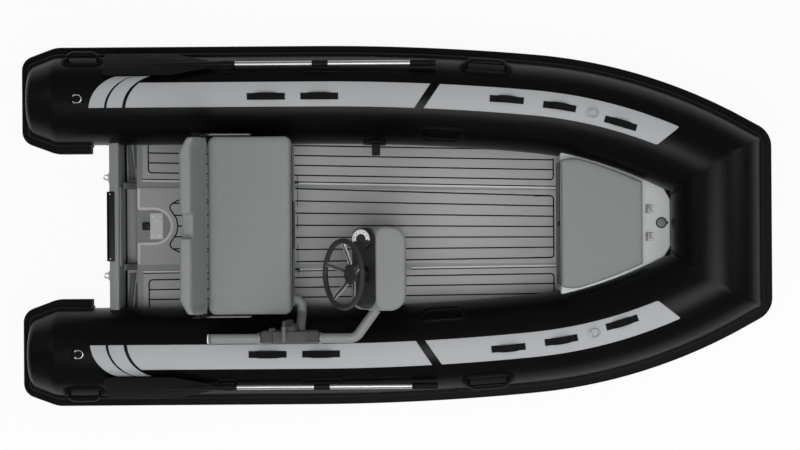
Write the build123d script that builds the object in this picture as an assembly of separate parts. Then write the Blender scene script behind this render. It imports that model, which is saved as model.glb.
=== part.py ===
"""Rigid inflatable tender, 3.8 m: tubes, moulded hull, console, seat and bow locker.

Millimetres. +X is the bow, +Y port, +Z up. The origin is on the centreline at
mid-length, on the waterline of the empty boat.
"""
import os
from math import asin, atan2, cos, degrees, hypot, radians, sin, sqrt, tan

from build123d import *

os.makedirs("parts", exist_ok=True)

# ---------------------------------------------------------------- driving sizes
# Buoyancy tubes
TUBE_R = 228.0            # radius of every tube
TUBE_Y = 646.0            # axis of the straight side tubes, off the centreline
TUBE_Z = 320.0            # axis height above the waterline, aft
SHEER_TILT = 24.0         # the side tubes bend in a plane tilted this far up
CONE_BACK_X = -1882.0     # flat aft end of each side tube
CONE_LENGTH = 138.0
CONE_END_R = 177.0
BEND_START_X = -420.0     # where the side tubes start to bend inwards
LONG_BEND_R = 10450.0
LONG_BEND_TURN = 6.1
BOW_BEND_R = 2080.0
BOW_BEND_TURN = 27.2

# Rubbing strake round the tubes: a band with a thicker rib
BAND_HALF = 62.0
BAND_T = 10.0
BAND_BEVEL = 16.0
BAND_EDGE = 2.0           # its thin edge starts this far inside the tube's skin line
RIB_HALF = 31.0
RIB_T = 46.0
RIB_BEVEL = 9.0
STRAKE_SINK = 20.0        # how far its section reaches into the tube before the cut
STRAKE_CORNER_R = 122.0   # outer radius round each bow corner
STRAKE_HIP_R = 100.0      # where the strake turns onto the cone
STRAKE_END_R = 30.0       # where it turns across the flat aft end
STRAKE_TAIL_X = -1566.0   # its square end on the inner side

# Hull and deck
TRANSOM_BACK_X = -1470.0
TRANSOM_T = 49.0
TRANSOM_TOP_Z = 380.0
KEEL_Z = -130.0
DEADRISE_CHINE_Z = 52.0
CHINE_INSET = 86.0        # chine inside the tube axis
DECK_TOP_Z = 200.0
DECK_T = 15.0
WELL_FRONT_X = -1356.0    # stern well between the transom and the deck
WELL_FLOOR_Z = 120.0
DECK_FRONT_X = 1400.0
DECK_TUCK = 40.0          # how far the deck's edge lies inside the chine

# Deck mats; the gutters between them drift a little to starboard going forward
MAT_T = 6.0
GROOVE_W = 5.0
GROOVE_DEPTH = 2.0
MAT_AFT_X = -1327.0
CENTRE_MAT_AFT_X = -1354.0
MAT_LOCKER_GAP = 7.0
GUTTER_AFT_Y = 238.0
GUTTER_FRONT_PORT_Y = 186.0
GUTTER_FRONT_STARBOARD_Y = 219.0
GUTTER_AFT_W = 32.0       # from the centre mat to the ridge
GUTTER_FRONT_W = 8.0
CENTRE_PLANKS = 6
CENTRE_AFT_PITCH = 63.5
CENTRE_FRONT_PITCH = 53.6
RIDGE_W = 10.0
RIDGE_T = 10.0
SIDE_PLANKS = 3
SIDE_PITCH = 51.5
SIDE_MAT_OUTER = 430.0
SIDE_MAT_TAPER = 50.0     # how much narrower the side mats are at the locker
SIDE_MAT_TAPER_X = 300.0
MAT_BORDER = 32.0
NOTCH_HALF = 84.0
NOTCH_FRONT_X = -1182.0

# Bow eye on the stem
BOW_EYE_X = 1412.0
BOW_EYE_Z = 30.0
BOW_EYE_R = 20.0
BOW_EYE_BORE_R = 10.0
BOW_EYE_T = 12.0

# Engine pad, towing eyes, knees
PAD_HALF = 178.0
PAD_T = 11.0
PAD_BOTTOM_Z = 90.0
PAD_CAP_REACH = 28.0
EYE_Y = 252.0
EYE_Z = 330.0
EYE_R = 15.5
EYE_BORE_R = 8.75
EYE_T = 12.0
EYE_REACH = 23.0
EYE_BASE_HALF = 37.0
KNEE_Y = 211.0
KNEE_W = 33.0
KNEE_TOP_Z = 330.0
PLATE_X0 = -1288.0        # pale plate over the bilge
PLATE_X1 = -1221.0
PLATE_HALF = 68.0
PLATE_T = 5.0
KNOB_X = -1308.0
KNOB_R = 18.0
KNOB_H = 30.0

# Seat
SEAT_BACK_X = -935.0
SEAT_FRONT_X = -520.0
SEAT_HALF = 441.0
SEAT_BASE_INSET = 36.0    # seat box inside the cushion, each side
SEAT_BASE_TOP_Z = 552.0
SEAT_LID_T = 12.0
SEAT_TOP_Z = 652.0
SEAT_WALL = 14.0
CUSHION_CORNER_R = 40.0
BACKREST_GAP = 10.0
BACKREST_TOP_Z = 1030.0
BACKREST_T = 52.0
BACKREST_INSET = 11.0
BACKREST_LEAN = 34.0
BACKREST_FOOT_Z = 660.0
BACKREST_CORNER = (38.0, 73.0)   # bevel of its aft corners, along x and along y
BACKREST_WING = (16.0, 40.0)     # how far its ends turn forward, and over what width
BACKREST_WING_Z = 760.0
BACKREST_EDGE_R = 14.0
DIP_HALF = 57.0           # hand grip in its top edge
DIP_DEPTH = 58.0
BRACKET_T = 10.0
BRACKET_GAP = 6.0
BRACKET_REACH_X = -722.0
BRACKET_RISE = 200.0      # up the back of the seat
BRACKET_DROP = 82.0
LUG_W = 50.0
LUG_T = 12.0

# Console
CONSOLE_Y = -210.0
CONSOLE_HALF = 202.0
CONSOLE_FRONT_X = 42.0
CONSOLE_TOP_Z = 950.0
CONSOLE_FLARE = 8.0      # how far its front spreads towards the deck
CONSOLE_WALL = 12.0
DASH_TOP_X = -100.0
DASH_FOOT_X = -220.0
DASH_FOOT_Z = 780.0
CONSOLE_CORNER_R = 46.0   # upright corners
CONSOLE_TOP_R = 20.0
CONSOLE_TUCK = 40.0       # its foot lies this far ahead of the dash's lower edge
DASH_T = 4.0
DASH_MARGIN = 26.0
DASH_HALF_H = 92.0
GAUGE_R = 50.0
GAUGE_T = 7.0             # least height of its face off the dash
GAUGE_LEAN = 35.0         # its face lies this much nearer to level than the dash
GAUGE_Y = -69.0
GAUGE_UP = 26.0

# Steering wheel, on the sloped dash
WHEEL_Y = -236.0
WHEEL_R = 159.5
RIM_R = 13.0
WHEEL_STANDOFF = 124.0
WHEEL_DISH = 46.0
WHEEL_HUB_R = 48.0
WHEEL_HUB_T = 22.0
WHEEL_UP = 8.0
SPOKE_R = 8.0
SPOKES = 5
SPOKE_TURN = 18.0
SHAFT_COVER_R = 40.0

# Side rail and throttle
RAIL_R = 24.0
RAIL_Y = -557.0
RAIL_Z = 700.0
RAIL_BACK_X = -934.0
RAIL_BEND_X = -207.0      # where its two straight lines would meet
RAIL_BEND_R = 62.0
RAIL_FLANGE_X = -104.0
RAIL_FLANGE_R = 42.0
RAIL_FLANGE_T = 10.0
LEG_START_IN = 69.0       # leg's foot in the seat box's front, inside the seat's end
LEG_OUT = 5.0             # its upper bend, outside the seat's end
LEG_START_Z = 490.0
LEG_X = -470.0
LEG_BEND_R = 42.0
BOX_BACK_X = -682.0
BOX_FRONT_X = -375.0
BOX_W = 66.0
BOX_H = 108.0
BOX_DROP = 50.0           # its foot below the rail's axis
BOX_OUT = 48.0            # its inboard face from the rail's axis
BOX_BEVEL = 18.0
BOSS_X = -520.0
BOSS_R = 46.0
BOSS_T = 40.0
LEVER_R = 9.0
LEVER_H = 140.0
LEVER_RAKE = 33.0
LEVER_GRIP = 90.0
LEVER_GRIP_R = 13.0

# Bow locker
LOCKER_BACK_X = 832.0
LOCKER_TOP_Z = 440.0
LOCKER_WALL = 12.0
LOCKER_RIM = 45.0         # width of its rim inside the tubes
NOSE_HALF = 118.0
NOSE_SINK = 3.0
SHOULDER_REACH = 32.0     # from the nose back to its corners
LOCKER_CORNER_R = 26.0
LID_REACH = 143.0         # from the nose back to the lid's front edge
LID_T = 12.0
LID_GAP = 16.0            # from the tubes
LOCKER_CUSHION_T = 50.0
LOCKER_CUSHION_GAP = 9.0
LOCKER_CUSHION_FRONT_GAP = 18.0
LOCKER_CUSHION_AFT_Y = 321.0
LOCKER_HINGE_Y = 70.0
LOCKER_HINGE_HALF = 22.0
HINGE_RISE = 8.0
LIGHT_REACH = 46.0
LIGHT_R = 28.0
LIGHT_T = 8.0
LATCH_HALF = 13.0
LATCH_DEPTH = 12.0
LATCH_H = 46.0

SEAT_FIT = 0.3            # soft pieces lie this far off what carries them


# ---------------------------------------------------------------- helpers
def run(profile, legs, start, heading=0.0):
    """Carry a section along a flat path; each leg is (length, 0) or (radius, turn to the right)."""
    parts = []
    x, y = start
    for size, turn in legs:
        ahead = Vector(cos(radians(heading)), sin(radians(heading)), 0)
        left = Vector(-ahead.Y, ahead.X, 0)
        here = Plane(origin=(x, y, 0), x_dir=left, z_dir=ahead)
        if turn:
            cx, cy = x - size * left.X, y - size * left.Y
            parts.append(revolve(here * profile, Axis((cx, cy, 0), (0, 0, -1)), turn))
            heading -= turn
            x, y = cx - size * sin(radians(heading)), cy + size * cos(radians(heading))
        else:
            parts.append(extrude(here * profile, amount=size))
            x, y = x + size * ahead.X, y + size * ahead.Y
    whole = parts[0]
    for part in parts[1:]:
        whole += part
    return whole


def mirrored(shape):
    """The starboard twin of a port piece."""
    return shape.mirror(Plane.XZ)


def box(x0, x1, y0, y1, z0, z1):
    """A box from its six faces."""
    return Pos((x0 + x1) / 2, (y0 + y1) / 2, (z0 + z1) / 2) * Box(x1 - x0, y1 - y0, z1 - z0)


def prism(points, z0, z1):
    """A plan outline carried up from z0 to z1."""
    return extrude(Pos(0, 0, z0) * make_face(Polyline(*points, close=True)), amount=z1 - z0)


def slab(points, y0, y1):
    """A side outline of (x, z) points carried across from y0 to y1."""
    face = make_face(Polyline(*[(x, y0, z) for x, z in points], close=True))
    return extrude(face, amount=y1 - y0, dir=(0, 1, 0))


def rod(start, end, radius):
    """A round bar between two points."""
    a, b = Vector(*start), Vector(*end)
    return extrude(Plane(origin=a, z_dir=b - a) * Circle(radius), amount=(b - a).length)


def save(name, shape):
    """Write one node."""
    export_step(shape, f"parts/{name}.step")


# ---------------------------------------------------------------- side tube path
SIDE = Plane(
    origin=(0, TUBE_Y, TUBE_Z),
    x_dir=(1, 0, 0),
    z_dir=(0, sin(radians(SHEER_TILT)), cos(radians(SHEER_TILT))),
)
CONE_FRONT_X = CONE_BACK_X + CONE_LENGTH
BENDS = [(LONG_BEND_R, LONG_BEND_TURN), (BOW_BEND_R, BOW_BEND_TURN)]


def path_point(x):
    """Centre and heading of the side path, in its own plane, where its centre reaches x."""
    if x <= BEND_START_X:
        return x, 0.0, 0.0
    px, py, heading = BEND_START_X, 0.0, 0.0
    for radius, turn in BENDS:
        end_x = px + radius * (sin(radians(heading + turn)) - sin(radians(heading)))
        if x <= end_x or (radius, turn) == BENDS[-1]:
            there = degrees(asin(sin(radians(heading)) + (x - px) / radius))
            drop = radius * (cos(radians(heading)) - cos(radians(there)))
            return x, py - drop, there
        py -= radius * (cos(radians(heading)) - cos(radians(heading + turn)))
        px, heading = end_x, heading + turn


MITRE_TURN = LONG_BEND_TURN + BOW_BEND_TURN
MITRE_X = BEND_START_X + LONG_BEND_R * sin(radians(LONG_BEND_TURN)) + BOW_BEND_R * (
    sin(radians(MITRE_TURN)) - sin(radians(LONG_BEND_TURN))
)
MITRE_LOCAL = path_point(MITRE_X - 1e-6)
MITRE = SIDE.from_local_coords(Vector(MITRE_LOCAL[0], MITRE_LOCAL[1], 0))
tilt, turn = radians(SHEER_TILT), radians(MITRE_TURN)
AHEAD = Vector(cos(turn), -sin(turn) * cos(tilt), sin(turn) * sin(tilt))
ACROSS = Vector(0, -1, 0)
OUTWARD = Vector(sin(turn), cos(turn) * cos(tilt), -cos(turn) * sin(tilt))
CORNER_TURN = AHEAD.get_angle(ACROSS)
MITRE_PLANE = Plane(origin=MITRE, z_dir=AHEAD + ACROSS)
BOW_X, BOW_Z = MITRE.X, MITRE.Z


def on_tube(x, from_top, lift=0.0):
    """A plane on the port tube's skin: x along the tube, z straight out of it.

    from_top is the angle from the tube's crown, positive towards the water side.
    """
    cx, cy, heading = path_point(x)
    ahead = Vector(cos(radians(heading)), -sin(radians(heading)), 0)
    left = Vector(-ahead.Y, ahead.X, 0)
    angle = radians(90 + SHEER_TILT - from_top)
    out = left * cos(angle) + Vector(0, 0, 1) * sin(angle)
    spot = Vector(cx, cy, 0) + out * (TUBE_R + lift)
    return Plane(
        origin=SIDE.from_local_coords(spot),
        x_dir=SIDE.from_local_coords(spot + ahead) - SIDE.from_local_coords(spot),
        z_dir=SIDE.from_local_coords(spot + out) - SIDE.from_local_coords(spot),
    )


# ---------------------------------------------------------------- tubes
def side_run(profile, start_x, overrun=0.0):
    """A section carried along the port tube from start_x to the mitre, and on past it."""
    legs = [(BEND_START_X - start_x, 0), *BENDS]
    if overrun:
        legs.append((overrun, 0))
    return SIDE * run(profile, legs, (start_x, 0))


def build_side_tube():
    """Port tube: cone, straight and bends, cut at the bow mitre."""
    body = side_run(Circle(TUBE_R), CONE_FRONT_X, TUBE_R)
    cone = Plane(origin=(CONE_BACK_X, TUBE_Y, TUBE_Z), z_dir=(1, 0, 0)) * Cone(
        CONE_END_R, TUBE_R, CONE_LENGTH, align=(Align.CENTER, Align.CENTER, Align.MIN)
    )
    return split(body, MITRE_PLANE, keep=Keep.BOTTOM) + cone


def build_bow_tube():
    """Straight tube across the bow, mitred at both ends."""
    half = MITRE.Y + TUBE_R
    tube = rod((BOW_X, -half, BOW_Z), (BOW_X, half, BOW_Z), TUBE_R)
    half_cut = split(tube, MITRE_PLANE, keep=Keep.TOP)
    twin = Plane(
        origin=(MITRE.X, -MITRE.Y, MITRE.Z),
        z_dir=(MITRE_PLANE.z_dir.X, -MITRE_PLANE.z_dir.Y, MITRE_PLANE.z_dir.Z),
    )
    return split(half_cut, twin, keep=Keep.TOP)


tube_port = build_side_tube()
tube_bow = build_bow_tube()
tube_starboard = mirrored(tube_port)


def clear_of_tubes(shape):
    """Trim a piece to the skin of the tubes."""
    return shape - tube_port - tube_starboard - tube_bow


# ---------------------------------------------------------------- strake
STRAKE_SECTION = make_face(
    Polyline(
        (-STRAKE_SINK, -BAND_HALF),
        (-BAND_EDGE, -BAND_HALF),
        (BAND_T, -BAND_HALF + BAND_BEVEL),
        (BAND_T, -RIB_HALF),
        (RIB_T - RIB_BEVEL, -RIB_HALF),
        (RIB_T, -RIB_HALF + RIB_BEVEL),
        (RIB_T, RIB_HALF - RIB_BEVEL),
        (RIB_T - RIB_BEVEL, RIB_HALF),
        (BAND_T, RIB_HALF),
        (BAND_T, BAND_HALF - BAND_BEVEL),
        (-BAND_EDGE, BAND_HALF),
        (-STRAKE_SINK, BAND_HALF),
        close=True,
    )
)
CONE_ANGLE = degrees(atan2(TUBE_R - CONE_END_R, CONE_LENGTH))


def build_strake():
    """Port strake: tail, round the cone's end, along the tube and round the bow corner."""
    hip = STRAKE_HIP_R * tan(radians(CONE_ANGLE / 2))
    end = STRAKE_END_R * tan(radians((90 - CONE_ANGLE) / 2))
    slope = hypot(CONE_LENGTH, TUBE_R - CONE_END_R) - hip - end
    flat = 2 * (CONE_END_R - end)
    legs = [
        (STRAKE_TAIL_X - CONE_FRONT_X - hip, 0),
        (STRAKE_HIP_R, CONE_ANGLE),
        (slope, 0),
        (STRAKE_END_R, 90 - CONE_ANGLE),
        (flat, 0),
        (STRAKE_END_R, 90 - CONE_ANGLE),
        (slope, 0),
        (STRAKE_HIP_R, CONE_ANGLE),
        (BEND_START_X - CONE_FRONT_X - hip, 0),
    ]
    level = Plane(origin=(0, TUBE_Y, TUBE_Z))
    aft = level * run(STRAKE_SECTION, legs, (STRAKE_TAIL_X, -TUBE_R), 180.0)

    reach = TUBE_R + RIB_T - STRAKE_CORNER_R
    section = Rot(0, 0, SHEER_TILT) * Pos(TUBE_R, 0) * STRAKE_SECTION
    bisector = (AHEAD - ACROSS).normalized()
    hub = MITRE + bisector * (reach / cos(radians(CORNER_TURN / 2)))
    overrun = (hub - MITRE).dot(AHEAD)
    side = SIDE * run(section, [*BENDS, (overrun, 0)], (BEND_START_X, 0))

    station = Plane(origin=MITRE + AHEAD * overrun, x_dir=OUTWARD, z_dir=AHEAD)
    pivot = Axis(hub, AHEAD.cross(ACROSS))
    corner = revolve(station * section, pivot, CORNER_TURN)

    turned_out = OUTWARD.rotate(Axis((0, 0, 0), AHEAD.cross(ACROSS)), CORNER_TURN)
    arm = station.origin - hub
    landing = hub + arm.rotate(Axis((0, 0, 0), AHEAD.cross(ACROSS)), CORNER_TURN)
    front = Plane(origin=landing, x_dir=turned_out, z_dir=ACROSS)
    bow_half = extrude(front * section, amount=landing.Y)
    port = clear_of_tubes(aft + side + corner)
    bow = clear_of_tubes(bow_half + mirrored(bow_half))
    return port, bow


strake_port, strake_bow = build_strake()

# ---------------------------------------------------------------- hull
# station x, keel z
HULL_STATIONS = [
    (TRANSOM_BACK_X + TRANSOM_T, KEEL_Z),
    (0.0, KEEL_Z),
    (650.0, KEEL_Z + 8),
    (1000.0, KEEL_Z + 40),
    (1250.0, KEEL_Z + 105),
    (1430.0, KEEL_Z + 200),
    (1560.0, KEEL_Z + 330),
]


def tube_axis_at(x):
    """World y and z of the port tube's axis at x."""
    cx, cy, _ = path_point(min(x, MITRE_X - 1))
    spot = SIDE.from_local_coords(Vector(cx, cy, 0))
    return spot.Y, spot.Z


def skin_y(x, z):
    """Where a level line at height z meets the inner side of the port tube at x."""
    axis_y, axis_z = tube_axis_at(x)
    heading = radians(path_point(x)[2])
    return axis_y - sqrt(TUBE_R ** 2 - (z - axis_z) ** 2) / cos(heading)


def deck_half(x):
    """Half-width of the deck at x, under the tubes."""
    return tube_axis_at(x)[0] - CHINE_INSET - DECK_TUCK


def hull_section(x, keel_z):
    """V bottom, chine and topside up into the tube, as a flat face."""
    axis_y, axis_z = tube_axis_at(x)
    rise = axis_z - TUBE_Z
    chine_y = axis_y - CHINE_INSET
    chine_z = DEADRISE_CHINE_Z + rise * 0.9
    rail_z = max(DECK_TOP_Z - DECK_T, chine_z + 60)
    points = [
        (x, 0, keel_z),
        (x, chine_y, chine_z),
        (x, chine_y + 20, chine_z + 40),
        (x, chine_y - DECK_TUCK, rail_z),
        (x, -chine_y + DECK_TUCK, rail_z),
        (x, -chine_y - 20, chine_z + 40),
        (x, -chine_y, chine_z),
    ]
    return make_face(Polyline(*points, close=True))


def build_hull():
    """Moulded bottom, closed by the deck, with the stern well cut into it."""
    body = loft([hull_section(x, z) for x, z in HULL_STATIONS], ruled=True)
    top = box(TRANSOM_BACK_X, BOW_X, -TUBE_Y, TUBE_Y, DECK_TOP_Z - DECK_T, 700)
    well = box(TRANSOM_BACK_X, WELL_FRONT_X, -TUBE_Y, TUBE_Y, WELL_FLOOR_Z, 700)
    forward = box(DECK_FRONT_X, BOW_X + TUBE_R, -TUBE_Y, TUBE_Y, DECK_TOP_Z - DECK_T, 700)
    return clear_of_tubes(body - (top - forward) - well)


hull = build_hull()


def build_bow_eye():
    """Upright eye on the stem, above the waterline."""
    web = Pos(BOW_EYE_X - 8, 0, BOW_EYE_Z + 16) * Rot(0, -28, 0) * Box(30, BOW_EYE_T, 60)
    ring = Pos(BOW_EYE_X, 0, BOW_EYE_Z) * Rot(90, 0, 0) * Cylinder(BOW_EYE_R, BOW_EYE_T)
    bore = Pos(BOW_EYE_X, 0, BOW_EYE_Z) * Rot(90, 0, 0) * Cylinder(BOW_EYE_BORE_R, 2 * BOW_EYE_T)
    return web + ring - bore - hull


bow_eye = build_bow_eye()


def build_transom():
    """Board between the tubes, its foot following the V bottom."""
    axis_y = TUBE_Y
    chine_y = axis_y - CHINE_INSET
    outline = [
        (0, KEEL_Z),
        (chine_y, DEADRISE_CHINE_Z),
        (chine_y + 20, DEADRISE_CHINE_Z + 40),
        (TUBE_Y - 60, TRANSOM_TOP_Z),
        (-TUBE_Y + 60, TRANSOM_TOP_Z),
        (-chine_y - 20, DEADRISE_CHINE_Z + 40),
        (-chine_y, DEADRISE_CHINE_Z),
    ]
    face = make_face(Polyline(*[(TRANSOM_BACK_X, y, z) for y, z in outline], close=True))
    return clear_of_tubes(extrude(face, amount=TRANSOM_T, dir=(1, 0, 0)))


transom = build_transom()

DECK_STEPS = 6
deck_edge = [
    (x, deck_half(x))
    for x in [WELL_FRONT_X + i * (DECK_FRONT_X - WELL_FRONT_X) / DECK_STEPS for i in range(DECK_STEPS + 1)]
]


def plan(half_points):
    """A plan outline closed by its mirror image."""
    return half_points + [(x, -y) for x, y in reversed(half_points)]


deck_plate = clear_of_tubes(prism(plan(deck_edge), DECK_TOP_Z - DECK_T, DECK_TOP_Z))

# ---------------------------------------------------------------- deck mats
MAT_TOP_Z = DECK_TOP_Z + MAT_T
MAT_FRONT_X = LOCKER_BACK_X - MAT_LOCKER_GAP
SEAT_BASE_HALF = SEAT_HALF - SEAT_BASE_INSET
# side of the boat: 1 port, -1 starboard; the gutter's distance out at the locker
GUTTER_FRONT = {1: GUTTER_FRONT_PORT_Y, -1: GUTTER_FRONT_STARBOARD_Y}


def gutter_y(x, side):
    """Centre of the ridge beside the gutter, signed."""
    share = (x - MAT_AFT_X) / (MAT_FRONT_X - MAT_AFT_X)
    return side * (GUTTER_AFT_Y + share * (GUTTER_FRONT[side] - GUTTER_AFT_Y))


def groove(x0, y0, x1, y1):
    """A narrow straight cut in a mat's top."""
    length = hypot(x1 - x0, y1 - y0)
    turn = degrees(atan2(y1 - y0, x1 - x0))
    bar = Box(length, GROOVE_W, 2 * GROOVE_DEPTH)
    return Pos((x0 + x1) / 2, (y0 + y1) / 2, MAT_TOP_Z) * Rot(0, 0, turn) * bar


def build_centre_mat():
    """Centre panel with its U-shaped notch at the drain and its plank grooves."""
    aft, front = CENTRE_MAT_AFT_X, MAT_FRONT_X
    outline = [
        (aft, gutter_y(aft, 1) - GUTTER_AFT_W - RIDGE_W / 2),
        (front, gutter_y(front, 1) - GUTTER_FRONT_W - RIDGE_W / 2),
        (front, gutter_y(front, -1) + GUTTER_FRONT_W + RIDGE_W / 2),
        (aft, gutter_y(aft, -1) + GUTTER_AFT_W + RIDGE_W / 2),
    ]
    mat = prism(outline, DECK_TOP_Z, MAT_TOP_Z)
    notch_centre = NOTCH_FRONT_X - NOTCH_HALF
    mat -= box(aft - MAT_T, notch_centre, -NOTCH_HALF, NOTCH_HALF, DECK_TOP_Z, MAT_TOP_Z)
    mat -= Pos(notch_centre, 0, DECK_TOP_Z + MAT_T / 2) * Cylinder(NOTCH_HALF, MAT_T)
    middle = (gutter_y(front, 1) + gutter_y(front, -1)) / 2
    for i in range(CENTRE_PLANKS + 1):
        row = CENTRE_PLANKS / 2 - i
        front_y = middle + row * CENTRE_FRONT_PITCH
        mat -= groove(SEAT_FRONT_X, row * CENTRE_AFT_PITCH, front - MAT_BORDER, front_y)
    return mat


def build_side_mat(side):
    """Side panel with its plank grooves, trimmed to the tube."""
    gap = side * RIDGE_W
    aft, front = MAT_AFT_X, MAT_FRONT_X
    outline = [
        (aft, gutter_y(aft, side) + gap), (front, gutter_y(front, side) + gap),
        (front, side * (SIDE_MAT_OUTER - SIDE_MAT_TAPER)), (SIDE_MAT_TAPER_X, side * SIDE_MAT_OUTER),
        (aft, side * SIDE_MAT_OUTER),
    ]
    mat = prism(outline, DECK_TOP_Z, MAT_TOP_Z)
    for i in range(SIDE_PLANKS):
        out = side * (RIDGE_W + MAT_BORDER + i * SIDE_PITCH)
        mat -= groove(
            aft + MAT_BORDER, gutter_y(aft, side) + out, front - MAT_BORDER, gutter_y(front, side) + out
        )
    return clear_of_tubes(mat)


def build_ridge(side):
    """Ridge on the outer side of one gutter."""
    aft, front, half = MAT_AFT_X, MAT_FRONT_X, RIDGE_W / 2
    outline = [
        (aft, gutter_y(aft, side) - half), (front, gutter_y(front, side) - half),
        (front, gutter_y(front, side) + half), (aft, gutter_y(aft, side) + half),
    ]
    return prism(outline, DECK_TOP_Z, DECK_TOP_Z + RIDGE_T)


seat_stand = box(SEAT_BACK_X, SEAT_FRONT_X, -SEAT_BASE_HALF, SEAT_BASE_HALF, MAT_TOP_Z, SEAT_TOP_Z)
console_stand = box(
    DASH_FOOT_X, CONSOLE_FRONT_X + CONSOLE_FLARE, CONSOLE_Y - CONSOLE_HALF, CONSOLE_Y + CONSOLE_HALF,
    MAT_TOP_Z, CONSOLE_TOP_Z,
)
ridges = build_ridge(1) + build_ridge(-1) - seat_stand - console_stand
deck_mat_centre = build_centre_mat()
deck_mat_port = build_side_mat(1)
deck_mat_starboard = build_side_mat(-1)


# ---------------------------------------------------------------- stern fittings
def build_engine_pad():
    """Wear plate on the transom's aft face, with a cap over its top edge."""
    back = TRANSOM_BACK_X - PAD_T
    face = box(back, TRANSOM_BACK_X, -PAD_HALF, PAD_HALF, PAD_BOTTOM_Z, TRANSOM_TOP_Z + PAD_T)
    cap = box(
        back, TRANSOM_BACK_X + PAD_CAP_REACH, -PAD_HALF, PAD_HALF, TRANSOM_TOP_Z, TRANSOM_TOP_Z + PAD_T
    )
    return face + cap


def build_towing_eyes():
    """Two horizontal eyes on tapered bases, aft of the transom."""
    eyes = []
    for y in (EYE_Y, -EYE_Y):
        x = TRANSOM_BACK_X - EYE_REACH
        web = prism(
            [
                (TRANSOM_BACK_X, y - EYE_BASE_HALF), (TRANSOM_BACK_X, y + EYE_BASE_HALF),
                (x, y + EYE_R - 2), (x, y - EYE_R + 2),
            ],
            EYE_Z - EYE_T / 2, EYE_Z + EYE_T / 2,
        )
        ring = Pos(x, y, EYE_Z) * Cylinder(EYE_R, EYE_T)
        flange = box(
            TRANSOM_BACK_X - 4, TRANSOM_BACK_X, y - EYE_BASE_HALF, y + EYE_BASE_HALF, EYE_Z - 25, EYE_Z + 25
        )
        eyes.append(web + ring + flange - Pos(x, y, EYE_Z) * Cylinder(EYE_BORE_R, 2 * EYE_T))
    return eyes[0] + eyes[1]


def build_knees():
    """Two gussets from the transom down to the deck's aft edge."""
    front = TRANSOM_BACK_X + TRANSOM_T
    outline = [
        (front, WELL_FLOOR_Z), (WELL_FRONT_X, WELL_FLOOR_Z), (WELL_FRONT_X, DECK_TOP_Z),
        (front, KNEE_TOP_Z),
    ]
    one = slab(outline, KNEE_Y - KNEE_W / 2, KNEE_Y + KNEE_W / 2)
    return one + mirrored(one)


engine_pad = build_engine_pad()
towing_eyes = build_towing_eyes()
transom_knees = build_knees()
well_plate = box(PLATE_X0, PLATE_X1, -PLATE_HALF, PLATE_HALF, DECK_TOP_Z, DECK_TOP_Z + PLATE_T)
knob_base = KNOB_R + 3
drain_knob = box(
    KNOB_X - knob_base, min(KNOB_X + knob_base, PLATE_X0), -knob_base, knob_base, DECK_TOP_Z, DECK_TOP_Z + PLATE_T
) + Pos(KNOB_X, 0, DECK_TOP_Z + PLATE_T) * Cylinder(
    KNOB_R, KNOB_H, align=(Align.CENTER, Align.CENTER, Align.MIN)
)


# ---------------------------------------------------------------- seat
def rounded_box(x0, x1, half, z0, z1, radius, y_mid=0.0):
    """A box centred on y_mid with rounded upright corners."""
    blank = RectangleRounded(x1 - x0, 2 * half, radius)
    return extrude(Pos((x0 + x1) / 2, y_mid, z0) * blank, amount=z1 - z0)


def build_seat_base():
    """Open-topped seat box standing between the tubes."""
    outer = box(SEAT_BACK_X + 6, SEAT_FRONT_X, -SEAT_BASE_HALF, SEAT_BASE_HALF, MAT_TOP_Z, SEAT_BASE_TOP_Z)
    inner = box(
        SEAT_BACK_X + 6 + SEAT_WALL, SEAT_FRONT_X - SEAT_WALL, -SEAT_BASE_HALF + SEAT_WALL,
        SEAT_BASE_HALF - SEAT_WALL, MAT_TOP_Z + SEAT_WALL, SEAT_BASE_TOP_Z,
    )
    return clear_of_tubes(outer - inner)


HINGE_R = 5.0
HINGE_Z = SEAT_BASE_TOP_Z + SEAT_LID_T / 2
SEAT_HINGE_X = SEAT_FRONT_X + HINGE_R
seat_base = build_seat_base()
seat_lid = box(
    SEAT_BACK_X + 10, SEAT_FRONT_X - 1, -SEAT_HALF + 8, SEAT_HALF - 8,
    SEAT_BASE_TOP_Z + 0.3, SEAT_BASE_TOP_Z + SEAT_LID_T,
)
seat_cushion = rounded_box(
    SEAT_BACK_X, SEAT_FRONT_X, SEAT_HALF, SEAT_BASE_TOP_Z + SEAT_LID_T + SEAT_FIT, SEAT_TOP_Z, CUSHION_CORNER_R
)
seat_cushion = fillet(seat_cushion.faces().sort_by(Axis.Z)[-1].edges(), 18)


SEAT_HINGE_HALF = 118.0


def build_seat_hinge():
    """Strip hinge on the seat box's front face."""
    leaf = box(SEAT_FRONT_X, SEAT_FRONT_X + 2, -SEAT_HINGE_HALF, SEAT_HINGE_HALF, HINGE_Z - 50, HINGE_Z)
    barrel = rod((SEAT_HINGE_X, -SEAT_HINGE_HALF, HINGE_Z), (SEAT_HINGE_X, SEAT_HINGE_HALF, HINGE_Z), HINGE_R)
    return leaf + barrel


seat_hinge = build_seat_hinge()


BACKREST_HALF = SEAT_HALF - BACKREST_INSET
BACKREST_SLOPE = Vector(-BACKREST_LEAN, 0, BACKREST_TOP_Z - BACKREST_FOOT_Z)


def leaning(outline, foot_z):
    """A plan outline carried up along the backrest's lean, from foot_z to its top."""
    share = (foot_z - BACKREST_FOOT_Z) / BACKREST_SLOPE.Z
    face = make_face(Polyline(*[(x - share * BACKREST_LEAN, y, foot_z) for x, y in outline], close=True))
    return extrude(face, amount=BACKREST_SLOPE.length * (1 - share), dir=BACKREST_SLOPE.normalized())


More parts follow.
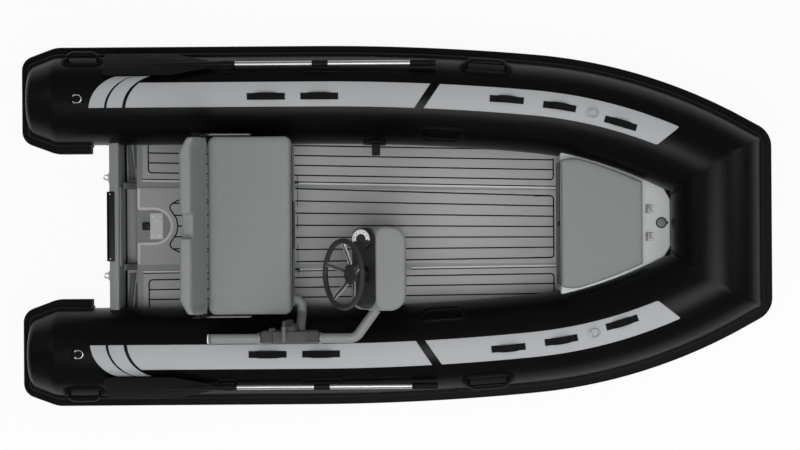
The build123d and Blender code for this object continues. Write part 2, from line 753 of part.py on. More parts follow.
def build_backrest():
    """Padded backrest with bevelled corners, short wings and a dip for the hand."""
    front = SEAT_BACK_X - BACKREST_GAP
    back = front - BACKREST_T
    bevel_x, bevel_y = BACKREST_CORNER
    wing_x, wing_y = BACKREST_WING
    board = leaning(
        plan([(back, BACKREST_HALF - bevel_y), (back + bevel_x, BACKREST_HALF), (front, BACKREST_HALF)]),
        BACKREST_FOOT_Z,
    )
    wing = leaning(
        [(front, BACKREST_HALF - wing_y), (front, BACKREST_HALF), (front + wing_x, BACKREST_HALF)],
        BACKREST_WING_Z,
    )
    pad = board + wing + mirrored(wing)
    pad = fillet(pad.faces().sort_by(Axis.Z)[-1].edges(), BACKREST_EDGE_R)
    across = Plane(origin=(back - BACKREST_T, 0, BACKREST_TOP_Z), x_dir=(0, 1, 0), z_dir=(1, 0, 0))
    dip = RectangleRounded(2 * DIP_HALF, 2 * DIP_DEPTH, DIP_HALF / 2)
    return pad - extrude(across * dip, amount=3 * BACKREST_T)


def build_brackets():
    """Side plates that carry the backrest off the seat box."""
    foot = SEAT_BACK_X - BACKREST_GAP
    inner = SEAT_HALF + BRACKET_GAP
    outer = inner + BRACKET_T
    low, high = SEAT_TOP_Z - BRACKET_DROP, SEAT_TOP_Z + BRACKET_RISE
    outline = [
        (BRACKET_REACH_X, low), (BRACKET_REACH_X, low + 60), (foot + 14, low + 70),
        (foot - 16, high), (foot - 62, high), (foot - 48, low),
    ]
    plate = slab(outline, inner, outer)
    lug = box(foot - 46, foot - 14, BACKREST_HALF - 30, inner, high - 140, high - 30)
    lug_x, lug_z = SEAT_BACK_X + 60, SEAT_BASE_TOP_Z - 2 * LUG_T
    foot_lug = box(lug_x, lug_x + LUG_W, SEAT_BASE_HALF, outer, lug_z, lug_z + LUG_T)
    foot_lug += box(lug_x, lug_x + LUG_W, inner, outer, lug_z, low + LUG_T)
    one = plate + lug + foot_lug
    return one + mirrored(one)


backrest = build_backrest()
backrest_brackets = build_brackets() - backrest - seat_base


# ---------------------------------------------------------------- console
def console_outline(inset):
    """Side outline of the console, moved inwards by inset."""
    slope = atan2(CONSOLE_TOP_Z - DASH_FOOT_Z, DASH_TOP_X - DASH_FOOT_X)
    shift = inset / sin(slope) - inset / tan(slope)
    return [
        (DASH_FOOT_X + CONSOLE_TUCK + inset, MAT_TOP_Z),
        (DASH_FOOT_X + inset, DASH_FOOT_Z - inset * 0.4),
        (DASH_TOP_X + shift - inset * 0.2, CONSOLE_TOP_Z - inset),
        (CONSOLE_FRONT_X - inset, CONSOLE_TOP_Z - inset),
        (CONSOLE_FRONT_X + CONSOLE_FLARE - inset, MAT_TOP_Z),
    ]


def moulded(inset):
    """The console's block, with rounded upright and sloped corners, moved inwards by inset."""
    block = slab(console_outline(inset), CONSOLE_Y - CONSOLE_HALF + inset, CONSOLE_Y + CONSOLE_HALF - inset)
    corners = [
        edge for edge in block.edges()
        if abs(edge.tangent_at(0.5).Y) < 0.1 and abs(edge.tangent_at(0.5).X) < 0.9
    ]
    return fillet(corners, CONSOLE_CORNER_R - inset)


def build_console():
    """Moulded console shell, open underneath."""
    shell = moulded(0)
    front_edge = [
        edge for edge in shell.edges().group_by(Axis.Z)[-1] if edge.center().X > DASH_TOP_X + CONSOLE_CORNER_R
    ]
    return clear_of_tubes(fillet(front_edge, CONSOLE_TOP_R) - moulded(CONSOLE_WALL))


DASH = Plane(
    origin=((DASH_TOP_X + DASH_FOOT_X) / 2, CONSOLE_Y, (CONSOLE_TOP_Z + DASH_FOOT_Z) / 2),
    x_dir=(0, -1, 0),
    z_dir=(-(CONSOLE_TOP_Z - DASH_FOOT_Z), 0, DASH_TOP_X - DASH_FOOT_X),
)
console_shell = build_console()
dash_panel = extrude(DASH * Ellipse(CONSOLE_HALF - DASH_MARGIN, DASH_HALF_H), amount=DASH_T)


def build_gauge():
    """Round pod on the dash, with its face turned up towards the helm."""
    rise = GAUGE_R * sin(radians(GAUGE_LEAN)) + GAUGE_T
    reach = 2 * (rise + GAUGE_R)
    face = DASH * Pos(CONSOLE_Y - GAUGE_Y, GAUGE_UP, rise) * Rot(-GAUGE_LEAN, 0, 0)
    pod = face * Cylinder(GAUGE_R, reach, align=(Align.CENTER, Align.CENTER, Align.MAX))
    above = DASH * Pos(CONSOLE_Y - GAUGE_Y, GAUGE_UP, 0) * Box(
        2 * reach, 2 * reach, reach, align=(Align.CENTER, Align.CENTER, Align.MIN)
    )
    return (pod & above) - dash_panel


gauge = build_gauge()


# ---------------------------------------------------------------- steering
HUB_Z = WHEEL_STANDOFF - WHEEL_DISH


wheel_rim = Pos(0, 0, WHEEL_STANDOFF) * Torus(WHEEL_R, RIM_R)


def build_spokes():
    """Dished spokes and hub, up to the rim's skin."""
    body = Pos(0, 0, HUB_Z) * Cylinder(WHEEL_HUB_R, WHEEL_HUB_T)
    for i in range(SPOKES):
        spoke = rod((0, WHEEL_HUB_R - 10, HUB_Z), (0, WHEEL_R - 1, WHEEL_STANDOFF), SPOKE_R)
        body += Rot(0, 0, SPOKE_TURN + i * 360 / SPOKES) * spoke
    return body - wheel_rim


WHEEL_PLANE = Plane(
    origin=DASH.from_local_coords(Vector(CONSOLE_Y - WHEEL_Y, WHEEL_UP, 0)), x_dir=DASH.x_dir, z_dir=DASH.z_dir
)
wheel_spokes = WHEEL_PLANE * build_spokes()
wheel_rim = WHEEL_PLANE * wheel_rim
cover_h = HUB_Z - WHEEL_HUB_T / 2 - 0.5 - DASH_T
steering_hub = WHEEL_PLANE * Pos(0, 0, DASH_T) * Cylinder(
    SHAFT_COVER_R, cover_h, align=(Align.CENTER, Align.CENTER, Align.MIN)
)


# ---------------------------------------------------------------- rail and throttle
def pipe(origin, x_dir, z_dir, legs):
    """A bent tube of the rail's size; it starts along x_dir and turns clockwise seen from z_dir."""
    return Plane(origin=origin, x_dir=x_dir, z_dir=z_dir) * run(Circle(RAIL_R), legs, (0, 0))


CONSOLE_SIDE_Y = CONSOLE_Y - CONSOLE_HALF


def build_rail_run():
    """Handrail over the starboard tube, bent inboard to its flange on the console."""
    turn = degrees(atan2(CONSOLE_SIDE_Y - RAIL_Y, RAIL_FLANGE_X - RAIL_BEND_X))
    reach = hypot(CONSOLE_SIDE_Y - RAIL_Y, RAIL_FLANGE_X - RAIL_BEND_X)
    cut_back = RAIL_BEND_R * tan(radians(turn / 2))
    legs = [(RAIL_BEND_X - cut_back - RAIL_BACK_X, 0), (RAIL_BEND_R, turn), (reach - cut_back + RAIL_R, 0)]
    bar = pipe((RAIL_BACK_X, RAIL_Y, RAIL_Z), (1, 0, 0), (0, 0, -1), legs)
    bar -= box(
        RAIL_BEND_X, CONSOLE_FRONT_X, CONSOLE_SIDE_Y, CONSOLE_Y, RAIL_Z - 2 * RAIL_R, RAIL_Z + 2 * RAIL_R
    )
    flange = Pos(RAIL_FLANGE_X, CONSOLE_SIDE_Y - RAIL_FLANGE_T / 2, RAIL_Z) * Rot(90, 0, 0)
    return bar + flange * Cylinder(RAIL_FLANGE_R, RAIL_FLANGE_T)


def build_rail_leg():
    """Leg out of the seat box's front, bent outboard and then up to the rail."""
    start_y, out_y = LEG_START_IN - SEAT_HALF, -SEAT_HALF - LEG_OUT
    turn = degrees(atan2(RAIL_Z - LEG_START_Z, out_y - RAIL_Y))
    cut_back = LEG_BEND_R * tan(radians(turn / 2))
    level = [
        (LEG_X - SEAT_FRONT_X - LEG_BEND_R, 0), (LEG_BEND_R, 90), (start_y - out_y - LEG_BEND_R - cut_back, 0)
    ]
    rising = [(LEG_BEND_R, turn), (hypot(RAIL_Z - LEG_START_Z, out_y - RAIL_Y) - cut_back, 0)]
    lower = pipe((SEAT_FRONT_X, start_y, LEG_START_Z), (1, 0, 0), (0, 0, 1), level)
    return lower + pipe((LEG_X, out_y + cut_back, LEG_START_Z), (0, -1, 0), (1, 0, 0), rising)


BOX_FACE_Y = RAIL_Y + BOX_OUT


def build_throttle_box():
    """Control housing round the rail, with a boss on its inboard side."""
    low = RAIL_Z - BOX_DROP
    body = box(BOX_BACK_X, BOX_FRONT_X, BOX_FACE_Y - BOX_W, BOX_FACE_Y, low, low + BOX_H)
    body = chamfer(body.edges().filter_by(Axis.Z), BOX_BEVEL)
    boss = Pos(BOSS_X, BOX_FACE_Y + BOSS_T / 2, low + BOX_H / 2) * Rot(90, 0, 0)
    return body + boss * Cylinder(BOSS_R, BOSS_T)


def build_lever():
    """Throttle arm with its cross grip."""
    y = BOX_FACE_Y + BOSS_T + LEVER_R + 1
    foot_z = RAIL_Z - BOX_DROP + BOX_H / 2
    top_x, top_z = BOSS_X - LEVER_RAKE, foot_z + LEVER_H
    arm = rod((BOSS_X, y, foot_z), (top_x, y, top_z), LEVER_R)
    pivot = Pos(BOSS_X, y, foot_z) * Rot(90, 0, 0) * Cylinder(2 * LEVER_R, 2 * LEVER_R + 2)
    return arm + pivot + rod((top_x, y - LEVER_GRIP, top_z), (top_x, y + LEVER_R, top_z), LEVER_GRIP_R)


side_rail = build_rail_run() + build_rail_leg()
throttle_box = build_throttle_box() - side_rail
throttle_lever = build_lever()


# ---------------------------------------------------------------- bow locker
NOSE_X = BOW_X - TUBE_R + NOSE_SINK
SHOULDER_X = NOSE_X - SHOULDER_REACH
LID_FRONT_X = NOSE_X - LID_REACH
LOCKER_STEPS = 4


def inside_tubes(back, front, aft_gap, front_gap):
    """Half outline beside the port tube's inner side, from back to front."""
    outline = []
    for i in range(LOCKER_STEPS + 1):
        share = i / LOCKER_STEPS
        x = back + share * (front - back)
        outline.append((x, skin_y(x, LOCKER_TOP_Z) - aft_gap - share * (front_gap - aft_gap)))
    return outline


def build_locker():
    """Locker box in the bow, open under its lid."""
    half = inside_tubes(LOCKER_BACK_X, SHOULDER_X, -NOSE_SINK, -NOSE_SINK) + [(NOSE_X, NOSE_HALF)]
    body = prism(plan(half), MAT_TOP_Z, LOCKER_TOP_Z)
    corners = [edge for edge in body.edges().filter_by(Axis.Z) if edge.center().X > SHOULDER_X - 1]
    body = fillet(corners, LOCKER_CORNER_R)
    inner = inside_tubes(LOCKER_BACK_X + LOCKER_WALL, LID_FRONT_X - LOCKER_RIM, LOCKER_RIM, LOCKER_RIM)
    return clear_of_tubes(body - prism(plan(inner), MAT_TOP_Z + LOCKER_WALL, LOCKER_TOP_Z))


def build_locker_cushion():
    """Cushion on the lid, squared off at its aft corners."""
    half = inside_tubes(LOCKER_BACK_X, LID_FRONT_X - SEAT_FIT, LOCKER_CUSHION_GAP, LOCKER_CUSHION_FRONT_GAP)
    half = [(x, min(y, LOCKER_CUSHION_AFT_Y)) for x, y in half]
    low = LOCKER_TOP_Z + LID_T
    pad = prism(plan(half), low + SEAT_FIT, low + LOCKER_CUSHION_T)
    aft = [edge for edge in pad.edges().filter_by(Axis.Z) if edge.center().X < LOCKER_BACK_X + 1]
    pad = fillet(aft, CUSHION_CORNER_R / 2)
    return fillet(pad.faces().sort_by(Axis.Z)[-1].edges(), LID_T)


def build_locker_hinges():
    """Two butt hinges ahead of the lid."""
    parts = []
    for y in (LOCKER_HINGE_Y, -LOCKER_HINGE_Y):
        y0, y1 = y - LOCKER_HINGE_HALF, y + LOCKER_HINGE_HALF
        leaf = box(
            LOCKER_HINGE_X - HINGE_R, LOCKER_HINGE_X + 7 * HINGE_R, y0, y1, LOCKER_TOP_Z, LOCKER_TOP_Z + HINGE_R
        )
        axis_z = LOCKER_TOP_Z + HINGE_RISE
        parts.append(leaf + rod((LOCKER_HINGE_X, y0, axis_z), (LOCKER_HINGE_X, y1, axis_z), HINGE_R))
    return parts[0] + parts[1]


bow_locker = build_locker()
lid_half = inside_tubes(LOCKER_BACK_X + 2, LID_FRONT_X, LID_GAP, LID_GAP)
locker_lid = prism(plan(lid_half), LOCKER_TOP_Z + SEAT_FIT, LOCKER_TOP_Z + LID_T)
locker_cushion = build_locker_cushion()
LOCKER_HINGE_X = LID_FRONT_X + HINGE_RISE
locker_hinges = build_locker_hinges()
light_socket = Pos(NOSE_X - LIGHT_REACH, 0, LOCKER_TOP_Z) * Cylinder(
    LIGHT_R, LIGHT_T, align=(Align.CENTER, Align.CENTER, Align.MIN)
)
latch_top = LOCKER_TOP_Z - LID_T
locker_latch = box(
    LOCKER_BACK_X - LATCH_DEPTH, LOCKER_BACK_X, -LATCH_HALF, LATCH_HALF, latch_top - LATCH_H, latch_top
)


# ---------------------------------------------------------------- fittings on the tubes
PATCH_T = 3.0
PATCH_INNER = -13.0
PATCH_OUTER = 19.0
STRIPE_OUTER = 28.0


def skin_sector(inner, outer):
    """Section of a thin layer on the tube, between two angles from its crown."""
    a0, a1 = 90 + SHEER_TILT - outer, 90 + SHEER_TILT - inner
    r0, r1 = TUBE_R, TUBE_R + PATCH_T

    def at(radius, angle):
        return (radius * cos(radians(angle)), radius * sin(radians(angle)))

    mid = (a0 + a1) / 2
    return make_face(
        [
            Line(at(r0, a0), at(r1, a0)),
            ThreePointArc(at(r1, a0), at(r1, mid), at(r1, a1)),
            Line(at(r1, a1), at(r0, a1)),
            ThreePointArc(at(r0, a1), at(r0, mid), at(r0, a0)),
        ]
    )


# Rounded aft ends of the rear panel and the stripes: the arc's radius, its centre's y, and its x
PANEL_ARC_R = 190.0
PANEL_ARC_Y = 572.0
REAR_PANEL_ARC_X = -1169.0
STRIPES = [(-1354, -1272), (-1265, -1183)]     # arc centre x of the aft and the front edge
# Slanted cut between the panels, and the front panel's end: (x, y) inner, (x, y) outer
REAR_PANEL_CUT = [(62, 540), (208, 760)]
FRONT_PANEL_CUT = [(108, 540), (258, 760)]
FRONT_PANEL_END = [(1240, 345), (1440, 505)]


def ahead_of(arc_x):
    """Everything ahead of a rounded panel end, over the port tube."""
    tall = 2 * TUBE_R
    disc = Pos(arc_x, PANEL_ARC_Y, TUBE_Z + tall / 2) * Cylinder(PANEL_ARC_R, tall)
    return disc + box(
        arc_x, BEND_START_X, PANEL_ARC_Y - PANEL_ARC_R, PANEL_ARC_Y + PANEL_ARC_R, TUBE_Z, TUBE_Z + tall
    )


def build_patches():
    """Pale reinforcement panels and two curved stripes on the port tube's crown."""
    start = STRIPES[0][0] - PANEL_ARC_R
    layer = side_run(skin_sector(PATCH_INNER, PATCH_OUTER), start)
    wide = side_run(skin_sector(PATCH_INNER, STRIPE_OUTER), start)
    low, top = TUBE_Z, TUBE_Z + 2 * TUBE_R
    (cut_in, cut_out), (front_in, front_out) = REAR_PANEL_CUT, FRONT_PANEL_CUT
    corner = (REAR_PANEL_ARC_X, cut_in[1]), (REAR_PANEL_ARC_X, cut_out[1])
    ahead = ahead_of(REAR_PANEL_ARC_X) + prism([corner[0], cut_in, cut_out, corner[1]], low, top)
    rear = layer & ahead & prism(
        [(start, cut_in[1]), cut_in, cut_out, (start, cut_out[1])], low, top
    )
    front = layer & prism([front_in, front_out, FRONT_PANEL_END[1], FRONT_PANEL_END[0]], low, top)
    stripes = [wide & (ahead_of(aft) - ahead_of(fore)) for aft, fore in STRIPES]
    return [rear, front, *stripes]


def port_and_starboard(parts):
    """One node of several port pieces with their starboard twins."""
    solids = []
    for part in parts:
        solids += part.solids()
        solids += mirrored(part).solids()
    return Compound(children=solids)


patch_parts = build_patches()


def seated(plane, shape):
    """A fitting placed on the tube and trimmed to its skin."""
    placed = plane * shape
    return placed - tube_port


STRAP_T = 5.0
STRAP_GAP = 18.0
STRAP_FOOT = 34.0
# x along the boat, angle from the crown, length, width
STRAPS = [
    (-652, 0, 190, 34), (-384, 0, 190, 34), (560, 4, 172, 34), (830, 2, 172, 34), (1148, -2, 172, 34),
]


def end_rise(x, length):
    """How far the hollow crown of a bend rises under the two ends of a straight piece."""
    if x <= BEND_START_X:
        return 0.0
    radius = BOW_BEND_R if path_point(x)[2] > LONG_BEND_TURN else LONG_BEND_R
    return (length / 2) ** 2 / (2 * radius) * sin(radians(SHEER_TILT))


def build_strap(length, width):
    """Flat webbing loop: two feet and an arched middle."""
    half = length / 2
    top, rise = STRAP_T, STRAP_T + STRAP_GAP
    foot, bend = half - STRAP_FOOT, half - STRAP_FOOT - 26
    outline = [
        (-half, 0), (-half, top), (-foot, top), (-bend, rise), (bend, rise), (foot, top),
        (half, top), (half, 0), (foot - 2, 0), (bend - 2, STRAP_GAP), (-bend + 2, STRAP_GAP),
        (-foot + 2, 0),
    ]
    return slab(outline, -width / 2, width / 2)


HANDLE_BASE_T = 6.0
GRIP_GAP = 32.0
GRIP_T = 13.0
GRIP_W = 26.0


def build_carry_handle(length, width):
    """Oval rubber base with a grip bridging it."""
    base = extrude(Pos(0, 0, -12) * SlotOverall(length, width), amount=12 + HANDLE_BASE_T)
    half, low, high = length / 2 - 34, HANDLE_BASE_T - 2, HANDLE_BASE_T + GRIP_GAP
    bridge = [
        (-half, low), (-half, high - 4), (-half + 20, high + GRIP_T), (half - 20, high + GRIP_T),
        (half, high - 4), (half, low), (half - 16, low), (half - 16, high - 10), (half - 26, high),
        (-half + 26, high), (-half + 16, high - 10), (-half + 16, low),
    ]
    return base + slab(bridge, -GRIP_W / 2, GRIP_W / 2)


# x, angle from the crown, length, width
OUTER_HANDLES = [(-1588, 58, 224, 96), (446, 50, 268, 96)]
INNER_HANDLES = [(240, -48, 256, 96)]


RING_WIRE_R = 3.5
RING_BEND_R = 19.0
RING_ARM = 20.0
RING_LIFT = 9.0
RING_PAD_R = 34.0


def build_ring():
    """D-ring lying on a round pad, its bar held under a short band."""
    pad = extrude(Pos(0, 0, -8) * Circle(RING_PAD_R), amount=12)
    legs = [(RING_ARM, 0), (RING_BEND_R, 180), (RING_ARM, 0)]
    wire = Pos(-RING_ARM / 2, RING_BEND_R, RING_LIFT) * run(Circle(RING_WIRE_R), legs, (0, 0))
    bar_x = -RING_ARM / 2
    bar = rod((bar_x, -RING_BEND_R, RING_LIFT), (bar_x, RING_BEND_R, RING_LIFT), RING_WIRE_R)
    band = box(bar_x - 9, bar_x + 4, -RING_BEND_R + 6, RING_BEND_R - 6, 2, RING_LIFT + 5)
    return pad + wire + bar + band


# x, angle from the crown: the aft one on the tube's skin, the other on the front panel
AFT_RING = (-1605, -1.6)
FRONT_RING = (997, 1.2)

carry_handles = [
    seated(on_tube(x, angle), build_carry_handle(length, width))
    for x, angle, length, width in OUTER_HANDLES + INNER_HANDLES
]
strap_loops = [
    on_tube(x, angle, PATCH_T + SEAT_FIT + end_rise(x, length)) * build_strap(length, width)
    for x, angle, length, width in STRAPS
]
lifting_rings = [
    seated(on_tube(*AFT_RING), build_ring()),
    on_tube(*FRONT_RING, PATCH_T) * build_ring() - side_run(Circle(TUBE_R + PATCH_T), BEND_START_X - TUBE_R),
]


# ---------------------------------------------------------------- paddles
PADDLE_ANGLE = 41.0
PADDLE_LIFT = 26.0
BLADE_BACK_X = -1470.0
BLADE_LENGTH = 550.0
BLADE_W = 150.0
SHAFT_R = 14.0
GRIP_LENGTH = 130.0
SHAFT_END_X = 200.0


def build_paddle():
    """Oar along the tube: flat blade, round shaft and end grip, in its own plane."""
    length = SHAFT_END_X - BLADE_BACK_X
    blade = make_face(
        Polyline(
            (0, -BLADE_W / 2), (BLADE_LENGTH * 0.62, -BLADE_W / 2), (BLADE_LENGTH, -20),
            (BLADE_LENGTH, 20), (BLADE_LENGTH * 0.62, BLADE_W / 2), (0, BLADE_W / 2), close=True,
        )
    )
    blade = extrude(Pos(0, 0, -5) * blade, amount=10)
    shaft = rod((BLADE_LENGTH - 60, 0, 0), (length - 6, 0, 0), SHAFT_R)
    grip = rod((length - GRIP_LENGTH, 0, 0), (length, 0, 0), SHAFT_R + 5)
    return [paddle_plane * shape for shape in (blade - shaft, shaft, grip - shaft)]


paddle_plane = on_tube(BLADE_BACK_X, PADDLE_ANGLE, PADDLE_LIFT)
paddle_blade, paddle_shaft, paddle_grip = build_paddle()
BLADE_NECK_X = BLADE_BACK_X + BLADE_LENGTH
# x, length along the tube
CLIPS = [(BLADE_NECK_X + 61, 106), (BLADE_NECK_X + 537, 200)]


def build_clip(length):
    """Saddle under the shaft and a strap over it."""
    saddle = box(-length / 2, length / 2, -34, 34, -10, PADDLE_LIFT)
    strap = rod((-18, 0, PADDLE_LIFT), (18, 0, PADDLE_LIFT), SHAFT_R + 5)
    return saddle + strap - rod((-length, 0, PADDLE_LIFT), (length, 0, PADDLE_LIFT), SHAFT_R)


paddle_clips = [
    seated(on_tube(x, PADDLE_ANGLE), build_clip(length)) - paddle_blade - paddle_shaft
    for x, length in CLIPS
]


SOCKET_X = -105.0
SOCKET_ANGLE = -75.0
TONGUE_HALF = 21.0
TONGUE_END_Y = 353.0
TONGUE_Z = 362.0
TONGUE_T = 22.0


def build_thwart_socket():
    """Pad on the inner side of the tube, with a level tongue that stands inboard."""
    pad = on_tube(SOCKET_X, SOCKET_ANGLE) * box(-58, 58, -24, 24, -14, 10)
    tongue = box(
        SOCKET_X - TONGUE_HALF, SOCKET_X + TONGUE_HALF, TONGUE_END_Y, TUBE_Y - TUBE_R + 20, TONGUE_Z, TONGUE_Z + TONGUE_T
    )
    return pad + tongue - tube_port


thwart_socket = build_thwart_socket()

# ---------------------------------------------------------------- files
NODES = {
    "hull": hull,
    "bow_eye": bow_eye,
    "deck_plate": deck_plate,
    "deck_ridges": ridges,
    "deck_mat_centre": deck_mat_centre,
    "deck_mat_port": deck_mat_port,
    "deck_mat_starboard": deck_mat_starboard,
    "transom": transom,
    "transom_knees": transom_knees,
    "engine_pad": engine_pad,
    "towing_eyes": towing_eyes,
    "well_plate": well_plate,
    "drain_knob": drain_knob,
    "tube_port": tube_port,
    "tube_starboard": tube_starboard,
    "tube_bow": tube_bow,
    "strake_port": strake_port,
    "strake_starboard": mirrored(strake_port),
    "strake_bow": strake_bow,
    "tube_patches": port_and_starboard(patch_parts),
    "strap_loops_port": Compound(children=[part.solid() for part in strap_loops]),
    "strap_loops_starboard": Compound(children=[mirrored(part).solid() for part in strap_loops]),
    "lifting_rings_port": Compound(children=[part.solid() for part in lifting_rings]),
    "lifting_rings_starboard": Compound(children=[mirrored(part).solid() for part in lifting_rings]),
    "carry_handles_port": Compound(children=[part.solid() for part in carry_handles]),
    "carry_handles_starboard": Compound(children=[mirrored(part).solid() for part in carry_handles]),
    "thwart_socket": thwart_socket,
    "paddle_blades": port_and_starboard([paddle_blade]),
    "paddle_shafts": port_and_starboard([paddle_shaft]),
    "paddle_grips": port_and_starboard([paddle_grip]),
    "paddle_clips": port_and_starboard(paddle_clips),
    "seat_base": seat_base,
    "seat_hinge": seat_hinge,
    "seat_lid": seat_lid,
    "seat_cushion": seat_cushion,
    "backrest": backrest,
    "backrest_brackets": backrest_brackets,
    "console_shell": console_shell,
    "dash_panel": dash_panel,
    "gauge": gauge,
    "steering_hub": steering_hub,
    "wheel_rim": wheel_rim,
    "wheel_spokes": wheel_spokes,
    "side_rail": side_rail,
    "throttle_box": throttle_box,
    "throttle_lever": throttle_lever,
    "bow_locker": bow_locker,
    "locker_lid": locker_lid,
    "locker_cushion": locker_cushion,
    "locker_hinges": locker_hinges,
    "locker_latch": locker_latch,
    "light_socket": light_socket,
}
for name, shape in NODES.items():
    save(name, shape)
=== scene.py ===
"""Dressed model of the rigid inflatable tender: its meshes, finishes, floor, lamps and camera.

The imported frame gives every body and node. Metres, +X bow, +Y port, +Z up, waterline at z = 0.
"""

import logging
import math
from dataclasses import dataclass
from enum import Enum
from typing import Callable, Iterable, Sequence

import bmesh
import bpy
from mathutils import Matrix, Vector
from mathutils.bvhtree import BVHTree


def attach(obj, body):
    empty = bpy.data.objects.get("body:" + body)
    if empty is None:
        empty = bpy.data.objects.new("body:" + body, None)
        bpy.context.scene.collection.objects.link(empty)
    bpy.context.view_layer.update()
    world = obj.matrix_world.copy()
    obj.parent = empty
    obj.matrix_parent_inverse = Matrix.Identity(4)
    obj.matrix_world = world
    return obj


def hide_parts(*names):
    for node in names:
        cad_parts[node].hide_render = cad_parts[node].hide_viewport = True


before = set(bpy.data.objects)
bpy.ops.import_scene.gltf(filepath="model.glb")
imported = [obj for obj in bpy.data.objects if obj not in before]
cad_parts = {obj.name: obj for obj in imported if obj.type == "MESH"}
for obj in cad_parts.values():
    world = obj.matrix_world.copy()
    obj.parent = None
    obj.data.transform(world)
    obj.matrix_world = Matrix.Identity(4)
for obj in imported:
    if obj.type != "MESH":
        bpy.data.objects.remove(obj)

log = logging.getLogger("tender")
BOAT = "boat"
Point = tuple[float, float]
Ring = list[Vector]
Place = Callable[[float, float, float], Vector]
Solid = bpy.types.Object
AHEAD, PORT, UP = Vector((1, 0, 0)), Vector((0, 1, 0)), Vector((0, 0, 1))


# ------------------------------------------------------------------ outlines
def rounded(corners: Sequence[tuple], radius: float, steps: int = 6, closed: bool = True) -> list[Point]:
    """Round the corners of an outline.

    Args:
        corners: (a, b) or (a, b, own radius) for each corner.
        radius: for the corners that give none of their own.
        steps: parts of each arc.
        closed: False leaves the two ends as they are.

    Returns:
        The outline's points, in the same order.
    """
    outline: list[Point] = []
    count = len(corners)
    for i, corner in enumerate(corners):
        here = Vector(corner[:2])
        if not closed and i in (0, count - 1):
            outline.append(tuple(here))
            continue
        before = Vector(corners[i - 1][:2]) - here
        after = Vector(corners[(i + 1) % count][:2]) - here
        turn = math.pi - before.angle(after)
        size = corner[2] if len(corner) > 2 else radius
        if size <= 0 or turn < 0.02:
            outline.append(tuple(here))
            continue
        reach = min(size * math.tan(turn / 2), 0.49 * before.length, 0.49 * after.length)
        size = reach / math.tan(turn / 2)
        hub = here + (before.normalized() + after.normalized()).normalized() * math.hypot(reach, size)
        arm_in = here + before.normalized() * reach - hub
        arm_out = here + after.normalized() * reach - hub
        for k in range(steps + 1):
            share = k / steps
            arm = arm_in * math.sin((1 - share) * turn) + arm_out * math.sin(share * turn)
            outline.append(tuple(hub + arm / math.sin(turn)))
    return outline


def rectangle(a0: float, a1: float, b0: float, b1: float, radius: float, steps: int = 6) -> list[Point]:
    """A rectangle from (a0, b0) to (a1, b1) with rounded corners."""
    return rounded([(a0, b0), (a1, b0), (a1, b1), (a0, b1)], radius, steps)


def inset(outline: Sequence[Point], distance: float) -> list[Point]:
    """Move a closed outline inwards by a distance, each point along its own normal."""
    area = sum(a[0] * b[1] - b[0] * a[1] for a, b in zip(outline, [*outline[1:], outline[0]]))
    side = 1 if area > 0 else -1
    moved = []
    for i, here in enumerate(outline):
        to_here = (Vector(here) - Vector(outline[i - 1])).normalized()
        onwards = (Vector(outline[(i + 1) % len(outline)]) - Vector(here)).normalized()
        normal = Vector((-(to_here + onwards).y, (to_here + onwards).x)).normalized() * side
        share = max(0.5, normal.dot(Vector((-to_here.y, to_here.x))) * side)
        moved.append(tuple(Vector(here) + normal * distance / share))
    return moved


def oblong(x0: float, x1: float, half: float, radius: float, steps: int = 6) -> list[Point]:
    """A rectangle about the centreline with rounded corners."""
    return rectangle(x0, x1, -half, half, radius, steps)


def mirrored_plan(half: Sequence[Point]) -> list[Point]:
    """A plan outline closed by its mirror image in the centreline."""
    return [*half, *[(a, -b, *rest) for a, b, *rest in reversed(half)]]


def circle(radius: float, steps: int = 32, start: float = 0.0) -> list[Point]:
    """Points round a circle."""
    return [
        (radius * math.cos(start + math.tau * i / steps), radius * math.sin(start + math.tau * i / steps))
        for i in range(steps)
    ]


def oval(length: float, width: float, steps: int = 12) -> list[Point]:
    """A slot's outline: straight sides and half-round ends."""
    return rectangle(-length / 2, length / 2, -width / 2, width / 2, width / 2 * 0.999, steps)


def level(a: float, b: float, height: float) -> Vector:
    """Plan coordinates are the frame's own."""
    return Vector((a, b, height))


def crosswise(x: float, way: int = 1) -> Place:
    """Coordinates y and z on a wall at x; heights run forward, or aft where way is -1."""
    return lambda a, b, height: Vector((x + way * height, a, b))


def beside(y: float, way: int = 1) -> Place:
    """Coordinates x and z on a wall at y; heights run to port, or to starboard where way is -1."""
    return lambda a, b, height: Vector((a, way * (y + height), b))


def shares(count: int) -> list[float]:
    """Even steps from 0 to 1."""
    return [i / count for i in range(count + 1)]


# ------------------------------------------------------------------ meshes
def placed(name: str, data: bpy.types.ID) -> Solid:
    """A new object in the scene, for a mesh, a lamp or a camera."""
    thing = bpy.data.objects.new(name, data)
    bpy.context.scene.collection.objects.link(thing)
    return thing


def settled(name: str, work: bmesh.types.BMesh, crease: float) -> Solid:
    """A bmesh as a placed object, smooth up to its creases; the bmesh is freed."""
    mesh = bpy.data.meshes.new(name)
    work.to_mesh(mesh)
    work.free()
    mesh.shade_smooth()
    mesh.set_sharp_from_angle(angle=math.radians(crease))
    return placed(name, mesh)


def make(name: str, work: bmesh.types.BMesh, crease: float = 38.0, closed: bool = True) -> Solid:
    """Turn a bmesh into an object with soft shading and creases.

    Args:
        name: the piece's name.
        work: its mesh, freed here.
        crease: edges that turn further than this, in degrees, stay sharp.
        closed: recalculates the normals outwards.

    Returns:
        The object, at the origin.
    """
    bmesh.ops.remove_doubles(work, verts=work.verts, dist=1e-6)
    bmesh.ops.dissolve_degenerate(work, edges=work.edges, dist=1e-7)
    if closed:
        bmesh.ops.recalc_face_normals(work, faces=work.faces)
    return settled(name, work, crease)


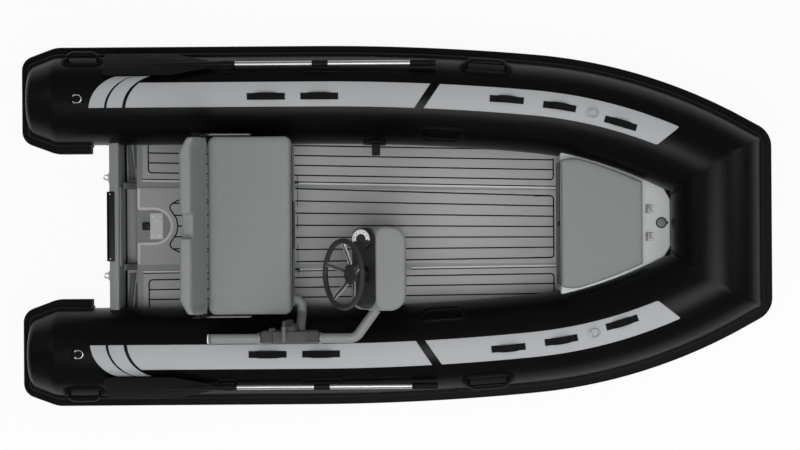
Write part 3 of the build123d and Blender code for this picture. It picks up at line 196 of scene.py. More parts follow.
def add_loft(work: bmesh.types.BMesh, rings: Sequence[Ring], closed: bool = True, caps: bool = True) -> None:
    """Add a skin through rings of equal length, with lengths in metres as its UV map.

    Args:
        work: the mesh to add to.
        rings: the sections, in order.
        closed: joins each ring's end to its start.
        caps: closes the first and the last ring.
    """
    layer = work.loops.layers.uv.get("cloth") or work.loops.layers.uv.new("cloth")
    rows = [[work.verts.new(point) for point in ring] for ring in rings]
    along = [0.0]
    for before, ring in zip(rings, rings[1:]):
        along.append(along[-1] + (ring[0] - before[0]).length)
    middle = rings[len(rings) // 2]
    around = [0.0]
    for i in range(len(middle)):
        around.append(around[-1] + (middle[(i + 1) % len(middle)] - middle[i]).length)
    count = len(middle) if closed else len(middle) - 1
    for r in range(len(rows) - 1):
        for i in range(count):
            j = (i + 1) % len(middle)
            corners = [rows[r][i], rows[r][j], rows[r + 1][j], rows[r + 1][i]]
            spots = [(r, i), (r, i + 1), (r + 1, i + 1), (r + 1, i)]
            face = work.faces.new(corners)
            for loop, (row, column) in zip(face.loops, spots):
                loop[layer].uv = (along[row], around[column])
    if caps:
        for row in (rows[0], rows[-1]):
            work.faces.new(row)


def loft(
    name: str, rings: Sequence[Ring], closed: bool = True, caps: bool = True, crease: float = 38.0
) -> Solid:
    """One piece from one skin; see add_loft for the arguments."""
    work = bmesh.new()
    add_loft(work, rings, closed, caps)
    return make(name, work, crease, caps)


def open_skin(name: str, rings: Sequence[Ring], crease: float) -> Solid:
    """A round skin with no caps, its faces pointing outwards."""
    work = bmesh.new()
    add_loft(work, rings, True, False)
    return make(name, work, crease)


def plate_rings(
    outline: Sequence[Point], place: Place, low: float, high: float,
    soft_low: float = 0.0, soft_high: float = 0.0, steps: int = 4, domed: int = 0, rise: float = 0.0,
) -> list[Ring]:
    """Rings of a flat or wrapped plate with rounded edges.

    Args:
        outline: its outline, in the plate's own two directions.
        place: turns two plan coordinates and a height into a point.
        low: height of its foot.
        high: height of its top.
        soft_low: radius of the lower edge.
        soft_high: radius of the upper edge.
        steps: parts of each rounded edge.
        domed: shrinking rings over the top, for one that is curved.
        rise: how much higher its middle is than its edge.

    Returns:
        The rings, from the foot up.
    """
    levels = []
    if soft_low:
        for share in shares(steps):
            turn = share * math.pi / 2
            levels.append((low + soft_low * (1 - math.cos(turn)), soft_low * (1 - math.sin(turn))))
    else:
        levels.append((low, 0.0))
    if soft_high:
        for share in shares(steps):
            turn = share * math.pi / 2
            levels.append((high - soft_high * (1 - math.sin(turn)), soft_high * (1 - math.cos(turn))))
    else:
        levels.append((high, 0.0))
    rings = [[place(a, b, height) for a, b in inset(outline, back)] for height, back in levels]
    if domed:
        edge = inset(outline, levels[-1][1])
        mid_a = sum(a for a, _ in edge) / len(edge)
        mid_b = sum(b for _, b in edge) / len(edge)
        for k in range(1, domed):
            share = k / domed
            lift = high + rise * (1 - (1 - share) ** 2)
            rings.append([
                place(mid_a + (a - mid_a) * (1 - share), mid_b + (b - mid_b) * (1 - share), lift) for a,
                b in edge
            ])
    return rings


def plate(
    name: str, outline: Sequence[Point], place: Place, low: float, high: float,
    soft_low: float = 0.0, soft_high: float = 0.0, steps: int = 4, domed: int = 0, rise: float = 0.0,
) -> Solid:
    """One plate with rounded edges; see plate_rings for the arguments."""
    return loft(name, plate_rings(outline, place, low, high, soft_low, soft_high, steps, domed, rise))


@dataclass(frozen=True)
class Axes:
    """A place and three directions."""

    origin: Vector
    x: Vector
    y: Vector
    z: Vector

    def __call__(self, a: float, b: float, c: float) -> Vector:
        """The point at those three distances."""
        return self.origin + self.x * a + self.y * b + self.z * c

    def matrix(self) -> Matrix:
        """The same place as a matrix."""
        turn = Matrix((self.x, self.y, self.z)).transposed().to_4x4()
        turn.translation = self.origin
        return turn


def axes_along(origin: Vector, ahead: Vector, up: Vector) -> Axes:
    """Axes whose x runs ahead and whose z is as near to up as it can be."""
    x = ahead.normalized()
    y = up.cross(x).normalized()
    return Axes(origin, x, y, x.cross(y))


def sweep(
    name: str, section: Sequence[Point], stations: Sequence[Axes], caps: bool = True, crease: float = 38.0
) -> Solid:
    """Carry a closed section, in each station's y and z, along the stations."""
    return loft(name, [[axes(0, a, b) for a, b in section] for axes in stations], True, caps, crease)


def lathe(name: str, profile: Sequence[Point], axes: Axes, steps: int = 48, crease: float = 38.0) -> Solid:
    """Turn a profile of (radius, height) points about the axes' z; radius 0 closes it."""
    rings = []
    for radius, height in profile:
        reach = max(radius, 1e-7)
        rings.append([
            axes(reach * math.cos(math.tau * i / steps), reach * math.sin(math.tau * i / steps), height)
            for i in range(steps)
        ])
    work = bmesh.new()
    add_loft(work, rings, True, False)
    closed = profile[0][0] == 0 and profile[-1][0] == 0
    if not closed:
        bmesh.ops.holes_fill(work, edges=[edge for edge in work.edges if edge.is_boundary])
    return make(name, work, crease)


def joined(name: str, pieces: Sequence[Solid], crease: float = 38.0) -> Solid:
    """Merge pieces of one finish into one object."""
    work = bmesh.new()
    for piece in pieces:
        work.from_mesh(piece.data)
        bpy.data.objects.remove(piece)
    return settled(name, work, crease)


def twin(piece: Solid, name: str) -> Solid:
    """The starboard twin of a port piece."""
    mesh = piece.data.copy()
    mesh.transform(Matrix.Scale(-1, 4, (0, 1, 0)))
    mesh.flip_normals()
    return placed(name, mesh)


def subdivided(piece: Solid, levels: int = 1) -> Solid:
    """Smooth a piece by subdivision, applied to its mesh."""
    modifier = piece.modifiers.new("Smooth", "SUBSURF")
    modifier.levels = modifier.render_levels = levels
    return applied(piece)


def applied(piece: Solid) -> Solid:
    """Apply what modifiers a piece has to its mesh."""
    graph = bpy.context.evaluated_depsgraph_get()
    mesh = bpy.data.meshes.new_from_object(piece.evaluated_get(graph), depsgraph=graph)
    piece.modifiers.clear()
    old = piece.data
    piece.data = mesh
    bpy.data.meshes.remove(old)
    return piece


# ------------------------------------------------------------------ nodes
def add_node(tree: bpy.types.NodeTree, kind: str, links: dict | None = None,
             **settings: object) -> bpy.types.Node:
    """Add a node to a shader or a geometry tree.

    Args:
        tree: the tree.
        kind: the node's type.
        links: an input's name or number, with a socket or a list of them to link, or a value to set.
        settings: properties of the node.

    Returns:
        The node.
    """
    node = tree.nodes.new(kind)
    for key, value in settings.items():
        setattr(node, key, value)
    for key, value in (links or {}).items():
        for one in value if isinstance(value, list) else [value]:
            if isinstance(one, bpy.types.NodeSocket):
                tree.links.new(one, node.inputs[key])
            else:
                node.inputs[key].default_value = one
    return node


class Tree:
    """Writes one Geometry Nodes tree with named inputs."""

    def __init__(self, name: str) -> None:
        """Start a tree with a geometry in and out, and a material."""
        self.group = bpy.data.node_groups.new(name, "GeometryNodeTree")
        self.names: dict[str, str] = {}
        self.group.interface.new_socket("Geometry", in_out="OUTPUT", socket_type="NodeSocketGeometry")
        self.group.interface.new_socket("Geometry", in_out="INPUT", socket_type="NodeSocketGeometry")
        self.inlet = self.group.nodes.new("NodeGroupInput")
        self.outlet = self.group.nodes.new("NodeGroupOutput")
        self.size("Finish", None, "NodeSocketMaterial")

    def size(self, name: str, value: float | int | None,
             kind: str = "NodeSocketFloat") -> bpy.types.NodeSocket:
        """Add a named input.

        Args:
            name: what it is called in the modifier.
            value: its default.
            kind: its socket type.

        Returns:
            The socket to link from.
        """
        socket = self.group.interface.new_socket(name, in_out="INPUT", socket_type=kind)
        if value is not None:
            socket.default_value = value
        self.names[name] = socket.identifier
        return self.inlet.outputs[name]

    def add(self, kind: str, links: dict | None = None, **settings: object) -> bpy.types.Node:
        """Add a node; see add_node for the arguments."""
        return add_node(self.group, kind, links, **settings)

    def times(self, socket: bpy.types.NodeSocket,
              factor: float | bpy.types.NodeSocket) -> bpy.types.NodeSocket:
        """A socket's value times a factor."""
        return self.add("ShaderNodeMath", {0: socket, 1: factor}, operation="MULTIPLY").outputs[0]

    def vector(self, *parts: float | bpy.types.NodeSocket) -> bpy.types.NodeSocket:
        """A vector from three numbers or sockets."""
        return self.add("ShaderNodeCombineXYZ", dict(enumerate(parts))).outputs[0]

    def close(self, geometry: bpy.types.NodeSocket) -> "Tree":
        """End the tree in Realize Instances and Set Material."""
        real = self.add("GeometryNodeRealizeInstances", {"Geometry": geometry})
        soft = self.add("GeometryNodeSetShadeSmooth", {0: real.outputs[0]})
        dressed = self.add(
            "GeometryNodeSetMaterial", {"Geometry": soft.outputs[0], "Material": self.inlet.outputs["Finish"]}
        )
        self.group.links.new(dressed.outputs[0], self.outlet.inputs[0])
        return self


def tube_tree() -> Tree:
    """A round bar along a bent line; Radius and Bend are its sizes."""
    tree = Tree("bent bar")
    radius, bend = tree.size("Radius", 0.01), tree.size("Bend", 0.0)
    sides = tree.size("Sides", 24, "NodeSocketInt")
    curve = tree.add("GeometryNodeMeshToCurve", {"Mesh": tree.inlet.outputs["Geometry"]})
    fillet = tree.add(
        "GeometryNodeFilletCurve",
        {"Curve": curve.outputs[0], "Radius": bend, "Count": 10, "Limit Radius": True}, mode="POLY",
    )
    ring = tree.add("GeometryNodeCurvePrimitiveCircle", {"Resolution": sides, "Radius": radius})
    bar = tree.add(
        "GeometryNodeCurveToMesh",
        {"Curve": fillet.outputs[0], "Profile Curve": ring.outputs[0], "Fill Caps": True},
    )
    return tree.close(bar.outputs[0])


def seam_tree() -> Tree:
    """A flat dark strip along a line on a level floor, for seams and for painted shadow; Width and Thickness
    are its sizes.
    """
    tree = Tree("deck seam")
    width, thickness = tree.size("Width", 0.005), tree.size("Thickness", 0.001)
    curve = tree.add("GeometryNodeMeshToCurve", {"Mesh": tree.inlet.outputs["Geometry"]})
    upright = tree.add("GeometryNodeSetCurveNormal", {"Curve": curve.outputs[0]}, mode="Z_UP")
    profile = tree.add("GeometryNodeCurvePrimitiveQuadrilateral", {"Width": width, "Height": thickness})
    strip = tree.add(
        "GeometryNodeCurveToMesh",
        {"Curve": upright.outputs[0], "Profile Curve": profile.outputs[0], "Fill Caps": True},
    )
    return tree.close(strip.outputs[0])


def stud_tree() -> Tree:
    """Domed screw heads on washers at a mesh's points, turned along their facing."""
    tree = Tree("screw heads")
    radius = tree.size("Head Radius", 0.005)
    facing = tree.add("GeometryNodeInputNamedAttribute", {"Name": "facing"}, data_type="FLOAT_VECTOR")
    turn = tree.add("FunctionNodeAlignRotationToVector", {"Vector": facing.outputs[0]}, axis="Z")
    ball = tree.add("GeometryNodeMeshUVSphere", {"Segments": 14, "Rings": 7, "Radius": radius})
    flat = tree.add("GeometryNodeTransform", {"Geometry": ball.outputs["Mesh"], "Scale": (1.0, 1.0, 0.5)})
    washer = tree.add(
        "GeometryNodeMeshCylinder",
        {"Vertices": 16, "Radius": tree.times(radius, 1.5), "Depth": tree.times(radius, 0.3)},
    )
    head = tree.add("GeometryNodeJoinGeometry", {"Geometry": [flat.outputs[0], washer.outputs["Mesh"]]})
    spread = tree.add(
        "GeometryNodeInstanceOnPoints",
        {"Points": tree.inlet.outputs["Geometry"], "Instance": head.outputs[0], "Rotation": turn.outputs[0]},
    )
    return tree.close(spread.outputs[0])


def stitch_tree() -> Tree:
    """A row of short thread stitches along a line; Pitch, Length and Thread are its sizes."""
    tree = Tree("stitches")
    pitch, length, thread = tree.size("Pitch", 0.006), tree.size("Length", 0.004), tree.size("Thread", 0.0006)
    curve = tree.add("GeometryNodeMeshToCurve", {"Mesh": tree.inlet.outputs["Geometry"]})
    points = tree.add("GeometryNodeResampleCurve", {"Curve": curve.outputs[0], "Length": pitch},
                      mode="LENGTH")
    tangent = tree.add("GeometryNodeInputTangent")
    turn = tree.add("FunctionNodeAlignRotationToVector", {"Vector": tangent.outputs[0]}, axis="X")
    ball = tree.add("GeometryNodeMeshUVSphere", {"Segments": 6, "Rings": 4, "Radius": 1.0})
    scale = tree.vector(tree.times(length, 0.5), thread, thread)
    shape = tree.add("GeometryNodeTransform", {"Geometry": ball.outputs["Mesh"], "Scale": scale})
    spread = tree.add(
        "GeometryNodeInstanceOnPoints",
        {"Points": points.outputs[0], "Instance": shape.outputs[0], "Rotation": turn.outputs[0]},
    )
    return tree.close(spread.outputs[0])


def wheel_tree() -> Tree:
    """Copies of a piece turned about z; Count and Arc say how many and over what angle."""
    tree = Tree("turned copies")
    count, arc = tree.size("Count", 5, "NodeSocketInt"), tree.size("Arc", math.tau)
    points = tree.add("GeometryNodePoints", {"Count": count})
    index = tree.add("GeometryNodeInputIndex")
    share = tree.add("ShaderNodeMath", {0: index.outputs[0], 1: count}, operation="DIVIDE")
    turn = tree.vector(0.0, 0.0, tree.times(share.outputs[0], arc))
    spread = tree.add(
        "GeometryNodeInstanceOnPoints",
        {"Points": points.outputs[0], "Instance": tree.inlet.outputs["Geometry"], "Rotation": turn},
    )
    return tree.close(spread.outputs[0])


class Grower:
    """Runs the Geometry Nodes trees and bakes what they make."""

    def __init__(self) -> None:
        """Write each tree once."""
        self.trees = {
            "bar": tube_tree(), "seam": seam_tree(), "studs": stud_tree(), "stitches": stitch_tree(),
            "turned": wheel_tree(),
        }

    def grow(self, kind: str, source: Solid, name: str, finish: "Finish", **sizes: float) -> Solid:
        """Run a tree on a source object and keep its plain mesh.

        Args:
            kind: the tree's key.
            source: the object that it starts from, removed here.
            name: the new piece's name.
            finish: its material.
            sizes: the tree's named inputs, with _ for a space.

        Returns:
            The baked piece.
        """
        tree = self.trees[kind]
        modifier = source.modifiers.new("Grow", "NODES")
        modifier.node_group = tree.group
        modifier[tree.names["Finish"]] = finish.material()
        for label, value in sizes.items():
            modifier[tree.names[label.replace("_", " ")]] = value
        graph = bpy.context.evaluated_depsgraph_get()
        mesh = bpy.data.meshes.new_from_object(source.evaluated_get(graph), depsgraph=graph)
        bpy.data.objects.remove(source)
        mesh.materials.clear()
        mesh.name = name
        mesh.set_sharp_from_angle(angle=math.radians(42))
        return placed(name, mesh)

    def lines(self, paths: Sequence[Sequence[Vector]], closed: bool = False) -> Solid:
        """A source object of one or several lines of edges."""
        verts: list[Vector] = []
        edges: list[tuple[int, int]] = []
        for path in paths:
            first = len(verts)
            verts += path
            edges += [(first + i, first + i + 1) for i in range(len(path) - 1)]
            if closed:
                edges.append((len(verts) - 1, first))
        mesh = bpy.data.meshes.new("lines")
        mesh.from_pydata(verts, edges, [])
        return placed("lines", mesh)

    def bar(
        self, name: str, finish: "Finish", paths: Sequence[Sequence[Vector]], radius: float,
        bend: float = 0.0, sides: int = 24, closed: bool = False,
    ) -> Solid:
        """Round bars along lines with filleted bends."""
        return self.grow("bar", self.lines(paths, closed), name, finish, Radius=radius, Bend=bend,
                         Sides=sides)

    def studs(
        self, name: str, finish: "Finish", spots: Iterable[tuple[Vector, Vector]], radius: float
    ) -> Solid:
        """Screw heads at (place, facing) pairs."""
        pairs = list(spots)
        mesh = bpy.data.meshes.new("spots")
        mesh.from_pydata([place for place, _ in pairs], [], [])
        layer = mesh.attributes.new("facing", "FLOAT_VECTOR", "POINT")
        for i, (_, facing) in enumerate(pairs):
            layer.data[i].vector = facing
        return self.grow("studs", placed("spots", mesh), name, finish, Head_Radius=radius)

    def stitches(
        self, name: str, finish: "Finish", paths: Sequence[Sequence[Vector]], closed: bool = False,
        pitch: float = 0.007, length: float = 0.005, thread: float = 0.0007,
    ) -> Solid:
        """Rows of stitches along lines."""
        return self.grow(
            "stitches", self.lines(paths, closed), name, finish, Pitch=pitch, Length=length, Thread=thread
        )


# ------------------------------------------------------------------ finishes
def grey(level_8bit: float, warm: float = 0.0) -> tuple[float, float, float, float]:
    """A linear colour from a grey of 0 to 255, warmer or cooler by a few hundredths."""
    parts = []
    for share in (1 + warm, 1.0, 1 - warm):
        value = level_8bit / 255 * share
        parts.append(value / 12.92 if value <= 0.04045 else ((value + 0.055) / 1.055) ** 2.4)
    return (*parts, 1.0)


class Grain(Enum):
    """What a finish's surface is like close to."""

    WEAVE = "coated woven cloth"
    LEATHER = "embossed vinyl"
    FOAM = "brushed closed-cell foam"
    WEBBING = "ribbed webbing"
    GELCOAT = "polished moulding"
    MATT = "moulded rubber or plastic"
    BRUSHED = "brushed metal"
    SMOOTH = "polished"


@dataclass(frozen=True)
class Finish:
    """One finish: its colours, its gloss and its grain."""

    name: str
    slot: str
    colour: tuple[float, float, float, float]
    roughness: float
    grain: Grain
    grain_size: float = 0.001
    depth: float = 0.25
    metallic: float = 0.0
    coat: float = 0.0
    sheen: float = 0.0
    variation: float = 0.08
    specular: float = 0.5

    def material(self) -> bpy.types.Material:
        """The material, built once."""
        return bpy.data.materials.get(self.name) or self._build()

    def _build(self) -> bpy.types.Material:
        """Write the node tree of this finish."""
        material = bpy.data.materials.new(self.name)
        material.use_nodes = True
        material.diffuse_color = self.colour
        tree = material.node_tree
        shader = tree.nodes["Principled BSDF"]
        for label, value in (("Metallic", self.metallic), ("Coat Weight", self.coat),
                             ("Sheen Weight", self.sheen),
                             ("Specular IOR Level", self.specular)):
            shader.inputs[label].default_value = value
        where = add_node(tree, "ShaderNodeTexCoord").outputs
        cloud = add_node(tree, "ShaderNodeTexNoise", {"Scale": 5.0, "Detail": 5.0, "Vector": where["Object"]})
        dark, light = [(*[part * max(0.0, 1 + sign * self.variation) for part in self.colour[:3]], 1.0)
                       for sign in (-1, 1)]
        blend = add_node(tree, "ShaderNodeMix", {6: dark, 7: light, "Factor": cloud.outputs["Fac"]},
                         data_type="RGBA")
        gloss = add_node(tree, "ShaderNodeMapRange", {
            "Value": cloud.outputs["Fac"], "To Min": self.roughness - 0.05,
            "To Max": min(1.0, self.roughness + 0.07)})
        height = self._height(tree, where["UV" if self.grain in (Grain.WEAVE, Grain.WEBBING) else "Object"])
        bump = add_node(tree, "ShaderNodeBump", {
            "Height": height, "Strength": self.depth, "Distance": self.grain_size * 0.6})
        for label, socket in (("Base Color", blend.outputs[2]), ("Roughness", gloss.outputs["Result"]),
                              ("Normal", bump.outputs["Normal"])):
            tree.links.new(socket, shader.inputs[label])
        return material

    def _height(self, tree: bpy.types.NodeTree, spot: bpy.types.NodeSocket) -> bpy.types.NodeSocket:
        """The grain's height, from the coordinates at spot."""
        stretch = {
            Grain.FOAM: (0.12, 1.0, 1.0), Grain.BRUSHED: (0.04, 1.0, 1.0), Grain.SMOOTH: (0.1, 0.1, 0.1),
            Grain.GELCOAT: (0.15, 0.15, 0.15),
        }.get(self.grain, (1.0, 1.0, 1.0))
        scale = tuple(part / self.grain_size for part in stretch)
        vector = add_node(tree, "ShaderNodeMapping", {"Vector": spot, "Scale": scale}).outputs[0]
        if self.grain in (Grain.WEAVE, Grain.WEBBING):
            woven = self.grain is Grain.WEAVE
            waves = [add_node(tree, "ShaderNodeTexWave", {"Scale": size, "Distortion": 0.4, "Vector": vector},
                              bands_direction=way).outputs["Fac"]
                     for way, size in (("X", 0.314), ("Y", 0.314 if woven else 0.08))]
            return add_node(tree, "ShaderNodeMath", dict(enumerate(waves)),
                            operation="MULTIPLY" if woven else "ADD").outputs[0]
        if self.grain is Grain.LEATHER:
            cells = add_node(tree, "ShaderNodeTexVoronoi", feature="SMOOTH_F1")
            cells.inputs["Scale"].default_value = 1.0
            tree.links.new(vector, cells.inputs["Vector"])
            return cells.outputs["Distance"]
        return add_node(tree, "ShaderNodeTexNoise",
                        {"Scale": 1.0, "Detail": 3.0, "Vector": vector}).outputs["Fac"]


TUBE_CLOTH = Finish("tube cloth", "tube_fabric", grey(7), 0.3, Grain.WEAVE, 0.0012, 0.08, variation=0.12,
                    specular=0.12)
STRAKE_RUBBER = Finish("strake rubber", "strake_rubber", grey(9), 0.5, Grain.MATT, 0.002, 0.12, specular=0.09)
PANEL_CLOTH = Finish("pale panel cloth", "patch_fabric", grey(176, -0.006), 0.6, Grain.WEAVE, 0.0012, 0.12,
                     variation=0.02, specular=0.2)
WEBBING = Finish("black webbing", "black_webbing", grey(7), 0.7, Grain.WEBBING, 0.0014, 0.5, specular=0.2)
BLACK_PLASTIC = Finish("black plastic", "black_plastic", grey(17), 0.42, Grain.MATT, 0.0012, 0.1,
                       specular=0.22)
PADDLE_BLACK = Finish("paddle black", "black_plastic", grey(9), 0.5, Grain.MATT, 0.0012, 0.2, specular=0.14)
PALE_RING = Finish("painted ring", "steel", grey(158), 0.4, Grain.MATT, 0.0012, 0.05, specular=0.3)
STEEL = Finish("stainless steel", "steel", grey(205), 0.25, Grain.BRUSHED, 0.0015, 0.08, metallic=1.0)
ALUMINIUM = Finish("anodised aluminium", "aluminium_tube", grey(182), 0.38, Grain.BRUSHED, 0.001, 0.1,
                   metallic=1.0)
HULL_COAT = Finish("hull gelcoat", "hull_gelcoat", grey(150), 0.25, Grain.GELCOAT, 0.004, 0.05, coat=0.3)
DECK_COAT = Finish("deck gelcoat", "deck_gelcoat", grey(130, -0.004), 0.4, Grain.GELCOAT, 0.004, 0.06)
LOCKER_COAT = Finish("locker gelcoat", "locker_gelcoat", grey(191, -0.004), 0.3, Grain.GELCOAT, 0.004, 0.05,
                     coat=0.2)
CONSOLE_COAT = Finish("console gelcoat", "console_gelcoat", grey(127, -0.004), 0.45, Grain.GELCOAT, 0.004,
                      0.06, variation=0.03, specular=0.3)
DECK_FOAM = Finish("deck foam", "deck_foam", grey(168), 0.75, Grain.FOAM, 0.0009, 0.4, variation=0.05)
# Near-white: the bilge plate's own colour, and a painted highlight on the deck ridges and the platform's
# edge.
PALE_RUBBER_AND_HIGHLIGHT = Finish("ridge rubber", "ridge_rubber", grey(205), 0.5, Grain.MATT, 0.002, 0.1)
# Near-black: the mats' seams and the gauge's marks, and also painted shadow beside the deck ridges and
# painted shade along the top of the locker's aft face.
SEAMS_AND_PAINTED_SHADE = Finish("dark seams and painted shade", "strake_rubber", grey(12), 0.7, Grain.MATT, 0.001, 0.2, specular=0.2)
VINYL = Finish("cushion vinyl", "cushion_vinyl", grey(135, -0.004), 0.55, Grain.LEATHER, 0.0016, 0.18,
               variation=0.03, specular=0.25)
THREAD = Finish("cushion thread", "cushion_vinyl", grey(118), 0.6, Grain.MATT, 0.0006, 0.2)
GRIP = Finish("wheel grip", "wheel_grip", grey(46), 0.55, Grain.MATT, 0.0012, 0.3, specular=0.25)
SPOKE = Finish("wheel spoke", "wheel_spoke", grey(68), 0.45, Grain.MATT, 0.0012, 0.15, specular=0.3)
# Painted highlights: bright metal strips along the spokes' sides.
SPOKE_HIGHLIGHT = Finish("painted spoke highlight", "wheel_spoke", grey(190), 0.3, Grain.BRUSHED, 0.001, 0.1,
                    metallic=0.8)
# White of the gauge's dial; also a painted highlight round the rail's end cap.
DIAL_AND_HIGHLIGHT = Finish("gauge dial and painted highlight", "gauge_face", grey(228), 0.3, Grain.SMOOTH, 0.001, 0.02, coat=0.6)
RAIL_PAINT = Finish("rail paint", "rail_paint", grey(133, -0.004), 0.42, Grain.GELCOAT, 0.003, 0.06,
                    specular=0.3)
THROTTLE_PAINT = Finish("throttle paint", "throttle_paint", grey(68), 0.5, Grain.MATT, 0.0015, 0.15,
                        specular=0.25)
THREAD_BLACK = Finish("black thread", "black_webbing", grey(34), 0.6, Grain.MATT, 0.0006, 0.2)
TRANSOM_COAT = Finish("transom gelcoat", "hull_gelcoat", grey(130, -0.004), 0.4, Grain.GELCOAT, 0.004, 0.05,
                      specular=0.3)
WELL_COAT = Finish("well gelcoat", "deck_gelcoat", grey(96, -0.004), 0.5, Grain.GELCOAT, 0.004, 0.06,
                   specular=0.25)
BRACKET_PAINT = Finish("bracket paint", "steel", grey(104), 0.4, Grain.GELCOAT, 0.003, 0.05)
HINGE_DARK = Finish("dark hinge", "steel", grey(70), 0.45, Grain.BRUSHED, 0.001, 0.1, metallic=0.6)
POD_FACE = Finish("gauge pod", "black_plastic", grey(27), 0.4, Grain.MATT, 0.001, 0.08)
DASH_FACE = Finish("dash face", "black_plastic", grey(44), 0.35, Grain.MATT, 0.001, 0.08)
LEVER_PAINT = Finish("lever paint", "black_plastic", grey(92), 0.4, Grain.MATT, 0.001, 0.08)
# Painted shade: a mid-grey for the locker's aft face, which lies in shade.
LOCKER_PAINTED_SHADE = Finish("locker aft painted shade", "locker_gelcoat", grey(104, -0.004), 0.5, Grain.GELCOAT, 0.004,
                      0.06)
HINGE_GREY = Finish("hinge metal", "steel", grey(128), 0.4, Grain.BRUSHED, 0.001, 0.1, metallic=0.7)
SOCKET_GREY = Finish("socket cover", "rail_paint", grey(104), 0.5, Grain.MATT, 0.001, 0.1)


# ------------------------------------------------------------------ the tubes' shape
@dataclass(frozen=True)
class TubePath:
    """The side tubes' axis: straight, then two bends in a plane tilted outboard, then the bow mitre."""

    radius: float = 0.228
    axis_y: float = 0.646
    axis_z: float = 0.320
    tilt: float = math.radians(24)
    bend_x: float = -0.420
    bends: tuple[Point, ...] = ((10.450, math.radians(6.1)), (2.080, math.radians(27.2)))
    cone_back: float = -1.875
    cone_length: float = 0.138
    cone_end: float = 0.177

    def flat(self, s: float) -> tuple[float, float, float]:
        """Place and heading in the path's own plane.

        Args:
            s: distance along the axis from where it starts to bend; negative is aft.

        Returns:
            Forward distance, outward distance, and the turn so far.
        """
        x, y, turn = self.bend_x, 0.0, 0.0
        if s <= 0:
            return x + s, 0.0, 0.0
        for radius, angle in self.bends:
            part = min(s, radius * angle)
            end = turn + part / radius
            x += radius * (math.sin(end) - math.sin(turn))
            y -= radius * (math.cos(turn) - math.cos(end))
            turn, s = end, s - part
            if s <= 0:
                return x, y, turn
        return x + s * math.cos(turn), y - s * math.sin(turn), turn

    @property
    def length(self) -> float:
        """From the start of the bends to the mitre."""
        return sum(radius * angle for radius, angle in self.bends)

    def at_x(self, x: float) -> float:
        """The distance along the axis where it reaches x."""
        low, high = x - self.bend_x - 0.01, self.length + 0.3
        for _ in range(40):
            middle = (low + high) / 2
            low, high = (middle, high) if self.flat(middle)[0] < x else (low, middle)
        return low

    def axes(self, s: float) -> Axes:
        """The axis's place at s: x ahead, y outboard, z square to the path's plane."""
        x, y, turn = self.flat(s)
        cos_t, sin_t = math.cos(self.tilt), math.sin(self.tilt)
        ahead = Vector((math.cos(turn), -math.sin(turn) * cos_t, math.sin(turn) * sin_t))
        out = Vector((math.sin(turn), math.cos(turn) * cos_t, -math.cos(turn) * sin_t))
        return Axes(
            Vector((x, self.axis_y + y * cos_t, self.axis_z - y * sin_t)), ahead, out,
            Vector((0, sin_t, cos_t))
        )

    def skin(self, s: float, angle: float, lift: float = 0.0, radius: float | None = None) -> Vector:
        """A point on the port tube.

        Args:
            s: distance along the axis.
            angle: from the crown, in radians, positive towards the water side.
            lift: off the skin.
            radius: the tube's own unless given.

        Returns:
            The point.
        """
        turn = math.pi / 2 + self.tilt - angle
        reach = (self.radius if radius is None else radius) + lift
        return self.axes(s)(0, reach * math.cos(turn), reach * math.sin(turn))

    def seat(self, s: float, angle: float, lift: float = 0.0) -> Axes:
        """Axes on the skin: x along the tube, z straight out of it."""
        here = self.skin(s, angle, lift)
        axes = self.axes(s)
        return axes_along(here, axes.x, here - axes.origin)

    def wrap(self, x: float, degrees: float) -> Place:
        """Plan coordinates and a height laid on the skin round one spot."""
        s0, angle0 = self.at_x(x), math.radians(degrees)
        return lambda a, b, height: self.skin(s0 + a, angle0 - b / self.radius, height)

    @property
    def mitre(self) -> Axes:
        """The mitre plane: z is its normal, towards the bow tube."""
        end = self.axes(self.length)
        normal = (end.x + -PORT).normalized()
        return Axes(end.origin, normal.orthogonal().normalized(), end.y, normal)

    def to_mitre(self, angle: float, back: float = 0.0) -> float:
        """How far along the line at that angle the mitre lies, less back."""
        cut = self.mitre
        low, high = self.length - 0.4, self.length + 0.4
        for _ in range(36):
            middle = (low + high) / 2
            beyond = (self.skin(middle, angle) - cut.origin).dot(cut.z) > 0
            low, high = (low, middle) if beyond else (middle, high)
        return low - back


PATH = TubePath()


def turns(count: int) -> list[float]:
    """Angles once round a section."""
    return [math.tau * i / count for i in range(count)]


@dataclass(frozen=True)
class Piping:
    """A cushion's welt over its board, and the stitches over the welt."""

    height: float
    rise: float
    radius: float
    lift: float


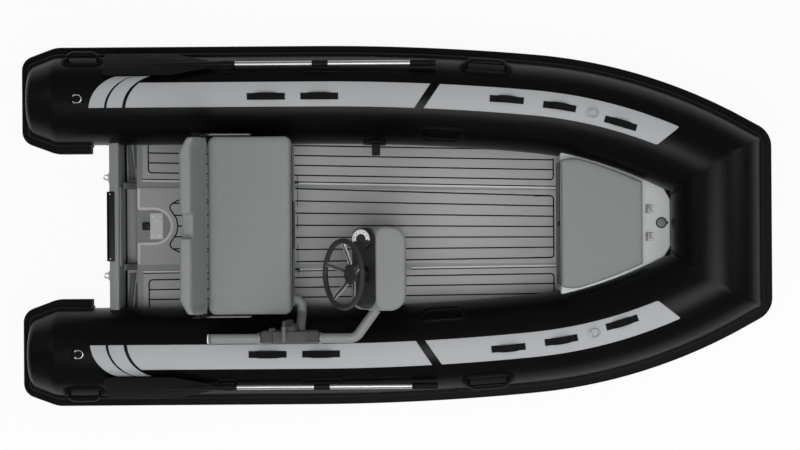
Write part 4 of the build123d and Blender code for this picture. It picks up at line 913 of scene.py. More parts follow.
@dataclass
class SubAssembly:
    """Pieces that belong together; each rides on a body."""

    grower: Grower

    def add(self, piece: Solid, finish: Finish, *nodes: str, body: str = BOAT) -> Solid:
        """Dress a piece and hand it to the frame.

        Args:
            piece: the finished mesh.
            finish: its material.
            nodes: the CAD nodes that it stands for.
            body: what it rides on.

        Returns:
            The piece.
        """
        piece.data.materials.clear()
        piece.data.materials.append(finish.material())
        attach(piece, body)
        if nodes:
            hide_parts(*nodes)
        log.info("%s: %s, %d faces", type(self).__name__, piece.name, len(piece.data.polygons))
        return piece

    def upholster(
        self, start: Solid, plan: Sequence[Point], low: float, voxel: float, cap: float, fill: float,
        piping: "Piping", body: str,
    ) -> None:
        """Stuff a cushion on its board, and sew a welt and a row of stitches round it.

        Args:
            start: the closed form, named after its CAD node with _pad.
            plan: its outline.
            low: the board's top, below which nothing swells.
            voxel: size of the remesh.
            cap: how far a point may move.
            fill: how tight the cushion is, from 0 to 1; not used.
            piping: the welt and the stitches.
            body: what it rides on.
        """
        pad, node = stuffed(start, voxel, cap), start.name.removesuffix("_pad")
        for vert in pad.data.vertices:
            vert.co.z = max(vert.co.z, low)
        self.add(pad, VINYL, node, body=body)
        path = []
        for (a, b), (c, d) in zip(plan, [*plan[1:], plan[0]]):
            count = max(1, int(math.hypot(c - a, d - b) / 0.02))
            path += [Vector((a + (c - a) * k / count, b + (d - b) * k / count, low + piping.height))
                     for k in range(count)]
        line = on_surface(pad, path, piping.lift)
        self.add(self.grower.bar(f"{node}_welt", VINYL, [line], piping.radius, closed=True, sides=8), VINYL,
                 body=body)
        line = on_surface(pad, [point + Vector((0, 0, piping.rise)) for point in path], 0.0002)
        self.add(self.grower.stitches(f"{node}_stitches", THREAD, [line], closed=True), THREAD, body=body)

    def both(self, piece: Solid, finish: Finish, port: Sequence[str] = (),
             starboard: Sequence[str] = ()) -> None:
        """Add a port piece and its starboard twin."""
        other = twin(piece, piece.name.replace("port", "starboard"))
        self.add(piece, finish, *port)
        self.add(other, finish, *starboard)


@dataclass
class Tubes(SubAssembly):
    """The three buoyancy tubes with their seam tapes and end caps."""

    around: int = 96
    tape_width: float = 0.020
    tape_lift: float = 0.0012
    cap_edge: float = 0.050
    tape_places: Point = (-1.470, -0.120)

    def build(self) -> None:
        """Build the side tubes, the bow tube and the tapes."""
        self.both(self.side_tube(), TUBE_CLOTH, ["tube_port"], ["tube_starboard"])
        self.add(self.bow_tube(), TUBE_CLOTH, "tube_bow")
        for name, piece in self.tapes():
            piece.name = name
            self.both(piece, TUBE_CLOTH)

    def side_tube(self) -> Solid:
        """The port tube, from its cone to the mitre."""
        front = PATH.cone_back + PATH.cone_length
        profile = [(PATH.cone_back, 1e-5), (PATH.cone_back, 0.08)]
        profile += rounded(
            [(PATH.cone_back, 0.08), (PATH.cone_back, PATH.cone_end), (front, PATH.radius, 0.10),
             (front + 0.10, PATH.radius)],
            self.cap_edge, 8, closed=False,
        )[1:]
        angles = turns(self.around)
        rings = [
            [PATH.skin(x - PATH.bend_x, angle, 0, radius) for angle in angles] for x, radius in profile
        ]
        start = front + 0.10 - PATH.bend_x
        ends = [PATH.to_mitre(angle) for angle in angles]
        count = 96
        for k in range(1, count + 1):
            share = k / count
            rings.append([
                PATH.skin(start + (end - start) * share, angle) for angle, end in zip(angles, ends)
            ])
        return open_skin("tube_skin_port", rings, 50)

    def bow_tube(self) -> Solid:
        """The straight tube across the bow."""
        hub = PATH.mitre
        rings = []
        edge = []
        for turn in turns(self.around):
            offset = Vector((math.cos(turn), 0, math.sin(turn))) * PATH.radius
            reach = -(offset.dot(hub.z)) / hub.z.y
            edge.append((hub.origin.x + offset.x, hub.origin.y + reach, hub.origin.z + offset.z))
        for share in shares(24):
            rings.append([Vector((x, y * (1 - 2 * share), z)) for x, y, z in edge])
        return open_skin("tube_skin_bow", rings, 50)

    def tapes(self) -> list[tuple[str, Solid]]:
        """Seam tapes at the cone's hip, at the aft seam and along the mitre."""
        angles = turns(self.around)
        tapes = []
        for x in self.tape_places:
            s = x - PATH.bend_x if x < PATH.bend_x else PATH.at_x(x)
            rows = [(-self.tape_width, 0.0), (-self.tape_width, self.tape_lift),
                    (self.tape_width, self.tape_lift), (self.tape_width, 0.0)]
            rings = [[PATH.skin(s + a, angle, lift) for angle in angles] for a, lift in rows]
            tapes.append((f"seam_tape_port_{len(tapes) + 1}", open_skin("tape", rings, 30)))
        hub = PATH.mitre
        rings = [
            [PATH.skin(PATH.to_mitre(angle) - self.tape_width, angle, lift) for angle in angles]
            for lift in (0.0, self.tape_lift)
        ]
        rings.append([PATH.skin(PATH.to_mitre(angle), angle, self.tape_lift) for angle in angles])
        for back, lift in ((self.tape_width, self.tape_lift), (self.tape_width, 0.0)):
            row = []
            for angle in angles:
                spot = PATH.skin(PATH.to_mitre(angle), angle) - hub.origin
                radial = Vector((spot.x, 0, spot.z)).normalized()
                row.append(hub.origin + spot + radial * lift - Vector((0, back, 0)))
            rings.append(row)
        tapes.append(("seam_tape_port_mitre", open_skin("tape", rings, 30)))
        return tapes


@dataclass
class Strake(SubAssembly):
    """Rubbing strake: a flat band with a raised rib, swept round both tubes and the bow."""

    band_half: float = 0.062
    band: float = 0.010
    rib_half: float = 0.031
    rib: float = 0.046
    notch: float = 0.005
    corner: float = 0.122
    hip: float = 0.100
    end: float = 0.030
    tail_x: float = -1.566

    def section(self) -> list[Point]:
        """Outward and upward distances from the tube's skin line, closed."""
        upper = [
            (-0.012, self.band_half, 0.001), (0.002, self.band_half, 0.003),
            (self.band, self.band_half - 0.014, 0.006), (self.band, self.rib_half + 0.009, 0.002),
            (self.band - self.notch, self.rib_half + 0.006, 0.002),
            (self.band - self.notch, self.rib_half, 0.001),
            (self.rib - 0.004, self.rib_half - 0.002, 0.010), (self.rib, self.rib_half - 0.014, 0.010),
        ]
        return rounded([*upper, *[(a, -b, r) for a, b, r in reversed(upper)]], 0.0, 4)

    def stations(self) -> tuple[list[Axes], list[Axes]]:
        """The port run's stations and the bow run's: y outward, z up."""
        aft: list[Axes] = []
        x, y, heading = self.tail_x, PATH.axis_y - PATH.radius, math.pi
        cone = math.atan2(PATH.radius - PATH.cone_end, PATH.cone_length)
        hip = self.hip * math.tan(cone / 2)
        end = self.end * math.tan((math.pi / 2 - cone) / 2)
        slope = math.hypot(PATH.cone_length, PATH.radius - PATH.cone_end) - hip - end
        front = PATH.cone_back + PATH.cone_length
        legs = [
            (self.tail_x - front - hip, 0), (self.hip, cone), (slope, 0), (self.end, math.pi / 2 - cone),
            (2 * (PATH.cone_end - end), 0), (self.end, math.pi / 2 - cone), (slope, 0), (self.hip, cone),
            (PATH.bend_x - front - hip, 0),
        ]
        for size, turn in legs:
            steps = 8 if turn else max(2, int(size / 0.05))
            hub = Vector((x + size * math.sin(heading), y - size * math.cos(heading)))
            for k in range(steps):
                share = k / steps
                angle = heading - turn * share
                if turn:
                    spot = hub + Vector((-math.sin(angle), math.cos(angle))) * size
                else:
                    spot = Vector((x, y)) + Vector((math.cos(heading), math.sin(heading))) * size * share
                aft.append(self._level_station(spot, angle))
            if turn:
                heading -= turn
                x, y = hub.x - size * math.sin(heading), hub.y + size * math.cos(heading)
            else:
                x, y = x + size * math.cos(heading), y + size * math.sin(heading)
        end_axes, across = PATH.axes(PATH.length), -PORT
        turn = end_axes.x.angle(across)
        reach = PATH.radius + self.rib - self.corner
        bisector = (end_axes.x - across).normalized()
        hub = end_axes.origin + bisector * (reach / math.cos(turn / 2))
        overrun = (hub - end_axes.origin).dot(end_axes.x)
        side = [self._station(PATH.length * share) for share in shares(60)[:-1]]
        side += [self._station(PATH.length + overrun * share) for share in shares(3)]
        pivot = end_axes.x.cross(across).normalized()
        last = side[-1]
        corner = []
        for share in shares(16)[1:]:
            spin = Matrix.Rotation(turn * share, 3, pivot)
            corner.append(Axes(hub + spin @ (last.origin - hub), spin @ last.x, spin @ last.y, spin @ last.z))
        landing = corner[-1]
        bow = [
            Axes(landing.origin + Vector((0, -2 * landing.origin.y * share, 0)), landing.x, landing.y,
                 landing.z)
            for share in shares(8)
        ]
        return aft + side + corner, bow

    def _level_station(self, spot: Vector, angle: float) -> Axes:
        """A station of the level run round the cone."""
        ahead = Vector((math.cos(angle), math.sin(angle), 0))
        return Axes(Vector((spot.x, spot.y, PATH.axis_z)), ahead, Vector((-ahead.y, ahead.x, 0)), UP)

    def _station(self, s: float) -> Axes:
        """A station beside the bent tube, on its outer skin line."""
        here = PATH.skin(s, math.pi / 2)
        axes = PATH.axes(s)
        out = (here - axes.origin).normalized()
        return Axes(here, axes.x, out, axes.x.cross(out))

    def build(self) -> None:
        """Build the side runs and the bow run."""
        port, bow = self.stations()
        section = self.section()
        piece = sweep("rubbing_strake_port", section, port, crease=30)
        self.both(piece, STRAKE_RUBBER, ["strake_port"], ["strake_starboard"])
        self.add(sweep("rubbing_strake_bow", section, bow, crease=30), STRAKE_RUBBER, "strake_bow")


@dataclass
class TubePanels(SubAssembly):
    """Pale panels and curved stripes glued on the crowns."""

    thickness: float = 0.003
    inner: float = math.radians(-13)
    outer: float = math.radians(19)
    stripe_outer: float = math.radians(28)
    arc_radius: float = 0.190
    arc_y: float = 0.572
    rear_arc_x: float = -1.169
    stripes: tuple[Point, ...] = ((-1.354, -1.275), (-1.264, -1.185))
    rear_cut: tuple[Point, Point] = ((0.062, 0.540), (0.208, 0.760))
    front_cut: tuple[Point, Point] = ((0.108, 0.540), (0.258, 0.760))
    front_end: tuple[Point, Point] = ((1.240, 0.345), (1.440, 0.505))
    corner: float = 0.010

    def arc(self, x: float) -> Callable[[Vector], float]:
        """Signed distance ahead of a rounded end whose arc is centred at x."""
        return lambda spot: spot.x - x + math.sqrt(max(0.0,
                                                       self.arc_radius ** 2 - (spot.y - self.arc_y) ** 2))

    @staticmethod
    def line(cut: tuple[Point, Point]) -> Callable[[Vector], float]:
        """Signed distance ahead of a slanted cut."""
        (x0, y0), (x1, y1) = cut
        return lambda spot: spot.x - (x0 + (spot.y - y0) * (x1 - x0) / (y1 - y0))

    def crossing(self, edge: Callable[[Vector], float], angle: float) -> float:
        """Where the line at an angle crosses an edge, as a distance along the axis."""
        low, high = -1.4, PATH.length
        for _ in range(34):
            middle = (low + high) / 2
            ahead = edge(PATH.skin(middle, angle, self.thickness)) > 0
            low, high = (low, middle) if ahead else (middle, high)
        return low

    def panel(
        self, name: str, aft: Callable[[Vector], float], fore: Callable[[Vector], float], outer: float,
        soft: tuple[bool, bool], columns: int,
    ) -> Solid:
        """A thin panel between two edges.

        Args:
            name: the piece's name.
            aft: its aft edge.
            fore: its forward edge.
            outer: angle of its outer edge.
            soft: whether the aft and the forward corners are rounded.
            columns: how many parts it has along the tube.

        Returns:
            The panel, on the port tube.
        """
        rim = 0.0016 / PATH.radius
        reach = self.corner / PATH.radius
        angles = [self.inner, self.inner + rim, self.inner + reach * 0.3, self.inner + reach * 0.6,
                  self.inner + reach]
        angles += [self.inner + reach + (outer - self.inner - 2 * reach) * share
                   for share in shares(14)[1:-1]]
        angles += [outer - reach, outer - reach * 0.6, outer - reach * 0.3, outer - rim, outer]
        rows = []
        for row, angle in enumerate(angles):
            from_edge = min(angle - self.inner, outer - angle) * PATH.radius
            gap = max(0.0, self.corner - from_edge)
            pull = self.corner - math.sqrt(max(0.0, self.corner ** 2 - gap ** 2))
            start = self.crossing(aft, angle) + (pull if soft[0] else 0.0)
            stop = self.crossing(fore, angle) - (pull if soft[1] else 0.0)
            spots = [start, start + 0.0016]
            spots += [start + 0.0016 + (stop - start - 0.0032) * share for share in shares(columns)[1:-1]]
            spots += [stop - 0.0016, stop]
            border = row in (0, len(angles) - 1)
            rows.append([
                PATH.skin(s, angle, 0.0002 if border or k in (0, len(spots) - 1) else self.thickness)
                for k, s in enumerate(spots)
            ])
        return self.outward(loft(name, rows, False, False, 30))

    @staticmethod
    def outward(piece: Solid) -> Solid:
        """Turn an open skin so that most of it faces up."""
        if sum(face.normal.z * face.area for face in piece.data.polygons) < 0:
            piece.data.flip_normals()
        return piece

    def build(self) -> None:
        """Build the two panels and two stripes of each side as one piece."""
        square, front = (False, False), (False, True)
        rear_arc, cuts = self.arc(self.rear_arc_x), [self.line(cut) for cut in (self.rear_cut,
                                                                                self.front_cut)]
        parts = [
            self.panel("rear", rear_arc, cuts[0], self.outer, square, 40),
            self.panel("front", cuts[1], self.line(self.front_end), self.outer, front, 60),
        ]
        for aft, fore in self.stripes:
            parts.append(self.panel("stripe", self.arc(aft), self.arc(fore), self.stripe_outer, square, 10))
        port = joined("pale_panels_port", parts, 30)
        other = twin(port, "pale_panels_starboard")
        self.add(port, PANEL_CLOTH, "tube_patches")
        self.add(other, PANEL_CLOTH, "tube_patches")


@dataclass
class TubeFittings(SubAssembly):
    """Webbing loops, lifting rings, carry handles and the thwart socket."""

    straps: tuple[tuple[float, float, float, float], ...] = (
        (-0.652, 0, 0.190, 0.034), (-0.384, 0, 0.190, 0.034), (0.560, 4, 0.172, 0.034),
        (0.830, 2, 0.172, 0.034), (1.148, -2, 0.172, 0.034),
    )
    aft_ring: Point = (-1.605, -1.6)
    front_ring: Point = (0.997, 1.2)
    outer_handles: tuple[tuple[float, float, float, float], ...] = (
        (-1.588, 58, 0.224, 0.096), (0.446, 50, 0.268, 0.096),
    )
    inner_handle: tuple[float, float, float, float] = (0.240, -48, 0.256, 0.096)
    panel: float = 0.003

    def build(self) -> None:
        """Build each kind of fitting, port then starboard."""
        self.loops()
        self.rings()
        self.handles()
        self.thwart_socket()

    def loops(self) -> None:
        """Webbing loops with stitched feet."""
        loops, rows = [], []
        for x, angle, length, width in self.straps:
            place = PATH.wrap(x, angle)
            half, foot = length / 2, 0.034
            line = [(-half, 0.0), (-half + foot, 0.0), (-half + foot + 0.022, 0.016), (0, 0.0195),
                    (half - foot - 0.022, 0.016), (half - foot, 0.0), (half, 0.0)]
            path = [line[0], *rounded(line, 0.020, 4, closed=False)[1:-1], line[-1]]
            rings = []
            for a, lift in path:
                base = self.panel + 0.0004 + lift
                edge = [(-width / 2, 0.0), (-width / 2 + 0.001, 0.0028), (0.0, 0.0034),
                        (width / 2 - 0.001, 0.0028), (width / 2, 0.0), (0.0, -0.0001)]
                rings.append([place(a, b, base + up) for b, up in edge])
            loops.append(loft("loop", rings, crease=45))
            for end in (-1, 1):
                a0, a1 = end * (half - 0.004), end * (half - foot + 0.004)
                top = self.panel + 0.0042
                box = [(a0, -0.012), (a0, 0.012), (a1, 0.012), (a1, -0.012), (a0, -0.012), (a1, 0.012)]
                path3 = []
                for (a, b), (c, d) in zip(box, box[1:]):
                    path3 += [place(a + (c - a) * k / 6, b + (d - b) * k / 6, top - 0.0003) for k in range(6)]
                rows.append(path3)
        webs = joined("webbing_loops_port", loops, 45)
        self.both(webs, WEBBING, ["strap_loops_port"], ["strap_loops_starboard"])
        stitches = self.grower.stitches("loop_stitches_port", THREAD_BLACK, rows, pitch=0.004, length=0.003)
        self.both(stitches, THREAD_BLACK)

    def rings(self) -> None:
        """D-rings on round pads, held by a short band."""
        for end, (x, degrees), lift, patch, metal in (
            ("aft", self.aft_ring, 0.0, TUBE_CLOTH, STEEL),
            ("front", self.front_ring, self.panel, PANEL_CLOTH, PALE_RING),
        ):
            s = PATH.at_x(x)
            place = PATH.wrap(x, degrees)
            top = 0.004 + lift
            pad = plate("pad", circle(0.034, 40), place, lift - 0.001, top, 0, 0.0015, 2, domed=6)
            seat = PATH.seat(s, math.radians(degrees), 0)
            arm, bend, height = 0.010, 0.019, lift + 0.009
            line = [(-arm, bend), (arm, bend)]
            line += [(arm + bend * math.sin(t),
                      bend * math.cos(t)) for t in [math.pi * i / 12 for i in range(1, 12)]]
            line += [(arm, -bend), (-arm, -bend), (-arm, bend)]
            wire = [seat(a, b, height) for a, b in line]
            band = plate(
                "band", rectangle(-0.020, -0.006, -0.013, 0.013, 0.002, 3),
                seat, top - 0.003, height + 0.005, 0, 0.003, 3,
            )
            self.both(joined(f"ring_pad_{end}_port", [pad, band]), patch)
            bar = self.grower.bar(f"lifting_ring_{end}_port", metal, [wire], 0.0035, 0.004, 12)
            self.both(bar, metal, ["lifting_rings_port"], ["lifting_rings_starboard"])

    def handles(self) -> None:
        """Oval rubber bases with a bridging grip."""
        parts = []
        for x, degrees, length, width in (*self.outer_handles, self.inner_handle):
            place = PATH.wrap(x, degrees)
            base = plate("base", oval(length, width, 10), place, -0.004, 0.005, 0, 0.003, 3, domed=8,
                         rise=0.001)
            rim = loft("rim", [
                [place(a, b, up) for a, b in inset(oval(length, width, 10), back)]
                for back,
                up in ((0.006, 0.003), (0.008, 0.008), (0.012, 0.010), (0.016, 0.008), (0.018, 0.003))
            ], caps=False, crease=50)
            seat = PATH.seat(PATH.at_x(x), math.radians(degrees))
            half, thick = length / 2 - 0.034, 0.0065
            low = -half ** 2 / (2 * 2.08) if x > 0 else 0.0
            line = rounded(
                [(-half, low + 0.002), (-half + 0.004, 0.034), (-half + 0.030, 0.045), (half - 0.030, 0.045),
                 (half - 0.004, 0.034), (half, low + 0.002)], 0.016, 5, closed=False,
            )
            rings = []
            for k, (a, c) in enumerate(line):
                before, after = line[max(0, k - 1)], line[min(len(line) - 1, k + 1)]
                ahead = Vector((after[0] - before[0], after[1] - before[1])).normalized()
                side = Vector((-ahead.y, ahead.x))
                share = min(k, len(line) - 1 - k) / (len(line) / 2)
                wide = 0.020 - 0.007 * min(1.0, share * 1.6)
                rings.append([
                    seat(a + side.x * thick * math.sin(t), wide * math.cos(t),
                         c + side.y * thick * math.sin(t))
                    for t in turns(16)
                ])
            grip = loft("grip", rings, crease=50)
            bosses = [
                lathe("boss", [(0.0, 0.016), (0.008, 0.0155), (0.013, 0.012), (0.016, 0.002)],
                      PATH.seat(PATH.at_x(x + end * (length / 2 - 0.026)), math.radians(degrees)), 20)
                for end in (-1, 1)
            ]
            parts += [base, rim, grip, *bosses]
        whole = joined("carry_handle_set_port", parts, 45)
        self.both(whole, STRAKE_RUBBER, ["carry_handles_port"], ["carry_handles_starboard"])

    def thwart_socket(self) -> None:
        """The T-shaped socket tongue on the port tube's inner side."""
        x, half, inner, outer = -0.105, 0.021, 0.353, PATH.axis_y - PATH.radius + 0.020
        seat = PATH.seat(PATH.at_x(x), math.radians(-75))
        outline = rectangle(-0.058, 0.058, -0.024, 0.024, 0.008, 4)
        pad = plate("pad", outline, seat, -0.012, 0.010, 0, 0.004)
        tongue = plate(
            "tongue", rectangle(x - half, x + half, inner, outer, 0.005, 4),
            level, 0.362, 0.384, 0.002, 0.004,
        )
        ribs = [
            plate("rib", rectangle(x - 0.016, x + 0.016, y - 0.003, y + 0.003, 0.002, 2), level, 0.383,
                  0.3858, 0, 0.001, 1)
            for y in (0.366, 0.384, 0.402)
        ]
        self.add(joined("thwart_socket_tongue", [pad, tongue, *ribs]), PADDLE_BLACK, "thwart_socket")


@dataclass
class Paddles(SubAssembly):
    """Two stowed paddles and the saddles that hold them."""

    angle: float = math.radians(41)
    lift: float = 0.026
    blade_x: float = -1.470
    blade_length: float = 0.550
    blade_half: float = 0.075
    shaft: float = 0.014
    grip: float = 0.019
    grip_length: float = 0.130
    end_x: float = 0.200
    clips: tuple[tuple[float, float, float], ...] = ((-0.859, 0.106, 0.024), (-0.383, 0.200, 0.040))

    def build(self) -> None:
        """Build blade, shaft, grip and clips."""
        seat = PATH.seat(self.blade_x - PATH.bend_x, self.angle, self.lift)
        length = self.end_x - self.blade_x
        corners = [
            (0, -self.blade_half, 0.020), (self.blade_length * 0.62, -self.blade_half, 0.10),
            (self.blade_length, -0.018, 0.05), (self.blade_length, 0.018, 0.05),
            (self.blade_length * 0.62, self.blade_half, 0.10), (0, self.blade_half, 0.020),
        ]
        outline = rounded(corners, 0.01, 6)
        blade = plate("blade", outline, seat, -0.005, 0.005, 0.003, 0.003, 3)
        rib = lathe(
            "rib", [(0.0, 0.0), (0.0035, 0.01), (0.008, 0.20), (0.0125, 0.36), (0.0165, 0.50), (0.0165, 0.56),
                    (0.0, 0.561)],
            Axes(seat(0.10, 0, 0), seat.y, seat.z, seat.x), 20,
        )
        self.both(joined("paddle_blade_port", [blade, rib]), PADDLE_BLACK, ["paddle_blades"],
                  ["paddle_blades"])
        tube = self.grower.bar(
            "paddle_shaft_port", ALUMINIUM, [[seat(self.blade_length, 0, 0), seat(length - 0.02, 0, 0)]],
            self.shaft,
        )
        self.both(tube, ALUMINIUM, ["paddle_shafts"], ["paddle_shafts"])
        start = length - self.grip_length
        profile = [(0.0, start), (0.0155, start), (0.0165, start + 0.004)]
        for k in range(1, 9):
            at = start + 0.004 + k * (self.grip_length - 0.016) / 9
            profile += [(0.0172, at - 0.004), (self.grip - 0.0002, at), (0.0172, at + 0.004)]
        profile += [(0.0188, length - 0.006), (0.0165, length - 0.001), (0.0, length)]
        grip = lathe("paddle_grip_port", profile, Axes(seat.origin, seat.y, seat.z, seat.x), 28)
        self.both(grip, PADDLE_BLACK, ["paddle_grips"], ["paddle_grips"])
        parts = []
        for x, size, reach in self.clips:
            place = PATH.wrap(x, math.degrees(self.angle))
            here = PATH.seat(PATH.at_x(x), self.angle, 0)
            foot = rectangle(-size / 2, size / 2, -0.034, 0.034, 0.018, 5
            )
            base = plate("foot", foot, place, -0.003, 0.006, 0, 0.003, 3, domed=6)
            block = plate(
                "block", inset(foot, 0.012), here, -0.002, self.lift - 0.004, 0,
                0.006,
            )
            rings = []
            for a in (-reach, 0.001 - reach, reach - 0.001, reach):
                size_r = self.shaft + (0.0035 if abs(a) == reach else 0.005)
                rings.append([here(a, size_r * math.cos(t),
                                   self.lift + size_r * math.sin(t)) for t in turns(28)])
            band = loft("band", rings, crease=50)
            parts += [base, block, band]
        self.both(joined("paddle_clip_port", parts), PADDLE_BLACK, ["paddle_clips"], ["paddle_clips"])


# ------------------------------------------------------------------ hull and stern
@dataclass
class Hull(SubAssembly):
    """Moulded V bottom with its stern well, and the eye on the stem."""

    keel: tuple[Point, ...] = (
        (-1.421, -0.130), (0.0, -0.130), (0.650, -0.122), (1.000, -0.090), (1.250, -0.025), (1.430, 0.070),
        (1.560, 0.200),
    )
    chine_inset: float = 0.086
    chine_z: float = 0.052
    tuck: float = 0.040
    deck_z: float = 0.185
    well_front: float = -1.356
    well_floor: float = 0.120
    eye: tuple[float, float] = (1.412, 0.030)

    def keel_z(self, x: float) -> float:
        """The keel's height at x, between its stations."""
        for (x0, z0), (x1, z1) in zip(self.keel, self.keel[1:]):
            if x <= x1:
                return z0 + (z1 - z0) * (x - x0) / (x1 - x0)
        return self.keel[-1][1]

    def section(self, x: float) -> Ring:
        """Half section from the keel out to the chine and up into the tube."""
        axis = PATH.axes(min(PATH.at_x(x), PATH.length)).origin
        rise = axis.z - PATH.axis_z
        chine = (axis.y - self.chine_inset, self.chine_z + rise * 0.9)
        rail = max(self.deck_z, chine[1] + 0.060)
        keel = self.keel_z(x)
        low = min(0.020, (chine[1] - keel) * 0.3)
        half = rounded([
            (0.0, keel), (0.020, keel + low * 0.05, 0.0), (chine[0] * 0.5, keel + (chine[1] - keel) * 0.5),
            (chine[0] * 0.5 + 0.012, keel + (chine[1] - keel) * 0.5 + 0.001),
            (chine[0] - 0.030, keel + (chine[1] - keel) * 0.93), (chine[0], chine[1] - 0.001, 0.004),
            (chine[0] + 0.018, chine[1] + 0.038, 0.02), (chine[0] - self.tuck, rail),
        ], 0.0, 3, closed=False)
        return [Vector((x, y, z)) for y, z in half]

    def build(self) -> None:
        """Build the bottom, the well's liner and the bow eye."""
        stations = [self.keel[0][0] + (self.keel[-1][0] - 0.002 - self.keel[0][0]) * share
                    for share in shares(80)]
        halves = [self.section(x) for x in stations]
        rings = [[*reversed([Vector((p.x, -p.y, p.z)) for p in half]), *half[1:]] for half in halves]
        work = bmesh.new()
        add_loft(work, rings, False, False)
        add_loft(work, [[ring[0], ring[-1]] for ring in rings if ring[0].x >= self.well_front], False, False)
        floor = [Vector((x, y, self.well_floor)) for x, y in (
            (-1.421, -0.55), (-1.421, 0.55), (self.well_front, 0.55), (self.well_front, -0.55))]
        wall = [Vector((self.well_front, y, z)) for y, z in (
            (-0.55, self.well_floor), (0.55, self.well_floor), (0.55, self.deck_z), (-0.55, self.deck_z))]
        for corners in (floor, wall, rings[0], rings[-1]):
            work.faces.new([work.verts.new(point) for point in corners])
        self.add(make("moulded_hull", work, 28), HULL_COAT, "hull")
        self.build_eye()

    def build_eye(self) -> None:
        """Stainless eye on a curved base plate."""
        x, z = self.eye
        ring = [Vector((x + 0.0145 * math.cos(t), 0, z + 0.0145 * math.sin(t))) for t in turns(24)]
        eye = self.grower.bar("bow_eye_ring", STEEL, [ring], 0.0048, closed=True, sides=14)
        lean = math.radians(28)
        axes = Axes(Vector((x - 0.012, 0, z + 0.016)), Vector((math.cos(lean), 0, math.sin(lean))),
                    PORT, Vector((-math.sin(lean), 0, math.cos(lean))))
        web = plate("web",
                    rounded([(-0.010, -0.024), (0.004, -0.018), (0.004, 0.018), (-0.010, 0.024)], 0.004, 4),
                    lambda a, b, c: axes(a, c, b), -0.005, 0.005, 0.0015, 0.0015, 2)
        self.add(joined("stem_eye", [eye, web]), STEEL, "bow_eye")


